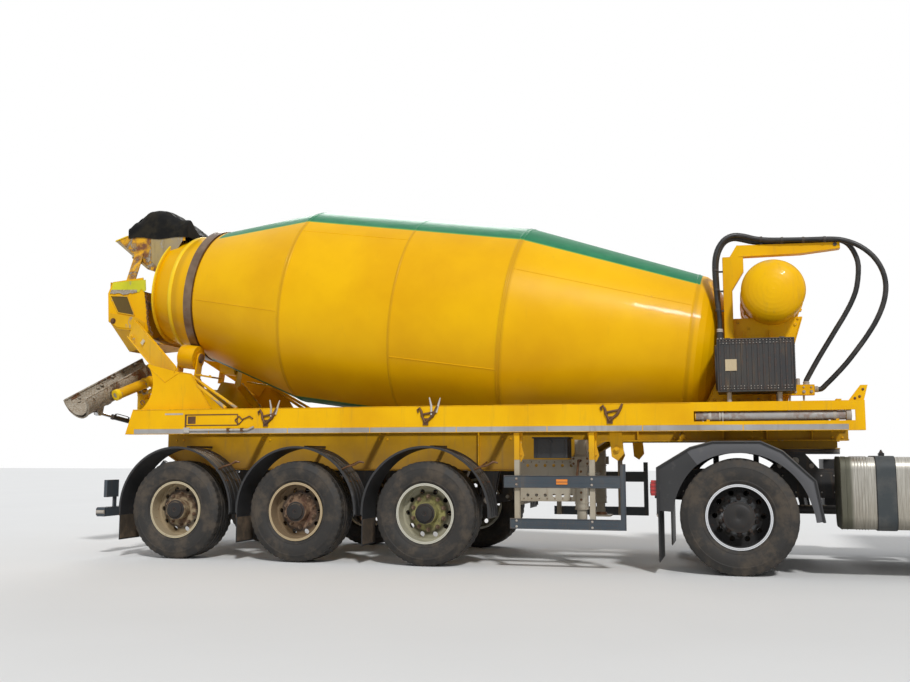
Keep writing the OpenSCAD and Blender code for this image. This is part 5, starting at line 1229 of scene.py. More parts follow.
def make_chute_details():
    rims = Shape()
    open_a = 97
    for s in (-1, 1):
        rims.tube([trough_at(TROUGH_RUN[0] + 0.012 + (TROUGH_RUN[1] - TROUGH_RUN[0] - 0.03) * k / 16,
                             s * open_a, 0.205)
                   for k in range(17)], 0.0105, 10)
    for run in (-0.125, 0.28, 0.72, 1.072):
        section = ((-0.012, 0.2095), (0.012, 0.2095), (0.009, 0.219), (-0.009, 0.219))
        verts = [trough_at(run + d, -96 + 192 * k / RIB_STEPS, r) for k in range(RIB_STEPS + 1) for d,
                 r in section]
        faces = [(n + i, n + (i + 1) % 4, n + 4 + (i + 1) % 4, n + 4 + i)
                 for n in range(0, 4 * RIB_STEPS, 4) for i in range(4)]
        rims._add(verts, faces + [(0, 1, 2, 3), tuple(4 * RIB_STEPS + i for i in (3, 2, 1, 0))])
    rims.piece("trough_rims", "chute", "chute", "chute_steel", angle=45)
    # Hardened concrete inside the trough, thicker along its floor
    rows, cols = 70, 28
    grid = []
    for i in range(rows + 1):
        run = TROUGH_RUN[0] + 0.006 + (TROUGH_RUN[1] - TROUGH_RUN[0] - 0.012) * i / rows
        row = []
        for j in range(cols + 1):
            a = -84 + 168 * j / cols
            p = trough_at(run, a, 0.2)
            thick = 0.006 + 0.016 * math.cos(math.radians(a)) ** 2 + 0.012 * max(0, noise.noise(p * 14)) \
                + 0.006 * max(0, noise.noise(p * 40))
            edge = min(1, (84 - abs(a)) / 12)
            row.append(trough_at(run, a, 0.2035 - thick * (0.25 + 0.75 * edge)))
        grid.append(row)
    crust = Shape()
    crust.sheet(grid, -0.001)
    crust.piece("trough_crust", "crust", "chute", angle=60)
    # Lumps that stuck inside, up to the rims
    lumps = Shape()
    rng = random.Random(3)
    for k in range(26):
        run = rng.uniform(TROUGH_RUN[0] + 0.05, TROUGH_RUN[1] - 0.05)
        s = rng.choice((-1, 1))
        a = s * rng.uniform(60, 95)
        size = rng.uniform(0.012, 0.024)
        centre = trough_at(run, a, 0.211 - size)
        lumps.blob(centre, size, 0.55, k)
    lumps.piece("trough_lumps", "crust", "chute", angle=60)
    # Pins' heads and the jack's gland
    bits = Shape()
    way = chute_at(0, 1, 0) - chute_at(0, 0, 0)
    for s in (-1, 1):
        bits.bolt(chute_at(0.06, s * 0.094, 1.925), way * s, 0.02, 0.009)
        bits.bolt(chute_at(0.13, s * 0.046, 1.5), way * s, 0.019, 0.01)
    bits.piece("chute_pin_heads", "worn_steel", "chute_swivel")
    foot, eye = chute_at(0.13, 0, 1.5), chute_at(0.64, 0, 1.6)
    m = axis_matrix(foot, eye - foot)
    gland = Shape()
    gland.ring([(0.0285, 0.3), (0.033, 0.302), (0.033, 0.327), (0.0285, 0.33)], m, 40)
    gland.ring([(0.0285, 0.03), (0.032, 0.033), (0.032, 0.06), (0.0285, 0.063)], m, 40)
    for h in (0.09, 0.28):
        gland.tube([m @ Vector((-0.027, 0, h)), m @ Vector((-0.045, 0, h))], 0.01, 10)
    gland.tube([m @ Vector((-0.043, 0, 0.28)), m @ Vector((-0.05, 0, 0.26)), m @ Vector((-0.05, 0, 0.11)),
                m @ Vector((-0.043, 0, 0.09))], 0.005, 8)
    gland.piece("jack_gland", "frame_dark", "jack_barrel", angle=40)
    # Bent carrier tube: end ring and collars, in yellow-green as on the photo
    tube = Shape()
    end = chute_at(0.62, 0.285, 1.8)
    start = chute_at(0.13, 0.285, 2.0)
    m = axis_matrix(start, end - start)
    length = (end - start).length
    tube.ring([(0.0605, 0.07), (0.0655, 0.072), (0.0655, 0.1), (0.0605, 0.102)], m, 48)
    tube.ring([(0.0605, length - 0.05), (0.066, length - 0.048), (0.066, length - 0.002),
               (0.05, length + 0.003),
               (0.03, length + 0.001)], m, 48, closed=False)
    tube.piece("carrier_collars", "yellow_bright", "chute_swivel", "chute_steel", angle=40)


make_chute_details()

# Side rails, beams and undergear of the semi-trailer


def around(cx, cz, r, degrees):
    """Point (x, z) on a circle about (cx, cz), 0 forward and 90 up."""
    a = math.radians(degrees)
    return cx + r * math.cos(a), cz + r * math.sin(a)


def arc_tube(shape, cx, cz, r, y, start, end, radius, steps=24, sides=8):
    points = []
    for i in range(steps + 1):
        x, z = around(cx, cz, r, start + (end - start) * i / steps)
        points.append(at(x, y, z))
    shape.tube(points, radius, sides)


# The tool tube's place across and up and the rail's face are given just inside the solids
TOOL_TUBE = (1.198, 1.467)
TOOL_TUBE_R = 0.0402
RAIL_FACE = 1.2495
GUARD_POSTS = (3.766, 4.504)
GUARD_EDGE_Y = 1.2475
BEAM_EDGE_Y = 0.551
RAIL_FOOT_Z = 1.325
LEAF_Y = 0.395
LEG_X = 4.33
# Inner radius of what sits round a hose
CLIP_R = 0.0252


def make_rail_details():
    band, edge, rusty, pale, wear_and_shade, tube, sleeve = shapes(7)
    for side in SIDES:
        out = (0, side, 0)
        # Pale band along the rail's lower edge, in lengths with narrow joints
        for x0 in spaced(8, -0.52, 0.92):
            band.box((x0, min(x0 + 0.912, 6.93)), sided(side, RAIL_FACE, 1.2512), (1.334, 1.386))
        # Slot plate at the rear: its frame lines and recess, dark as painted shade, and the drawbar in its
        # clamps
        for z0, z1 in ((1.531, 1.542), (1.418, 1.428)):
            wear_and_shade.box((0.12, 0.74), sided(side, RAIL_FACE, 1.2545), (z0, z1))
        wear_and_shade.box((0.105, 0.125), sided(side, RAIL_FACE, 1.2545), (1.405, 1.542))
        wear_and_shade.box((0.73, 0.74), sided(side, RAIL_FACE, 1.2545), (1.428, 1.531))
        pale.box((-0.14, 0.08), sided(side, RAIL_FACE, 1.252), (1.538, 1.556))
        wear_and_shade.box((0.14, 0.235), sided(side, RAIL_FACE, 1.252), (1.44, 1.52))
        pale.tube([at(0.1, side * 1.262, 1.372), at(0.86, side * 1.262, 1.372),
                   at(0.93, side * 1.262, 1.402)], 0.011, 10)
        pale.box((0.105, 0.17), sided(side, RAIL_FACE, 1.276), (1.345, 1.4))
        for x in (0.62, 0.78):
            rusty.box((x, x + 0.03), sided(side, RAIL_FACE, 1.277), (1.352, 1.392))
        # Diamond eye and hooked latch beside the slot
        eye = [at(0.71, side * 1.257, 1.475), at(0.755, side * 1.257, 1.518), at(0.8, side * 1.257, 1.475),
               at(0.755, side * 1.257, 1.432), at(0.71, side * 1.257, 1.475)]
        rusty.tube(eye, 0.008, 8, caps=False)
        rusty.tube([at(0.79, side * 1.258, 1.48), at(0.88, side * 1.262, 1.515),
                    at(0.92, side * 1.262, 1.49)], 0.007, 8)
        # Forked hooks for the ladder and the chute's extensions
        for x in (1.1, 2.87, 4.72):
            y = side * 1.261
            fork = [at(x - 0.11, y, 1.53), at(x - 0.118, y, 1.562), at(x - 0.098, y, 1.578),
                    at(x - 0.075, y, 1.545),
                    at(x - 0.07, y, 1.5), at(x - 0.035, y, 1.43), at(x + 0.045, y, 1.5),
                    at(x + 0.075, y, 1.56),
                    at(x + 0.09, y, 1.596)]
            rusty.tube(fork, [0.006, 0.01, 0.012, 0.012, 0.014, 0.017, 0.015, 0.015, 0.009], 10)
            rusty.rod((x - 0.075, x + 0.055), y, (1.51, 1.535), 0.011, 8)
            rusty.box((x - 0.06, x - 0.005), sided(side, RAIL_FACE, 1.263), (1.405, 1.475))
            for z in (1.42, 1.46):
                rusty.bolt(at(x - 0.032, side * 1.263, z), out, 0.007, 0.007)
            if x < 4:
                pale.tube([at(x + 0.03, y, 1.505), at(x + 0.025, side * 1.25, 1.6),
                           at(x, side * 1.235, 1.685)],
                          [0.012, 0.012, 0.007], 8)
                pale.tube([at(x + 0.08, y, 1.53), at(x + 0.1, side * 1.25, 1.61),
                           at(x + 0.115, side * 1.235, 1.68)],
                          [0.011, 0.011, 0.006], 8)
        # Rounded edges of both flanges
        edge.rod((-0.53, 5.45), side * 1.2515, 1.5955, 0.0035, 6)
        edge.rod((-0.62, 6.95), side * 1.2515, 1.3325, 0.003, 6)
        # Tool tube: grey sleeve, collar, end cap with its latch, saddles' straps
        sleeve.ring([(TOOL_TUBE_R, 5.49), (0.0412, 5.492), (0.0412, 6.81), (TOOL_TUBE_R, 6.812)],
                    axis_matrix(at(0, side * TOOL_TUBE[0], TOOL_TUBE[1]), (1, 0, 0)), 40)
        for x in (5.7, 5.727):
            tube.ring([(TOOL_TUBE_R, 0), (0.047, 0.002), (0.047, 0.016), (TOOL_TUBE_R, 0.018)],
                      axis_matrix(at(x, side * TOOL_TUBE[0], TOOL_TUBE[1]), (1, 0, 0)), 40)
        tube.ring([(0.0405, 0.0), (0.056, 0.003), (0.06, 0.03), (0.056, 0.046), (0.03, 0.05), (0.0405, 0.02)],
                  axis_matrix(at(6.815, side * TOOL_TUBE[0], TOOL_TUBE[1]), (1, 0, 0)), 48)
        rusty.rod((6.84, 6.89), side * TOOL_TUBE[0], 1.532, 0.01, 8)
        for x in (5.62, 6.72):
            pale.ring([(0.0403, 0), (0.0435, 0.001), (0.0435, 0.029), (0.0403, 0.03)],
                      axis_matrix(at(x - 0.015, side * TOOL_TUBE[0], TOOL_TUBE[1]), (1, 0, 0)), 40)
            rusty.bolt(at(x, side * 1.2, 1.5105), (0, 0, 1), 0.006, 0.012)
        pale.rod((5.735, 5.737), (side * 1.243, side * 1.247), (1.46, 1.395), 0.004, 6)
        # Gusset bolts at the front upright
        for x, z in ((6.94, 1.635), (6.97, 1.7), (6.9, 1.62)):
            rusty.bolt(at(x, side * 1.1925, z), out, 0.009, 0.009)
    band.piece("rail_bands", "band", smooth=False)
    edge.piece("rail_edges", "yellow", bevel=0.001)
    rusty.piece("rail_hooks", "rust", angle=60)
    pale.piece("rail_bars", "pale_steel", angle=50)
    # Painted shade: the slot's dark frame lines and recess
    wear_and_shade.piece("rail_recess", "rust", slot="dark_frame")
    sleeve.piece("tool_tube_sleeves", "band", angle=40)
    tube.piece("tool_tube_fittings", "pale_steel", slot="grey_paint", angle=40)


def make_beam_details():
    ribs, bits, pipes, box = shapes(4)
    for side in SIDES:
        out = (0, side, 0)
        # Web stiffeners and flange edges
        for x in spaced(9, 3.2, 0.42):
            z0, z1 = (0.955, 1.375) if x < 4.0 else (1.26, 1.375)
            if 4.0 <= x < 4.6:
                continue
            ribs.box((x, x + 0.008), sided(side, 0.487, 0.548), (z0, z1))
        ribs.tube([at(-0.55, side * BEAM_EDGE_Y, 0.942), at(4.02, side * BEAM_EDGE_Y, 0.942),
                   at(4.52, side * BEAM_EDGE_Y, 1.246),
                   at(6.88, side * BEAM_EDGE_Y, 1.246)], 0.004, 6)
        ribs.rod((-0.55, 6.88), side * BEAM_EDGE_Y, 1.388, 0.004, 6)
        # Bolts of each outrigger's foot
        for x in (-0.4, 0.705, 2.115, 3.5, 5.3, 6.05, 6.8):
            for dx, dz in ((-0.045, 1.275), (0.045, 1.275), (-0.045, 1.34), (0.045, 1.34)):
                bits.bolt(at(x + dx, side * 0.4885, dz), out, 0.009, 0.009)
        # Air and cable pipes clipped inside the beam
        for z, r in ((1.31, 0.009), (1.285, 0.007), (1.335, 0.011)):
            pipes.rod((-0.5, 6.7), side * 0.465, z, r, 8)
        for x in spaced(12, -0.3, 0.6):
            bits.box((x, x + 0.02), sided(side, 0.448, 0.473), (1.27, 1.352))
        # Bent bracket with its round boss under the rail, and the box beside the legs
        bits.plate([(4.66, RAIL_FOOT_Z), (4.78, RAIL_FOOT_Z), (4.8, 1.12), (4.74, 1.05), (4.68, 1.09)],
                   sided(side, 1.085, 1.095))
        bits.rod(4.73, (side * 1.095, side * 1.115), 1.16, 0.03, 20)
        bits.bolt(at(4.73, side * 1.115, 1.16), out, 0.017, 0.016)
        for x in GUARD_POSTS:
            ribs.plate([(x - 0.045, RAIL_FOOT_Z), (x + 0.05, RAIL_FOOT_Z), (x + 0.04, 1.2), (x + 0.065, 1.1),
                        (x + 0.035, 1.04),
                        (x - 0.02, 1.04)], sided(side, 1.156, 1.1675))
            bits.bolt(at(x + 0.03, side * 1.1675, 1.11), out, 0.013, 0.012)
            bits.bolt(at(x, side * 1.1675, 1.28), out, 0.011, 0.01)
    box.box((3.9, 4.24), (-1.04, -0.79), (1.075, 1.27))
    box.box((3.885, 4.255), (-1.055, -0.775), (1.27, 1.285))
    for x in (3.93, 4.07, 4.21):
        box.box((x - 0.006, x + 0.006), (-1.045, -1.039), (1.085, 1.262))
    box.rod(4.07, (-1.041, -1.055), 1.24, 0.018, 16)
    ribs.piece("beam_ribs", "yellow_crusted")
    bits.piece("beam_fittings", "yellow")
    pipes.piece("beam_pipes", "black_plastic")
    box.piece("junction_box", "black_plastic", bevel=0.004)


def make_axle_details():
    dark, bellows, metal = shapes(3)
    for x in AXLE_X:
        for side in SIDES:
            spring = Matrix.Translation(at(x - 0.33, side * 0.48, 0))
            # Air spring: three rolled folds between its two plates
            for z in spaced(3, 0.59, 0.115):
                profile = [(0.1305, z - 0.045), (0.145, z - 0.036), (0.153, z), (0.145, z + 0.036),
                           (0.1305, z + 0.045)]
                bellows.ring(profile, spring, 56)
            for z0, z1 in ((0.503, 0.518), (0.918, 0.938)):
                metal.ring([(0.1305, z0), (0.137, z0), (0.137, z1), (0.1305, z1)], spring, 56)
            # U-bolts over the arm, with their nuts below
            for dx in (-0.075, 0.075):
                points = []
                for i in range(13):
                    a = math.pi * i / 12
                    points.append(at(x + dx, side * 0.48 + 0.052 * math.cos(a),
                                     AXLE_Z + 0.045 + 0.03 * math.sin(a)))
                points = [points[0] - Vector((0, 0, 0.15))] + points + [points[-1] - Vector((0, 0, 0.15))]
                metal.tube(points, 0.009, 8)
                for dy in (-0.052, 0.052):
                    metal.bolt(at(x + dx, side * 0.48 + dy, AXLE_Z - 0.085), (0, 0, -1), 0.015, 0.02)
            metal.box((x - 0.1, x + 0.1), sided(side, 0.415, 0.545), (AXLE_Z - 0.087, AXLE_Z - 0.07))
            # Arm's pivot bolt in the hanger
            metal.rod(x + 0.48, (side * 0.418, side * 0.542), AXLE_Z + 0.11, 0.022, 16)
            metal.bolt(at(x + 0.48, side * 0.542, AXLE_Z + 0.11), (0, side, 0), 0.03, 0.024)
            # Shock absorber
            dark.rod((x + 0.06, x + 0.2), side * 0.6, (AXLE_Z + 0.05, 0.72), 0.024, 16)
            metal.rod((x + 0.2, x + 0.3), side * 0.6, (0.72, 0.935), 0.012, 12)
            dark.rod((x + 0.18, x + 0.265), side * 0.6, (0.68, 0.86), 0.032, 16)
            # Brake chamber: two bowls and their clamp ring, lever and caliper body
            chamber = axis_matrix(at(x - 0.24, side * 0.7, 0.64), (1, 0, -0.12))
            dark.ring([(0.0, -0.11), (0.045, -0.108), (0.076, -0.08), (0.08, 0.0), (0.08, 0.04), (0.05, 0.08),
                       (0.0, 0.082)],
                      chamber, 40, closed=False)
            metal.ring([(0.08, -0.012), (0.09, -0.01), (0.09, 0.01), (0.08, 0.012)], chamber, 40)
            metal.rod((x - 0.16, x - 0.06), side * 0.7, (0.632, 0.615), 0.012, 10)
            dark.box((x - 0.09, x + 0.08), sided(side, 0.74, 0.885), (AXLE_Z + 0.07, AXLE_Z + 0.2))
            # Bolts on the brake shield
            for k in range(10):
                px, pz = around(x, AXLE_Z, 0.165, 36 * k)
                metal.bolt(at(px, side * 0.908, pz), (0, -side, 0), 0.009, 0.008)
            # Oil seal ring on the tube
            metal.ring([(0.0622, 0), (0.082, 0.004), (0.082, 0.03), (0.0622, 0.034)],
                       axis_matrix(at(x, side * 0.85, AXLE_Z), (0, side, 0)), 40)
    dark.piece("brake_gear", "frame_dark", bevel=0.002)
    bellows.piece("air_spring_folds", "black_rubber", angle=60)
    metal.piece("axle_fittings", "pale_steel", angle=40)


def make_mudguard_details():
    dark, flaps, rusty = shapes(3)
    for x in AXLE_X:
        for side in SIDES:
            # Raised ribs over the guard's back, bead at its inner edge
            for y in (0.93, 1.02, 1.11, 1.2):
                arc_tube(dark, x, AXLE_Z, 0.6645, side * y, -2, 182, 0.005, 32, 6)
            arc_tube(dark, x, AXLE_Z, 0.662, side * 0.866, -3, 183, 0.007, 32, 8)
            for degrees in (28, 90, 152):
                px, pz = around(x, AXLE_Z, 0.664, degrees)
                wx, wz = around(0, 0, 1, degrees)
                for y in (0.9, 0.97, 1.16, 1.215):
                    rusty.bolt(at(px, side * y, pz), (wx, 0, wz), 0.008, 0.008)
            # Ribbed spray flap on the wheel's rear side, its clamp strip with bolts
            for y in spaced(17, 0.885, 0.0215):
                flaps.box((x - 0.655, x - 0.649), sided(side, y, y + 0.011), (0.205, 0.455))
            rusty.box((x - 0.671, x - 0.663), sided(side, 0.87, 1.245), (0.448, 0.482))
            for k in range(5):
                rusty.bolt(at(x - 0.671, side * (0.9 + 0.08 * k), 0.465), (-1, 0, 0), 0.008, 0.008)
            # Grey inner liner in front of the wheel, inside the guard
            grid = []
            for i in range(15):
                a = 6 + 58 * i / 14
                row = []
                for j in range(9):
                    y = 0.885 + 0.34 * j / 8
                    lift = 0.004 * noise.noise(Vector((i * 0.6, j * 0.9, x)))
                    px, pz = around(x, AXLE_Z, 0.648 + lift, a)
                    row.append(at(px, side * y, pz))
                grid.append(row if side > 0 else row[::-1])
            flaps.sheet(grid, 0.004)
            # Rusty stay hook with its eye between the guards
            px, pz = around(x, AXLE_Z, 0.672, 40)
            hook = [at(px - 0.02, side * 1.2, pz), at(px + 0.06, side * 1.215, pz + 0.035),
                    at(px + 0.13, side * 1.22, pz + 0.05),
                    at(px + 0.19, side * 1.215, pz + 0.085), at(px + 0.235, side * 1.2, pz + 0.075)]
            rusty.tube(hook, [0.012, 0.01, 0.009, 0.012, 0.008], 8)
            rusty.rod((px + 0.06, px + 0.05), (side * 1.215, side * 0.9), (pz + 0.035, pz + 0.08), 0.009, 8)
    dark.piece("mudguard_ribs", "black_plastic", angle=50)
    flaps.piece("mudguard_liners", "flap", angle=50)
    rusty.piece("mudguard_fittings", "rust", angle=40)


def make_guard_details():
    blue, sleeves, uppers, bits, amber = shapes(5)
    for side in SIDES:
        out = (0, side, 0)
        # Pale sleeves on the posts' lower part
        for x in GUARD_POSTS:
            sleeves.box((x - 0.0258, x + 0.0258), sided(side, 1.1672, 1.2188), (0.396, 1.06))
            uppers.box((x - 0.0262, x + 0.0262), sided(side, 1.1668, 1.2188), (1.06, RAIL_FOOT_Z))
        # Folded lips and end caps of both rails
        for x0, x1, z0, z1 in ((3.64, 4.775, 0.789, 0.908), (3.7, 4.775, 0.394, 0.494)):
            for z in (z0 + 0.004, z1 - 0.004):
                blue.rod((x0, x1), side * GUARD_EDGE_Y, z, 0.0045, 8)
            blue.rod(x0 + 0.004, side * 1.247, (z0 + 0.004, z1 - 0.004), 0.0045, 8)
            mid = (z0 + z1) / 2
            blue.box((x0 + 0.03, x1 - 0.03), sided(side, 1.2455, 1.2485), (mid - 0.012, mid + 0.012))
            for x in GUARD_POSTS:
                for dz in (-0.028, 0.028):
                    bits.bolt(at(x, side * 1.2462, mid + dz), out, 0.009, 0.008)
        blue.tube([at(4.779, side * GUARD_EDGE_Y, 0.5), at(4.779, side * GUARD_EDGE_Y, 1.016),
                   at(4.821, side * GUARD_EDGE_Y, 1.016),
                   at(4.821, side * GUARD_EDGE_Y, 0.4)], 0.0045, 8)
        amber.box((4.16, 4.27), sided(side, 1.2455, 1.2535), (0.823, 0.873))
        # Turn lamp between the two red lenses
        lens = axis_matrix(at(-0.94, side * 1.0325, 0.735), (-1, 0, 0))
        amber.ring([(0.0, 0.018), (0.018, 0.0165), (0.024, 0.01), (0.027, 0.0)], lens, 40, closed=False)
    # Lamp lenses, plate and stops of the rear bar
    red, clear, rubber = shapes(3)
    for side in SIDES:
        for y in (0.965, 1.1):
            lens = axis_matrix(at(-0.9405, side * y, 0.735), (-1, 0, 0))
            red.ring([(0.0, 0.02), (0.018, 0.0185), (0.027, 0.012), (0.031, 0.0)], lens, 40, closed=False)
            for r in (0.009, 0.018, 0.026):
                red.ring([(r - 0.0012, 0.02 - r * 0.35), (r, 0.0225 - r * 0.35),
                          (r + 0.0012, 0.02 - r * 0.35)], lens, 40)
        clear.box((-0.952, -0.94), sided(side, 0.945, 1.135), (0.655, 0.69))
        red.box((-1.004, -1.0), sided(side, 0.78, 0.96), (0.455, 0.505))
        rubber.box((-1.028, -0.999), sided(side, 1.05, 1.16), (0.44, 0.52))
        bits.rod((-1.0, -0.9), side * 1.18, 0.48, 0.02, 12)
        for z in (0.46, 0.5):
            for y in (0.45, 0.51):
                bits.bolt(at(-1.0, side * y, z), (-1, 0, 0), 0.01, 0.009)
    pale = Shape()
    pale.box((-1.006, -1.0), (-0.26, 0.26), (0.425, 0.535))
    for y in (-0.22, 0.22):
        bits.bolt(at(-1.006, y, 0.48), (-1, 0, 0), 0.006, 0.005)
    uppers.piece("guard_post_tops", "yellow", bevel=0.001)
    sleeves.piece("guard_post_sleeves", "leg_beige", bevel=0.001)
    blue.piece("side_guard_folds", "blue_grey", slot="blue_grey_paint", angle=50)
    bits.piece("side_guard_bolts", "pale_steel")
    amber.piece("side_reflectors", "amber_lamp", bevel=0.001)
    red.piece("rear_lamp_lenses", "red_lamp", angle=40)
    clear.piece("reversing_lenses", "clear_lamp", slot="black_plastic", bevel=0.002)
    rubber.piece("rear_stops", "black_rubber", bevel=0.006)
    pale.piece("rear_blank_plate", "blank_plate", bevel=0.001)


def make_leg_details():
    pale, dark = shapes(2)
    for side in SIDES:
        out = (0, side, 0)
        # Folded edges and collars of the legs, feet's sockets
        for z in (0.56, 0.62, 0.98, 1.1):
            pale.box((4.265, 4.395), sided(side, 0.66, 0.78), (z, z + 0.012))
        for dx in (-0.05, 0.05):
            pale.rod(LEG_X + dx, side * 0.775, (0.57, 1.25), 0.005, 8)
        for z in spaced(5, 0.66, 0.07):
            dark.rod(LEG_X, (side * 0.7752, side * 0.7775), z, 0.013, 16)
        dark.ring([(0.02, 0.0), (0.075, 0.0), (0.06, 0.03), (0.03, 0.035)],
                  axis_matrix(at(LEG_X, side * 0.72, 0.43), (0, 0, 1), (1, 0, 0)), 32)
        pale.box((4.24, 4.42), sided(side, 0.775, 0.8), (1.0, 1.09))
        for x in (4.26, 4.4):
            for z in (1.02, 1.07):
                dark.bolt(at(x, side * 0.8, z), out, 0.009, 0.008)
        # Folded flanges and rivets of the perforated plates
        for z in (0.643, 1.057):
            pale.box((3.7, 4.27), sided(side, 0.757, 0.772), (z - 0.004, z + 0.004))
        for x in spaced(7, 3.74, 0.08):
            for z in (0.665, 1.035):
                dark.rod(x, (side * 0.758, side * 0.761), z, 0.006, 10)
    # Crank of the winding gear, on the right
    dark.rod(LEG_X, (-0.8, -0.93), 1.05, 0.014, 12)
    dark.rod((LEG_X, 4.31), (-0.93, -0.94), (1.05, 0.83), 0.012, 10)
    dark.rod(4.31, (-0.94, -1.04), 0.83, 0.014, 12)
    # Cross plate: flanges and a second row of hole rims
    for z in (0.6, 0.922):
        pale.box((3.68, 3.7), (-0.72, 0.72), (z, z + 0.008))
    for k in range(13):
        rim = axis_matrix(at(3.7, -0.6 + 0.1 * k, 0.69), (-1, 0, 0))
        pale.ring([(0.018, 0.0), (0.024, 0.001), (0.022, 0.004), (0.018, 0.003)], rim, 24)
    pale.piece("leg_folds", "leg_beige", bevel=0.001)
    dark.piece("leg_fittings", "rust", angle=40)


make_rail_details()
make_beam_details()
make_axle_details()
make_mudguard_details()
make_guard_details()
make_leg_details()

# Front of the trailer: drive, cooler, water tank, boom and hose fittings

NOSE_S = 4.4


def drum_ring_of(shape, profile, segments=64):
    """Ring about the drum's axis, its heights taken from the nose."""
    shape.ring(profile, DRUM @ Matrix.Translation((0, 0, NOSE_S)), segments)


def drum_axis_point(r, angle, s):
    return DRUM @ Vector((r * math.cos(angle), r * math.sin(angle), NOSE_S + s))


def make_drive_details():
    grey, bolts, motor = shapes(3)
    way = z_of(DRUM)
    # Bolt circles of the output flange, the gearbox's housing and its covers
    for r, s, count, head in ((0.17, 0.035, 16, 0.014), (0.2, 0.245, 24, 0.011), (0.125, 0.335, 12, 0.01),
                              (0.073, 0.505, 6, 0.009)):
        for spot in circle(DRUM, r, NOSE_S + s, count):
            bolts.bolt(spot, way, head, head * 0.9)
    # Cooling ribs and the housing's parting rings
    for s in (0.075, 0.1, 0.125, 0.15, 0.175, 0.2):
        drum_ring_of(grey, [(0.2152, s), (0.226, s + 0.002), (0.226, s + 0.009), (0.2152, s + 0.011)])
    for s in (0.262, 0.29, 0.315):
        drum_ring_of(grey, [(0.1402, s), (0.148, s + 0.002), (0.148, s + 0.008), (0.1402, s + 0.01)])
    for s in (0.355, 0.385, 0.415, 0.445, 0.475):
        drum_ring_of(motor, [(0.0852, s), (0.094, s + 0.002), (0.094, s + 0.014), (0.0852, s + 0.016)], 48)
    # Filler and level plugs, lifting eye
    for angle, s in ((2.9, 0.12), (0.3, 0.16), (-1.2, 0.14)):
        p = drum_axis_point(0.224, angle, s)
        out = (p - drum_axis_point(0, 0, s)).normalized()
        bolts.bolt(p, out, 0.018, 0.02)
    top = drum_axis_point(0.22, math.pi, 0.14)
    motor.tube([top + Vector((0.03 * math.cos(a), 0, 0.03 + 0.035 * math.sin(a))) for a in
                [math.radians(-60 + 300 * k / 14) for k in range(15)]], 0.008, 10)
    # Pipe stubs with their nuts on the motor
    for angle in (1.2, 1.95):
        a, b = drum_axis_point(0.08, angle, 0.43), drum_axis_point(0.15, angle, 0.43)
        motor.tube([a, b], 0.019, 16)
        out = (b - a).normalized()
        bolts.tube([b, b + out * 0.022], 0.024, 6)
        bolts.tube([b + out * 0.022, b + out * 0.03], 0.014, 16)
    grey.piece("gearbox_ribs", "grey", slot="grey_paint", angle=40)
    bolts.piece("gearbox_bolts", "worn_steel")
    motor.piece("drive_motor_ribs", "frame_dark", angle=40)


COOLER_X = (5.697, 6.402)
COOLER_Y = (-1.1, -0.64)
COOLER_Z = (1.7, 2.205)


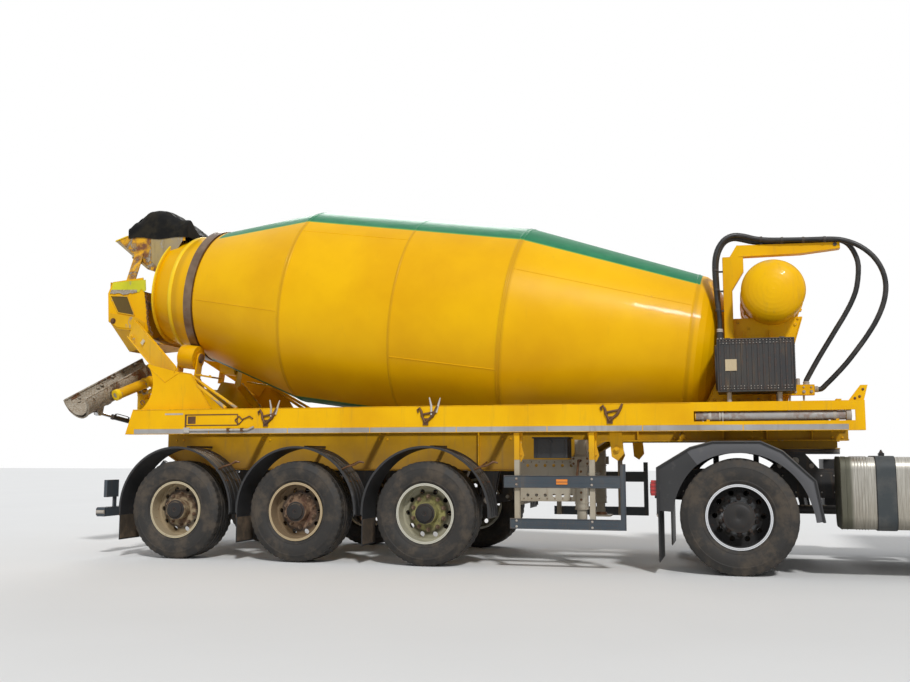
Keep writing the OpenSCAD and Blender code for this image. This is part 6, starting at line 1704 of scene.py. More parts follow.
def make_cooler_details():
    dark, rivets, fins, pale, dark_leg = shapes(5)
    x0, x1 = COOLER_X
    face = COOLER_Y[0] - 0.0085
    for z in (1.722, 1.745, 2.155, 2.18):
        dark.box((x0 + 0.005, x1 - 0.005), (COOLER_Y[0] - 0.004, COOLER_Y[0] + 0.002),
                 (z - 0.0015, z + 0.0015))
        for x in spaced(22, x0 + 0.03, 0.0305):
            rivets.rod(x, (COOLER_Y[0] + 0.001, COOLER_Y[0] - 0.004), z + 0.01, [0.0055, 0.004], 10)
    # Edge frame of the cover
    for z in (COOLER_Z[0] + 0.005, COOLER_Z[1] - 0.005):
        dark.rod((x0, x1), COOLER_Y[0] - 0.003, z, 0.0065, 8)
    for x in (x0 + 0.005, x1 - 0.005):
        dark.rod(x, COOLER_Y[0] - 0.003, (COOLER_Z[0], COOLER_Z[1]), 0.0065, 8)
    # Fin pack on the front face and the fan's guard on the rear one
    for z in spaced(40, COOLER_Z[0] + 0.04, 0.0108):
        fins.box((x1, x1 + 0.006), (COOLER_Y[0] + 0.03, COOLER_Y[1] - 0.03), (z, z + 0.004))
    guard = axis_matrix(at(x0 - 0.002, -0.87, 1.95), (-1, 0, 0))
    for r in spaced(9, 0.03, 0.022):
        dark.ring([(r - 0.002, 0.01), (r, 0.0125), (r + 0.002, 0.01), (r, 0.0075)], guard, 56)
    dark.ring([(0.205, -0.001), (0.215, 0.018), (0.222, 0.018), (0.225, -0.001)], guard, 64)
    for spoke in zip(circle(guard, 0.03, 0.01, 8), circle(guard, 0.21, 0.01, 8)):
        dark.tube(spoke, 0.0025, 6)
    # Blank label, lifting lugs and the top's filler
    pale.box((5.771, 5.876), (face - 0.0015, face), (1.9, 2.01))
    for x in (5.8, 6.3):
        dark.tube([at(x - 0.03, -0.87, 2.206), at(x - 0.02, -0.87, 2.235), at(x + 0.02, -0.87, 2.235),
                   at(x + 0.03, -0.87, 2.206)], 0.006, 8)
    cap = Matrix.Translation(at(6.2, -0.76, 2.205))
    dark.ring([(0.0, 0.03), (0.04, 0.029), (0.045, 0.022), (0.046, 0.0)], cap, 32, closed=False)
    for p in circle(cap, 0.046, 0.002, 12):
        dark.tube([p, p + Vector((0, 0, 0.022))], 0.004, 6)
    # Feet plates with bolts under the thin legs
    for x in (5.8, 6.26):
        for y in (-1.02, -0.72):
            rivets.box((x - 0.04, x + 0.04), (y - 0.04, y + 0.04), (1.568, 1.576))
            for dx, dy in ((-0.028, 0.028), (0.028, -0.028)):
                rivets.bolt(at(x + dx, y + dy, 1.576), (0, 0, 1), 0.008, 0.008)
            rivets.rod(x, y, (1.68, 1.7), 0.024, 16)
            dark_leg.rod(x, y, (1.577, 1.699), 0.0225, 16)
    # Nuts of the outlets
    for y in (-0.6, -0.67):
        rivets.rod(5.725, y, (2.232, 2.262), 0.0365, 6)
    dark.piece("cooler_frame", "frame_dark", angle=50)
    rivets.piece("cooler_rivets", "pale_steel", angle=50)
    dark_leg.piece("cooler_leg_sleeves", "pale_steel", angle=40)
    fins.piece("cooler_fins", "black_plastic", slot="dark_frame", smooth=False)
    pale.piece("cooler_blank_label", "blank_plate", smooth=False)


TANK_X = 6.24
TANK = Matrix.Translation(at(TANK_X, 0, 2.705)) @ Matrix.Rotation(math.radians(90), 4, "X")
TANK_R = 0.3


def make_tank_details():
    seams, straps, dark = shapes(3)
    for s in (-0.8, 0.8):
        profile = [(TANK_R, s - 0.006), (TANK_R + 0.0035, s - 0.003), (TANK_R + 0.0035, s + 0.003),
                   (TANK_R, s + 0.006)]
        seams.ring(profile, TANK, 96)
    seams.ring([(TANK_R, -0.003), (TANK_R + 0.003, -0.0015), (TANK_R + 0.003, 0.0015), (TANK_R, 0.003)], TANK,
               96)
    # Weld along the barrel, low at the rear
    points = [TANK @ Vector((TANK_R * math.cos(-2.2), TANK_R * math.sin(-2.2),
                             -0.79 + 1.58 * k / 20)) for k in range(21)]
    seams.tube(points, 0.0035, 6)
    # Strap edges, buckles and their bolts
    for y in (-0.33, 0.33):
        for s in (y - 0.034, y + 0.034):
            r = TANK_R + 0.006
            straps.ring([(r, s - 0.003), (r + 0.003, s - 0.002), (r + 0.003, s + 0.002), (r, s + 0.003)],
                        TANK, 80)
        for angle in (0.5, 2.64):
            p = TANK @ Vector((0.306 * math.cos(angle), -0.306 * math.sin(angle), -y))
            out = (p - (TANK @ Vector((0, 0, -y)))).normalized()
            across = Vector((0, 1, 0))
            turn = out.cross(across)
            for d in (-0.02, 0.02):
                straps.bolt(p + across * d + turn * 0.01, out, 0.01, 0.014)
            straps.tube([p - across * 0.034 + out * 0.006, p + across * 0.034 + out * 0.006], 0.009, 10)
    # Filler with its lid and hinge on top
    lid = Matrix.Translation(at(TANK_X, 0.12, 3.0))
    dark.ring([(0.07, 0.0), (0.07, 0.045), (0.082, 0.047), (0.082, 0.058), (0.0, 0.066)], lid, 48,
              closed=False)
    dark.rod(6.155, (0.09, 0.15), 3.052, 0.008, 10)
    dark.rod((6.322, 6.355), 0.12, (3.05, 3.045), 0.009, 10)
    # Drain with its cock
    dark.tube([at(TANK_X, -0.25, 2.41), at(TANK_X, -0.25, 2.34), at(TANK_X, -0.25, 2.3)], [0.03, 0.028, 0.02],
              16)
    dark.rod((6.2, 6.3), -0.25, 2.35, 0.007, 10)
    seams.piece("tank_seams", "yellow", angle=50)
    straps.piece("tank_strap_fittings", "yellow_crusted", angle=50)
    dark.piece("tank_fittings", "frame_dark", angle=40)


def make_boom_details():
    edge, clamps = shapes(2)
    # Welded cap strips on the mast's and the boom's edges
    for y in (-0.5625, -0.4665):
        edge.rod(5.772, y, (2.215, 3.09), 0.005, 8)
        edge.rod(5.853, y, (2.215, 2.75), 0.005, 8)
        edge.tube([at(5.93, y, 3.1), at(6.52, y, 3.102), at(6.88, y, 3.136)], 0.005, 8)
    # Mast's foot plate with bolts
    edge.box((5.745, 5.88), (-0.59, -0.44), (2.206, 2.218))
    for dx in (5.76, 5.865):
        for y in (-0.578, -0.452):
            clamps.bolt(at(dx, y, 2.218), (0, 0, 1), 0.009, 0.009)
    # Pivot pin at the boom's end
    pin = axis_matrix(at(6.845, -0.57, 3.175), (0, 1, 0))
    clamps.ring([(0.0, 0.0), (0.018, 0.0), (0.018, 0.115), (0.0, 0.115)], pin, 24, closed=False)
    # Clips that hold the two hoses over the boom and beside the mast
    for x in (6.15, 6.35, 6.55, 6.75):
        for y, route in ((-0.512, INNER_HOSE), (-0.582, OUTER_HOSE)):
            z = hose_height(route, x)
            ring = axis_matrix(at(x - 0.012, y, z), (1, 0, 0))
            clamps.ring([(CLIP_R, 0), (0.029, 0.001), (0.029, 0.023), (CLIP_R, 0.024)], ring, 32)
        clamps.box((x - 0.012, x + 0.012), (-0.56, -0.535), (3.2, 3.225))
    for z in (2.55, 2.75, 2.95):
        for y in (-0.6, -0.67):
            ring = Matrix.Translation(at(5.7 + (3.0 - z) * 0.03, y, z - 0.01))
            clamps.ring([(CLIP_R, 0), (0.029, 0.001), (0.029, 0.019), (CLIP_R, 0.02)], ring, 32)
        clamps.box((5.725, 5.772), (-0.58, -0.56), (z - 0.008, z + 0.008))
    edge.piece("boom_edges", "yellow", angle=50)
    clamps.piece("hose_clips", "frame_dark", angle=40)


# First point of both routes that lies over the boom
ROUTE_BOOM = 9


def hose_height(route, x):
    """Height of a hose where it passes x, from its route over the boom."""
    for (xa, _, za), (xb, _, zb) in zip(route[ROUTE_BOOM:], route[10:]):
        if xa / 1000 <= x <= xb / 1000:
            return (za + (zb - za) * (x * 1000 - xa) / (xb - xa)) / 1000
    return route[ROUTE_BOOM][2] / 1000


def make_ferrules():
    metal = Shape()
    for route in (INNER_HOSE, OUTER_HOSE):
        for first, second in ((route[0], route[1]), (route[-1], route[-2])):
            a = at(*(v / 1000 for v in first))
            way = (at(*(v / 1000 for v in second)) - a).normalized()
            m = axis_matrix(a, way, (0, 0.3, -1) if abs(way.z) < 0.9 else (1, 0, 0))
            metal.ring([(CLIP_R, 0.002), (0.031, 0.004), (0.031, 0.012), (0.028, 0.016), (0.031, 0.02),
                        (0.031, 0.03),
                        (0.028, 0.034), (CLIP_R, 0.036)], m, 32)
    # Valve block: plugs, solenoid caps and bolts
    for x in (6.34, 6.42, 6.5, 6.57):
        metal.bolt(at(x, -0.61, 1.72), (0, -1, 0), 0.012, 0.012)
        metal.bolt(at(x, -0.61, 1.765), (0, -1, 0), 0.009, 0.009, washer=False)
    for x in (6.36, 6.45):
        metal.tube([at(x, -0.56, 1.79), at(x, -0.56, 1.85), at(x, -0.56, 1.855)], [0.02, 0.02, 0.014], 20)
    metal.tube([at(6.5, -0.56, 1.69), at(6.5, -0.56, 1.6), at(6.4, -0.5, 1.57)], 0.011, 12)
    metal.tube([at(6.37, -0.57, 1.69), at(6.37, -0.57, 1.6), at(6.28, -0.5, 1.57)], 0.011, 12)
    metal.piece("hose_ends", "pale_steel", angle=40)


def make_front_stand_details():
    ribs, bits = shapes(2)
    for side in SIDES:
        out = (0, side, 0)
        y0 = side * 0.4625
        # Edge flanges and diagonal folds of the stand's plates
        for pts in (((5.565, 1.61), (5.855, 2.2), (5.855, 2.475)),
                    ((6.335, 1.61), (6.428, 2.19), (6.515, 2.47))):
            ribs.tube([at(x, y0, z) for x, z in pts], 0.007, 8)
        ribs.plate([(5.95, 1.62), (5.962, 1.62), (5.962, 2.35), (5.95, 2.35)], sided(side, 0.462, 0.5))
        ribs.plate([(6.2, 1.62), (6.212, 1.62), (6.212, 2.35), (6.2, 2.35)], sided(side, 0.462, 0.5))
        for x, z in ((5.65, 1.66), (5.75, 1.66), (5.88, 1.66), (6.08, 1.66), (6.28, 1.66), (5.9, 2.44),
                     (6.0, 2.38),
                     (6.45, 2.4), (6.48, 2.46)):
            bits.bolt(at(x, y0, z), out, 0.012, 0.011)
    # Chequered deck: raised bars in a pattern
    for i in range(22):
        for j in range(9):
            for side in (-1, 1):
                chequer(bits, i, j, (6.47 + 0.02 * i, side * (0.52 + 0.07 * j), 1.5685), 0.006, 0.006, 0.0018)
    ribs.piece("front_stand_ribs", "yellow", angle=50)
    bits.piece("front_stand_bolts", "yellow_crusted")


make_drive_details()
make_cooler_details()
make_tank_details()
make_boom_details()
make_ferrules()
make_front_stand_details()

# Tractor unit below the cab

GUARD_TOP = ((5.121, 0.56), (5.121, 0.985), (5.432, 1.173), (5.635, 1.228), (6.064, 1.228), (6.256, 1.138),
             (6.533, 0.872), (6.597, 0.5))


# Lower edge of the guard's side face: (degrees from forward, distance from the axle)
GUARD_INNER = ((-3, 0.672), (12, 0.646), (40, 0.622), (70, 0.6), (92, 0.59), (128, 0.6), (150, 0.59),
               (176, 0.59))
GUARD_DARK_FROM = 127
PIN_X = 6.404
FUEL_SECTION = ((-1.238, -0.63), (0.44, 1.09), 0.11)
FUEL_X = (6.745, 8.225)


def guard_reach(degrees):
    """How far the guard's outline lies from the drive axle at an angle."""
    c, s = math.cos(math.radians(degrees)), math.sin(math.radians(degrees))
    for (xa, za), (xb, zb) in zip(GUARD_TOP, GUARD_TOP[1:]):
        xa, xb = xa - DRIVE_AXLE[0], xb - DRIVE_AXLE[0]
        za, zb = za - DRIVE_AXLE[1], zb - DRIVE_AXLE[1]
        across_a, across_b = c * za - s * xa, c * zb - s * xb
        if across_a * across_b <= 0 and across_a != across_b:
            k = across_a / (across_a - across_b)
            reach = c * (xa + (xb - xa) * k) + s * (za + (zb - za) * k)
            if reach > 0:
                return reach
    return 0.7


def guard_inner(degrees):
    for (a, ra), (b, rb) in zip(GUARD_INNER, GUARD_INNER[1:]):
        if degrees <= b:
            return ra + (rb - ra) * max(0.0, degrees - a) / (b - a)
    return GUARD_INNER[-1][1]


def add_guard_face(shape, start, end, side):
    """Pressed side face of the drive guard, crowned between its two edges."""
    grid = []
    for degrees in range(start, end + 1):
        c, s = math.cos(math.radians(degrees)), math.sin(math.radians(degrees))
        low, high = guard_inner(degrees), guard_reach(degrees) - 0.006
        row = []
        for j in range(9):
            t = j / 8
            r = low + (high - low) * t
            y = 1.2405 + 0.006 * math.sin(math.pi * t)
            row.append(at(DRIVE_AXLE[0] + r * c, side * y, DRIVE_AXLE[1] + r * s))
        grid.append(row if side > 0 else row[::-1])
    shape.sheet(grid, 0.004)


def line_points(outline, y):
    return [at(x, y, z) for x, z in outline]


def make_drive_guard_details():
    lip, grey, bits, red, amber, flaps = shapes(6)
    for side in SIDES:
        # Rolled lips along both edges, and the lighter pressed arch on top
        for y in (1.246, 0.605):
            lip.tube(line_points(GUARD_TOP, side * y), 0.011, 8)
        for y0, y1 in ((0.66, 0.9), (0.94, 1.2)):
            grid = []
            for i in range(2, 6):
                a, b = GUARD_TOP[i], GUARD_TOP[i + 1]
                for k in range(8 if i < 5 else 9):
                    t = k / 8
                    x, z = a[0] + (b[0] - a[0]) * t, a[1] + (b[1] - a[1]) * t
                    row = []
                    for j in range(9):
                        y = y0 + (y1 - y0) * j / 8
                        rise = 0.01 * min(1, 6 * min(j, 8 - j) / 8)
                        row.append(at(x, side * y, z + rise))
                    grid.append(row if side > 0 else row[::-1])
            grey.sheet(grid, 0.004)
        for a, b in zip(GUARD_TOP[1:], GUARD_TOP[2:]):
            bits.bolt(at((a[0] + b[0]) / 2, side * 1.225, (a[1] + b[1]) / 2 + 0.002), (0, 0, 1), 0.009, 0.008)
        # Side face: lighter over the wheel and down the front leg, dark at the rear
        add_guard_face(grey, -3, GUARD_DARK_FROM, side)
        add_guard_face(lip, GUARD_DARK_FROM, 176, side)
        # Spray flap behind the wheels, its ribs and its clamp strip
        for y in spaced(29, 0.605, 0.0222):
            flaps.box((5.122, 5.127), sided(side, y, y + 0.012), (0.12, 0.53))
        bits.box((5.112, 5.1215), sided(side, 0.6, 1.245), (0.53, 0.57))
        for k in range(8):
            bits.bolt(at(5.112, side * (0.63 + 0.08 * k), 0.55), (-1, 0, 0), 0.009, 0.008)
        # Rear lamp: housing rim, three lenses, side marker
        x = 5.0585
        for up in ((0.729, 0.741), (0.838, 0.85)):
            lip.box((x - 0.006, x + 0.003), sided(side, 0.9, 1.2), up)
        for y0, y1, shape in ((0.908, 0.985, red), (0.99, 1.06, amber), (1.065, 1.192, red)):
            shape.box((x - 0.009, x), sided(side, y0, y1), (0.743, 0.836))
            for z in spaced(6, 0.75, 0.0155):
                shape.box((x - 0.0115, x - 0.008), sided(side, y0 + 0.004, y1 - 0.004), (z, z + 0.006))
        red.box((5.06, 5.112), sided(side, 1.1995, 1.215), (0.725, 0.87))
    lip.piece("drive_guard_lips", "black_plastic", "tractor", angle=50)
    grey.piece("drive_guard_tops", "guard_grey", "tractor", "black_plastic", angle=50)
    bits.piece("drive_guard_bolts", "pale_steel", "tractor")
    red.piece("tractor_red_lenses", "red_lamp", "tractor", bevel=0.0008)
    amber.piece("tractor_amber_lenses", "amber_lamp", "tractor", bevel=0.0008)
    flaps.piece("drive_flap_ribs", "flap", "tractor")


def make_tractor_frame_details():
    dark, metal, rubber, cast = shapes(4)
    for side in SIDES:
        out = (0, side, 0)
        # Rows of frame bolts and riveted doubling plates
        for k in range(44):
            for z in (0.745, 0.905):
                if k % 4 < 3:
                    metal.bolt(at(5.2 + 0.12 * k, side * 0.4352, z), out, 0.009, 0.009, washer=False)
        for along in ((5.5, 6.75), (8.9, 9.5)):
            dark.box(along, sided(side, 0.4348, 0.441), (0.715, 0.935))
        # Air springs' folds over the drive axle
        for dx in (-0.37, 0.37):
            m = Matrix.Translation(at(DRIVE_AXLE[0] + dx, side * 0.38, 0))
            for z in (0.575, 0.622, 0.67):
                rubber.ring([(0.0955, z - 0.02), (0.106, z - 0.014), (0.112, z), (0.106, z + 0.014),
                             (0.0955, z + 0.02)], m, 44)
        # Front leaf pack: lower leaves, clamps and U-bolts
        for k in range(3):
            half = 0.62 - 0.17 * k
            z = FRONT_AXLE[1] - 0.05 - 0.033 - 0.013 * k
            cast.tube([at(FRONT_AXLE[0] - half, side * LEAF_Y, z + 0.055 * half),
                       at(FRONT_AXLE[0], side * LEAF_Y, z),
                       at(FRONT_AXLE[0] + half, side * LEAF_Y, z + 0.055 * half)], 0.006, 8)
        for dx in (-0.09, 0.09):
            for dy in (-0.045, 0.045):
                metal.rod(FRONT_AXLE[0] + dx, side * (LEAF_Y + dy), (FRONT_AXLE[1] - 0.19, FRONT_AXLE[1]),
                          0.01, 10)
        # Shock absorbers front and rear
        for x, y in ((FRONT_AXLE[0] - 0.16, 0.33), (DRIVE_AXLE[0] + 0.2, 0.29)):
            dark.rod((x, x + 0.04), side * y, (0.43, 0.66), 0.03, 18)
            metal.rod((x + 0.04, x + 0.06), side * y, (0.66, 0.8), 0.013, 12)
            dark.rod((x + 0.03, x + 0.06), side * y, (0.6, 0.79), 0.037, 18)
        # Brake chambers of the drive axle
        chamber = axis_matrix(at(DRIVE_AXLE[0] + 0.25, side * 0.5, 0.6), (-1, 0, -0.1))
        cast.ring([(0.0, -0.14), (0.05, -0.138), (0.082, -0.1), (0.085, 0.0), (0.085, 0.03), (0.05, 0.06),
                   (0.0, 0.062)],
                  chamber, 40, closed=False)
        metal.ring([(0.085, -0.04), (0.095, -0.038), (0.095, -0.018), (0.085, -0.016)], chamber, 40)
        # Air tanks between the frame and the deck plates
        tank = axis_matrix(at(7.15, side * 0.24, 0.6), (1, 0, 0))
        dark.ring([(0.0, -0.02), (0.06, -0.015), (0.11, 0.01), (0.118, 0.05), (0.118, 0.55), (0.11, 0.59),
                   (0.06, 0.615),
                   (0.0, 0.62)], tank, 56, closed=False)
        for s in (0.12, 0.46):
            metal.ring([(0.1182, s), (0.1215, s + 0.001), (0.1215, s + 0.024), (0.1182, s + 0.025)], tank, 56)
            metal.box((7.15 + s, 7.15 + s + 0.025), sided(side, 0.34, 0.366), (0.6, 0.74))
    # Differential cover's ribs and bolts
    cover = axis_matrix(at(DRIVE_AXLE[0] - 0.02, 0, DRIVE_AXLE[1]), (-1, 0, 0))
    cast.ring([(0.15, 0.112), (0.205, 0.06), (0.21, 0.02), (0.205, 0.0), (0.15, 0.0)], cover, 56)
    for spot in circle(cover, 0.186, 0.085, 14):
        metal.bolt(spot, (-1, 0, 0), 0.012, 0.012)
    # Shaft's universal joints
    for x in (6.1, 7.3, 8.6):
        m = axis_matrix(at(x, 0, 0.556), (1, 0, 0))
        cast.ring([(0.0452, 0), (0.062, 0.01), (0.07, 0.03), (0.07, 0.07), (0.062, 0.09), (0.0452, 0.1)], m,
                  40)
        for spot in circle(m, 0.056, 0.085, 8):
            metal.bolt(spot, (1, 0, 0), 0.008, 0.009)
    # Fifth wheel: greased face ribs, jaws, lever and its rim
    wheel = Matrix.Translation(at(PIN_X, 0, 0))
    for k in range(40):
        a = math.radians(35 + 290 * k / 39)
        b = math.radians(35 + 290 * (k + 1) / 39)
        cast.tube([wheel @ Vector((0.452 * -math.cos(a), 0.452 * math.sin(a), 1.145)),
                   wheel @ Vector((0.452 * -math.cos(b), 0.452 * math.sin(b), 1.145))], 0.006, 6)
    metal.tube([at(6.3, -0.4, 1.09), at(6.32, -0.55, 1.09), at(6.28, -0.6, 1.08)], 0.012, 10)
    for side in SIDES:
        for dx in (-0.15, 0.15):
            metal.bolt(at(PIN_X + dx, side * 0.4255, 1.0), (0, side, 0), 0.018, 0.016)
        metal.rod(PIN_X, (side * 0.42, side * 0.45), 1.05, 0.036, 24)
    # Chequered catwalk behind the cab
    dark.box((8.05, 8.62), (-0.43, 0.43), (0.9605, 0.972))
    for i in range(13):
        for j in range(18):
            chequer(metal, i, j, (8.08 + 0.042 * i, -0.4 + 0.047 * j, 0.973), 0.008, 0.008, 0.002)
    # Air couplings on their bracket behind the cab
    dark.box((8.66, 8.68), (-0.3, 0.3), (1.0, 1.16))
    for y in (-0.2, -0.07, 0.07, 0.2):
        metal.rod((8.66, 8.62), y, 1.08, 0.022, 20)
        cast.rod((8.62, 8.6), y, 1.08, 0.03, 20)
    dark.box((8.655, 8.685), (-0.04, 0.04), (0.96, 1.0))
    dark.piece("frame_plates", "frame_dark", "tractor", bevel=0.001)
    metal.piece("frame_bolts", "pale_steel", "tractor")
    rubber.piece("drive_spring_folds", "black_rubber", "tractor", angle=60)
    cast.piece("axle_castings", "worn_steel", "tractor", angle=50)


def section_point(y, z, r, k, steps, grow):
    """Point round a tank's rounded section, k of 4 * steps."""
    corner, i = divmod(k, steps + 1)
    cy = (y[1] - r, y[0] + r, y[0] + r, y[1] - r)[corner]
    cz = (z[1] - r, z[1] - r, z[0] + r, z[0] + r)[corner]
    a = math.radians(90 * corner + 90 * i / steps)
    return cy + (r + grow) * math.cos(a), cz + (r + grow) * math.sin(a)


def section_bead(shape, x, y, z, r, radius, grow):
    points = []
    for k in range(4 * 9):
        py, pz = section_point(y, z, r, k, 8, grow)
        points.append(at(x, py, pz))
    points.append(points[0])
    shape.tube(points, radius, 6, caps=False)


def section_band(shape, x, y, z, r, grow):
    """Wide strap round a tank's rounded section, from x[0] to x[1]."""
    grid = []
    for k in range(4 * 9 + 1):
        py, pz = section_point(y, z, r, k % 36, 8, grow)
        grid.append([at(x[0], py, pz), at(x[1], py, pz)])
    shape.sheet(grid, 0.002)


def make_fuel_tank_details():
    beads, straps, strap, cap = shapes(4)
    x0, x1 = FUEL_X
    for x in (x0 + 0.004, x1 - 0.004, x0 + 0.05, x1 - 0.05):
        section_bead(beads, x, *FUEL_SECTION, 0.0045, -0.0005)
    # Pressed ribs at the tank's rear part
    for x in (6.87, 6.895, 6.92, 6.945, 6.97):
        section_bead(beads, x, *FUEL_SECTION, 0.0045, 0.0)
    # Rubber under the straps shows as a dark line on both sides, with the strap's bolts
    for x in (7.125, 7.885):
        for dx in (-0.08, 0.08):
            section_bead(strap, x + dx, *FUEL_SECTION, 0.006, 0.003)
        section_band(straps, (x - 0.078, x + 0.078), *FUEL_SECTION, 0.0095)
        strap.box((x + 0.01, x + 0.06), (-0.72, -0.66), (1.095, 1.125))
        cap.rod(x + 0.035, -0.69, (1.1, 1.155), 0.009, 10)
        cap.bolt(at(x + 0.035, -0.69, 1.125), (0, 0, 1), 0.016, 0.016)
    # Cap with its grip ribs, level sender and drain plug
    m = Matrix.Translation(at(8.075, -1.05, 1.135))
    cap.ring([(0.056, -0.005), (0.064, 0.0), (0.064, 0.028), (0.055, 0.036), (0.0, 0.038)], m, 48,
             closed=False)
    for p in circle(m, 0.0645, 0.002, 20):
        cap.tube([p, p + Vector((0, 0, 0.024))], 0.0035, 6)
    sender = Matrix.Translation(at(7.5, -0.9, 1.09))
    cap.ring([(0.0, 0.016), (0.035, 0.015), (0.04, 0.008), (0.04, 0.0)], sender, 32, closed=False)
    for spot in circle(sender, 0.032, 0.012, 6):
        cap.bolt(spot, (0, 0, 1), 0.005, 0.005, washer=False)
    cap.bolt(at(7.5, -0.9, 0.44), (0, 0, -1), 0.018, 0.014)
    beads.piece("fuel_tank_beads", "aluminium", "tractor", "tank_aluminium", angle=50)
    straps.piece("fuel_tank_straps", "strap_rubber", "tractor", "black_rubber", angle=50)
    strap.piece("fuel_tank_rubbers", "black_rubber", "tractor", angle=50)
    cap.piece("fuel_tank_fittings", "frame_dark", "tractor", angle=40)


def make_battery_details():
    dark, metal = shapes(2)
    # Lid seams, its latches, ribs; heat shield with rows of slots; outlet pipe
    y1 = 1.2445
    for x0, x1, z0, z1 in ((6.745, 7.305, 0.48, 1.06), (7.365, 8.225, 0.44, 0.9)):
        for z in (z0 + 0.008, z1 - 0.008):
            dark.rod((x0, x1), y1, z, 0.006, 8)
        for x in (x0 + 0.008, x1 - 0.008):
            dark.rod(x, y1, (z0, z1), 0.006, 8)
    dark.rod((6.745, 7.305), y1 + 0.0005, 0.9, 0.0035, 6)
    for x in spaced(9, 6.79, 0.059):
        dark.box((x, x + 0.03), (1.243, 1.2492), (0.53, 0.86))
    for x in (6.86, 7.19):
        metal.box((x - 0.02, x + 0.02), (1.243, 1.2496), (0.875, 0.93))
        metal.rod((x - 0.014, x + 0.014), 1.247, 0.9, 0.0035, 8)
    for i in range(11):
        for j in range(9):
            x, z = 7.42 + 0.073 * i, 0.49 + 0.044 * j
            metal.box((x, x + 0.05), (1.2435, 1.2462), (z, z + 0.02))
    metal.tube([at(8.1, 1.0, 0.44), at(8.1, 1.03, 0.4), at(8.1, 1.1, 0.36)], 0.05, 24)
    # Steps on the lid, with raised tread bars
    for j in range(8):
        for i in range(10):
            chequer(metal, i, j, (6.79 + 0.052 * i, 0.72 + 0.062 * j, 1.061), 0.009, 0.008, 0.002)
    dark.piece("box_seams", "black_plastic", "tractor", angle=50)
    metal.piece("box_shields", "pale_steel", "tractor", angle=40)


def make_steering_details():
    for name, side in each_side():
        cast, metal = shapes(2)
        # Steering arm and the kingpin's caps
        y0 = side * 0.83
        cast.tube([at(FRONT_AXLE[0], y0, 0.45), at(9.42, side * 0.79, 0.44), at(9.33, side * 0.77, 0.44)],
                  [0.03, 0.026, 0.024], 14)
        for z in (0.656, 0.416):
            way = 1 if z > 0.5 else -1
            cap = axis_matrix(at(FRONT_AXLE[0], y0, z), (0, 0, way), (1, 0, 0))
            metal.ring([(0.0, 0.012), (0.03, 0.011), (0.04, 0.005), (0.042, 0.0)], cap, 32, closed=False)
            for spot in circle(cap, 0.033, 0.006, 4, 0.5):
                metal.bolt(spot, (0, 0, way), 0.006, 0.006)
        cast.piece("steering_arm_" + name, "worn_steel", "knuckle_" + name, angle=50)
        metal.piece("kingpin_caps_" + name, "pale_steel", "knuckle_" + name, angle=50)


make_drive_guard_details()
make_tractor_frame_details()
make_fuel_tank_details()
make_battery_details()
make_steering_details()

# Cab

CAB_SCREEN_Z = (1.84, 2.71)
CAB_SCREEN_Y = 0.995
GRAB_RAIL_X = 9.735
SEAT_Y = 0.67
DOOR_HANDLE_Y = 1.267


def cab_front_at(z):
    """Front face of the cab at a height."""
    if z < 1.65:
        return 10.95
    if z < 1.76:
        return 10.95 - 0.02 * (z - 1.65) / 0.11
    return 10.93 - 0.23 * (z - 1.76) / 1.04


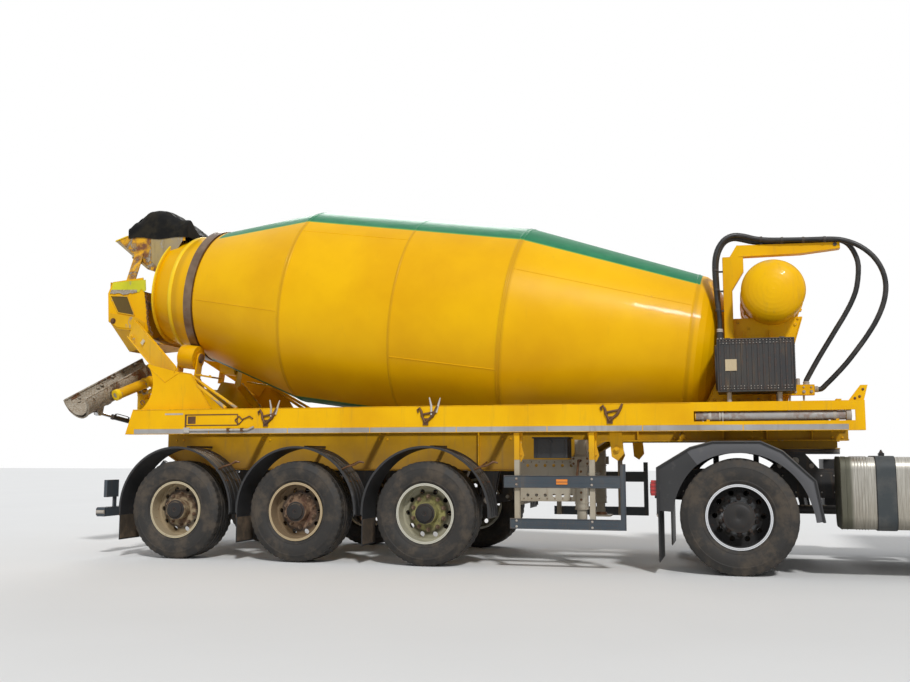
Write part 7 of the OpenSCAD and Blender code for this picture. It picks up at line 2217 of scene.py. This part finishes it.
def make_cab_shell_details():
    rubber, white, dark, amber = shapes(4)
    # Windscreen and rear window seals
    low, high = CAB_SCREEN_Z
    corners = ((low, -1, 0.003), (low, 1, 0.003), (high, 1, -0.003), (high, -1, -0.003))
    loop_tube(rubber, [at(cab_front_at(z) - 0.004, way * CAB_SCREEN_Y, z + d) for z, way, d in corners],
              0.011)
    frame_across(rubber, 8.752, (-0.418, 0.418), (2.052, 2.498), 0.011)
    # Two wipers: arm, spring cover, blade with its clips
    for y in (-0.78, 0.06):
        a = at(cab_front_at(1.8) + 0.001, y, 1.8)
        b = at(cab_front_at(1.93) - 0.002, y + 0.34, 1.93)
        dark.tube([a, a + Vector((0.0, 0.03, 0.012)), b], [0.016, 0.013, 0.006], 10)
        dark.tube([b + Vector((0, -0.33, -0.03)), b + Vector((0, 0.33, 0.04))], 0.005, 8)
        for t in (-0.24, -0.12, 0, 0.12, 0.24):
            dark.tube([b + Vector((0.001, t - 0.012, 0.1 * t)), b + Vector((0.001, t + 0.012, 0.1 * t))],
                      0.008, 8)
    for side in SIDES:
        out = (0, side, 0)
        y = side * 1.2395
        # Door gap seal, pressed lines on the flank, arch lip
        door = [(9.779, 1.269), (10.631, 1.269), (10.631, 1.76), (10.511, 2.681), (9.779, 2.681)]
        loop_tube(rubber, [at(x, side * 1.226, z) for x, z in door], 0.0065)
        arc_tube(rubber, *FRONT_AXLE, 0.722, side * 1.236, 52.5, 127.5, 0.012, 28)
        for z_run in (1.8, 2.7, 1.45):
            white.rod((8.78, 9.74), y, z_run, 0.005, 8)
        # Rain gutter above the door
        white.tube([at(9.72, side * 1.2405, 2.715), at(10.4, side * 1.2405, 2.715),
                    at(10.55, side * 1.238, 2.66)], 0.008, 8)
        # Grab rail behind the door on two feet
        dark.tube([at(GRAB_RAIL_X, side * 1.24, 1.5), at(GRAB_RAIL_X, side * 1.268, 1.53),
                   at(GRAB_RAIL_X, side * 1.268, 2.2),
                   at(GRAB_RAIL_X, side * 1.24, 2.23)], 0.012, 12)
        # Side turn lamp and marker on the flank
        amber.box((9.3, 9.39), sided(side, 1.2395, 1.251), (1.5, 1.54))
        # Mirror: arms' sockets, housing ribs and the two glasses
        for z in (1.815, 2.575):
            dark.rod(10.765, (side * 1.215, side * 1.255), z, 0.026, 16)
        for z in (1.9, 1.95, 2.44, 2.49):
            dark.box((10.809, 10.813), sided(side, 1.36, 1.51), (z, z + 0.012))
        for z0m, z1m in ((1.85, 2.06), (2.09, 2.54)):
            frame_across(dark, 10.7195, (side * 1.35, side * 1.52), (z0m, z1m), 0.005)
        # Pivot bracket bolts
        for x in (10.75, 10.86):
            dark.bolt(at(x, side * 0.49, 1.11), out, 0.012, 0.012)
    # Rear wall's pressed ribs, roof beads and hatch
    for y in spaced(9, -1.0, 0.25):
        for za, zb in ((1.35, 1.95), (2.6, 2.82)):
            white.rod(8.7515, y, (za, zb), 0.008, 8)
    for y in (-0.9, -0.6, 0.6, 0.9):
        white.rod((8.95, 10.35), y, (2.9965, 2.982), 0.006, 8)
    hatch = [(-0.34, 9.35), (0.34, 9.35), (0.34, 9.95), (-0.34, 9.95)]
    loop_tube(rubber, [at(x, y, 2.994 - 0.005 * (x > 9.5)) for y, x in hatch], 0.006)
    # Roof marker lamps on the front slope
    for y in (-0.95, -0.32, 0.32, 0.95):
        amber.box((10.53, 10.6), (y - 0.04, y + 0.04), (2.9, 2.914))
    rubber.piece("cab_seals", "black_rubber", "cab", angle=60)
    white.piece("cab_pressings", "white", "cab", angle=60)
    dark.piece("cab_fittings", "black_plastic", "cab", angle=50)
    amber.piece("cab_marker_lamps", "amber_lamp", "cab", bevel=0.003)
    mirror = Shape()
    for side in SIDES:
        for z0m, z1m in ((1.853, 2.057), (2.093, 2.537)):
            mirror.box((10.7165, 10.7198), sided(side, 1.353, 1.517), (z0m, z1m))
    mirror.piece("mirror_glasses", "chrome", "cab", smooth=False)


def make_cab_front_details():
    mesh_piece, dark = shapes(2)
    # Fine mesh and its backing behind the slats
    x = 10.9175
    dark.box((x - 0.0015, x), (-0.718, 0.718), (1.132, 1.608))
    for y in spaced(60, -0.708, 0.024):
        mesh_piece.rod(x + 0.002, y, (1.134, 1.606), 0.0018, 4)
    for z in spaced(20, 1.145, 0.024):
        mesh_piece.rod(x + 0.002, (-0.716, 0.716), z, 0.0018, 4)
    frame_across(mesh_piece, 10.944, (-0.719, 0.719), (1.131, 1.609), 0.0055)
    # Seams of the service flap and the corner panels
    for z in (1.64, 1.115):
        dark.rod(10.9475, (-0.9, 0.9), z, 0.0022, 6)
    for side in SIDES:
        dark.rod(10.9475, side * 0.9, (1.115, 1.64), 0.0022, 6)
        dark.bolt(at(10.944, side * 0.8, 1.62), (1, 0, 0), 0.009, 0.005)
    # Visor's stays
    for y in (-0.9, -0.3, 0.3, 0.9):
        dark.rod((10.7, 10.8), y, (2.775, 2.765), 0.007, 8)
    mesh_piece.piece("grille_mesh", "black_plastic", "cab", angle=60)
    dark.piece("cab_front_seams", "black_plastic", "cab")


def make_bumper_details():
    dark, lens, chrome, amber, pale = shapes(5)
    for side in SIDES:
        for y in (0.79, 0.94):
            m = axis_matrix(at(10.8985, side * y, 0.72), (1, 0, 0))
            chrome.ring([(0.05, 0.0), (0.066, 0.004), (0.0675, 0.016), (0.062, 0.022), (0.05, 0.012)], m, 48)
            lens.ring([(0.0, 0.026), (0.03, 0.0235), (0.05, 0.016), (0.06, 0.004), (0.06, 0.0)], m, 48,
                      closed=False)
            chrome.ring([(0.0, 0.008), (0.022, 0.007), (0.04, 0.001), (0.04, 0.0)], m, 40, closed=False)
            for z in spaced(7, 0.68, 0.0135):
                half = math.sqrt(max(0.0, 0.056 ** 2 - (z - 0.72) ** 2))
                lens.rod(10.917, (side * y - half, side * y + half), z, 0.0012, 6)
        amber.box((10.89, 10.9), sided(side, 1.043, 1.107), (0.658, 0.782))
        for z in spaced(9, 0.662, 0.0135):
            amber.box((10.9, 10.903), sided(side, 1.045, 1.105), (z, z + 0.006))
        # Frame of the lamp recess
        frame_across(dark, 10.862, (side * 0.703, side * 1.127), (0.643, 0.797), 0.006)
        # Fog lamp and its bezel below
        m = axis_matrix(at(10.9275, side * 0.72, 0.51), (1, 0, 0))
        dark.ring([(0.042, -0.004), (0.055, -0.001), (0.055, 0.006), (0.042, 0.009)], m, 40)
        lens.ring([(0.0, 0.009), (0.03, 0.007), (0.042, 0.0)], m, 40, closed=False)
        # Entry steps: treads and edges
        for z in (0.4705, 0.7205, 0.9405):
            for i in range(8):
                x = 10.31 + 0.023 * i
                dark.box((x, x + 0.011), sided(side, 1.03, 1.234), (z, z + 0.006))
        for z in (0.472, 0.648, 0.722, 0.898):
            dark.rod((10.2925, 10.508), side * 1.2385, z, 0.0045, 8)
        # Fixing bolts on the bumper's end
        for z in (0.44, 0.84):
            dark.bolt(at(10.6, side * 1.2402, z), (0, side, 0), 0.01, 0.007)
    # Black step pad on the bumper's top, and its anti-slip bars
    dark.box((10.62, 10.905), (-0.7, 0.7), (0.9, 0.904))
    for y in spaced(34, -0.68, 0.0412):
        dark.box((10.7, 10.9), (y - 0.006, y + 0.006), (0.904, 0.909))
    frame_across(dark, 10.936, (-0.557, 0.557), (0.433, 0.597), 0.006)
    pale.box((10.902, 10.906), (-0.26, 0.26), (0.46, 0.57))
    for y in (-0.22, 0.22):
        dark.bolt(at(10.906, y, 0.515), (1, 0, 0), 0.006, 0.004)
    # Tow pin's cover
    m = axis_matrix(at(10.943, 0.34, 0.7), (1, 0, 0))
    dark.ring([(0.0, 0.004), (0.04, 0.004), (0.045, 0.001), (0.045, -0.003)], m, 40, closed=False)
    dark.piece("bumper_trim", "black_plastic", "tractor", angle=50)
    lens.piece("lamp_glasses", "clear_lamp", "tractor", angle=60)
    chrome.piece("lamp_reflectors", "chrome", "tractor", angle=60)
    amber.piece("front_turn_lamps", "amber_lamp", "tractor", bevel=0.0008)
    pale.piece("front_blank_plate", "blank_plate", "tractor", bevel=0.001)


def make_door_details():
    window = [(9.862, 1.882), (10.528, 1.882), (10.438, 2.598), (9.862, 2.598)]
    for name, side in each_side():
        out = (0, side, 0)
        body = "door_" + name
        rubber, dark, trim, white = shapes(4)
        for y in (1.2385, 1.203):
            loop_tube(rubber, [at(x, side * y, z) for x, z in window], 0.009)
        # Bar of the quarter window, pressed waist lines, dark handle with its lock
        rubber.rod(10.3, side * 1.236, (1.89, 2.59), 0.008, 8)
        for z in (1.8, 1.45, 1.34):
            white.rod((9.82, 10.59), side * 1.2398, z, 0.005, 8)
        dark.box((9.84, 10.06), sided(side, 1.2395, 1.2425), (1.685, 1.75))
        loop_tube(dark,
                  [at(9.852, side * DOOR_HANDLE_Y, 1.702), at(10.048, side * DOOR_HANDLE_Y, 1.702),
                   at(10.048, side * DOOR_HANDLE_Y, 1.733),
                         at(9.852, side * DOOR_HANDLE_Y, 1.733)], 0.0045)
        dark.rod(10.1, (side * 1.2398, side * 1.248), 1.717, 0.013, 20)
        for z in (1.43, 1.47, 1.73, 1.77):
            dark.bolt(at(10.602, side * 1.24, z), out, 0.006, 0.005, washer=False)
        # Inner trim: panel with a folded border, arm rest, pocket, pull and winder
        trim.box((9.83, 10.56), sided(side, 1.182, 1.1995), (1.31, 1.84))
        trim.box((9.9, 10.42), sided(side, 1.15, 1.185), (1.62, 1.68))
        trim.box((9.88, 10.5), sided(side, 1.155, 1.185), (1.33, 1.47))
        dark.tube([at(10.05, side * 1.18, 1.72), at(10.05, side * 1.15, 1.73), at(10.25, side * 1.15, 1.76),
                   at(10.25, side * 1.18, 1.77)], 0.009, 10)
        dark.tube([at(10.4, side * 1.185, 1.56), at(10.4, side * 1.16, 1.56), at(10.46, side * 1.155, 1.53)],
                  0.008, 10)
        m = axis_matrix(at(10.2, side * 1.182, 1.4), (0, -side, 0))
        for r in (0.02, 0.035, 0.05):
            dark.ring([(r - 0.003, 0.0), (r, 0.004), (r + 0.003, 0.0)], m, 32)
        rubber.piece("door_seals_" + name, "black_rubber", body, angle=60)
        dark.piece("door_fittings_" + name, "black_plastic", body, angle=50)
        trim.piece("door_trim_" + name, "cabin", body, bevel=0.008)
        white.piece("door_pressings_" + name, "white", body, angle=60)


def cushion(name, place, size, tilt, side, crown):
    """Stuffed panel: place is the centre of its back, tilt turns it about the cross axis."""
    grid_n = 18
    half_x, half_y = size[0] / 2, size[1] / 2
    m = Matrix.Translation(place) @ Matrix.Rotation(tilt, 4, "Y")
    rows = []
    for i in range(grid_n + 1):
        u = -1 + 2 * i / grid_n
        row = []
        for j in range(grid_n + 1):
            v = -1 + 2 * j / grid_n
            soft = (1 - u ** 6) * (1 - v ** 6)
            bolster = 0.35 * math.exp(-((abs(v) - 0.82) / 0.13) ** 2) * (1 - u ** 8)
            pleat = 0.12 * abs(math.sin(3.5 * math.pi * u)) ** 0.3 * (abs(v) < 0.64)
            wrinkle = 0.05 * noise.noise(Vector((u * 2.3, v * 2.1, side * 3.0)))
            h = crown * (0.35 + 0.5 * soft ** 0.5 + bolster + pleat * soft + wrinkle)
            row.append(m @ Vector((u * half_x, v * half_y, h)))
        rows.append(row)
    shape = Shape()
    shape.sheet(rows, crown * 0.3)
    obj = shape.piece(name, "seat_cloth", "cab", "cabin_plastic", angle=70)
    return obj


def make_interior_details():
    dark, dial, seam = shapes(3)
    for name, side in each_side():
        y = side * SEAT_Y
        # Cushion and back rest on each seat's frame
        cushion("seat_cushion_" + name, at(9.42, y, 1.722), (0.5, 0.5), math.radians(-2), side, 0.07)
        cushion("seat_back_" + name, at(9.19, y, 2.02), (0.56, 0.48), math.radians(77), side, 0.06)
        # Side shields, slide rails and the recline lever
        for d in (-0.255, 0.255):
            dark.plate([(9.14, 1.62), (9.66, 1.6), (9.68, 1.7), (9.3, 1.72), (9.16, 1.7)],
                       sided(side, SEAT_Y + d - 0.006, SEAT_Y + d + 0.006))
        for d in (-0.18, 0.18):
            dark.box((9.1, 9.72), sided(side, SEAT_Y + d - 0.02, SEAT_Y + d + 0.02), (1.3225, 1.345))
        dark.tube([at(9.35, y - 0.262, 1.66), at(9.35, y - 0.29, 1.66), at(9.45, y - 0.29, 1.69)], 0.01, 10)
        # Arm rest
        dark.box((9.25, 9.62), sided(side, 0.395, 0.425), (1.93, 1.98))
    # Dash: instrument hood, dials, vents, glove box seam, switches
    dark.box((10.42, 10.56), (0.42, 0.92), (1.79, 1.86))
    for y in (0.55, SEAT_Y, 0.79):
        m = axis_matrix(at(10.418, y, 1.825), (-1, 0, 0.12))
        dial.ring([(0.0, 0.003), (0.026, 0.003), (0.03, 0.001), (0.03, 0.0)], m, 32, closed=False)
    for y in (-1.0, -0.72, -0.2, 0.2, 1.02):
        for z in spaced(5, 1.66, 0.018):
            seam.box((10.389, 10.394), (y - 0.06, y + 0.06), (z, z + 0.007))
    frame_across(seam, 10.391, (-0.9, -0.5), (1.58, 1.64), 0.003)
    for y in spaced(8, -0.16, 0.045):
        seam.box((10.386, 10.392), (y, y + 0.03), (1.59, 1.62))
    # Pedals, floor mat ribs, gear lever with its bellows
    for y in (0.55, 0.68, 0.8):
        dark.rod((10.52, 10.44), y, (1.5, 1.4), 0.01, 10)
        dark.box((10.4, 10.44), (y - 0.035, y + 0.035), (1.37, 1.42))
    for side in (-1, 1):
        for x in spaced(12, 9.78, 0.045):
            seam.box((x, x + 0.02), sided(side, 0.45, 0.98), (1.3222, 1.328))
    lever = Matrix.Translation(at(10.2, 0.2, 1.322))
    for k in range(5):
        r = 0.07 - 0.009 * k
        dark.ring([(r - 0.016, 0.024 * k), (r, 0.024 * k + 0.012), (r - 0.016, 0.024 * k + 0.024)], lever, 32)
    dark.rod((10.2, 10.17), (0.2, 0.23), (1.43, 1.72), 0.009, 12)
    dark.tube([at(10.17, 0.23, 1.72), at(10.168, 0.232, 1.735), at(10.165, 0.236, 1.77),
               at(10.164, 0.237, 1.78)],
              [0.012, 0.024, 0.024, 0.01], 20)
    # Steering wheel: spokes' stitching ring and blank horn cap, stalks
    wheel = Matrix.Translation(at(10.25, SEAT_Y, 1.83)) @ Matrix.Rotation(math.radians(-60), 4, "Y")
    seam.ring([(0.0, 0.024), (0.03, 0.0225), (0.0405, 0.016)], wheel, 40, closed=False)
    for stitch in zip(circle(wheel, 0.1935, 0.006, 48), circle(wheel, 0.1935, -0.006, 48)):
        seam.tube(stitch, 0.0022, 6)
    for side in (-1, 1):
        dark.rod((10.33, 10.31), (SEAT_Y, SEAT_Y + side * 0.17), (1.79, 1.8), 0.008, 10)
    # Sun blinds under the roof
    for y in (-0.62, 0.62):
        dark.box((10.52, 10.6), (y - 0.3, y + 0.3), (2.74, 2.76))
    dark.piece("cabin_fittings", "cabin", "cab", bevel=0.004, angle=50)
    seam.piece("cabin_seams", "black_plastic", "cab", angle=50)
    dial.piece("dash_dials", "clear_lamp", "cab", angle=50)


make_cab_shell_details()
make_cab_front_details()
make_bumper_details()
make_door_details()
make_interior_details()

# Floor, backdrop and lights


def make_stage():
    size = 60
    mesh = bpy.data.meshes.new("floor")
    mesh.from_pydata([(-size, -size, 0), (size, -size, 0), (size, size, 0), (-size, size, 0)], [],
                     [(0, 1, 2, 3)])
    floor = bpy.data.objects.new("floor", mesh)
    bpy.context.scene.collection.objects.link(floor)
    s = Shader("floor_pale", 0.9)
    s.colour(s.mix(s.noise(0.6, 4), (0.74, 0.74, 0.73), (0.7, 0.7, 0.69)))
    mesh.materials.append(s.mat)


def make_world():
    world = bpy.data.worlds.new("studio")
    bpy.context.scene.world = world
    world.use_nodes = True
    tree = world.node_tree
    tree.nodes.clear()
    out = tree.nodes.new("ShaderNodeOutputWorld")
    rays = tree.nodes.new("ShaderNodeLightPath")
    seen, seen_all = tree.nodes.new("ShaderNodeMath"), tree.nodes.new("ShaderNodeMath")
    seen.operation = seen_all.operation = "MAXIMUM"
    tree.links.new(rays.outputs["Is Camera Ray"], seen.inputs[0])
    tree.links.new(rays.outputs["Is Glossy Ray"], seen.inputs[1])
    tree.links.new(seen.outputs[0], seen_all.inputs[0])
    tree.links.new(rays.outputs["Is Transmission Ray"], seen_all.inputs[1])
    white = tree.nodes.new("ShaderNodeBackground")
    white.inputs["Color"].default_value = (1, 1, 1, 1)
    white.inputs["Strength"].default_value = 1.0
    fill = tree.nodes.new("ShaderNodeBackground")
    fill.inputs["Color"].default_value = (0.92, 0.95, 1, 1)
    fill.inputs["Strength"].default_value = 0.45
    both = tree.nodes.new("ShaderNodeMixShader")
    tree.links.new(seen_all.outputs[0], both.inputs[0])
    tree.links.new(fill.outputs[0], both.inputs[1])
    tree.links.new(white.outputs[0], both.inputs[2])
    tree.links.new(both.outputs[0], out.inputs[0])


def make_sun(name, strength, angle, turn):
    data = bpy.data.lights.new(name, "SUN")
    data.energy = strength
    data.angle = math.radians(angle)
    sun = bpy.data.objects.new(name, data)
    bpy.context.scene.collection.objects.link(sun)
    sun.rotation_euler = [math.radians(t) for t in turn]


make_stage()
make_world()
make_sun("key", 2.3, 6, (48, 0, 28))
make_sun("rim", 0.7, 20, (60, 0, 200))

bpy.context.scene.view_settings.view_transform = "Standard"
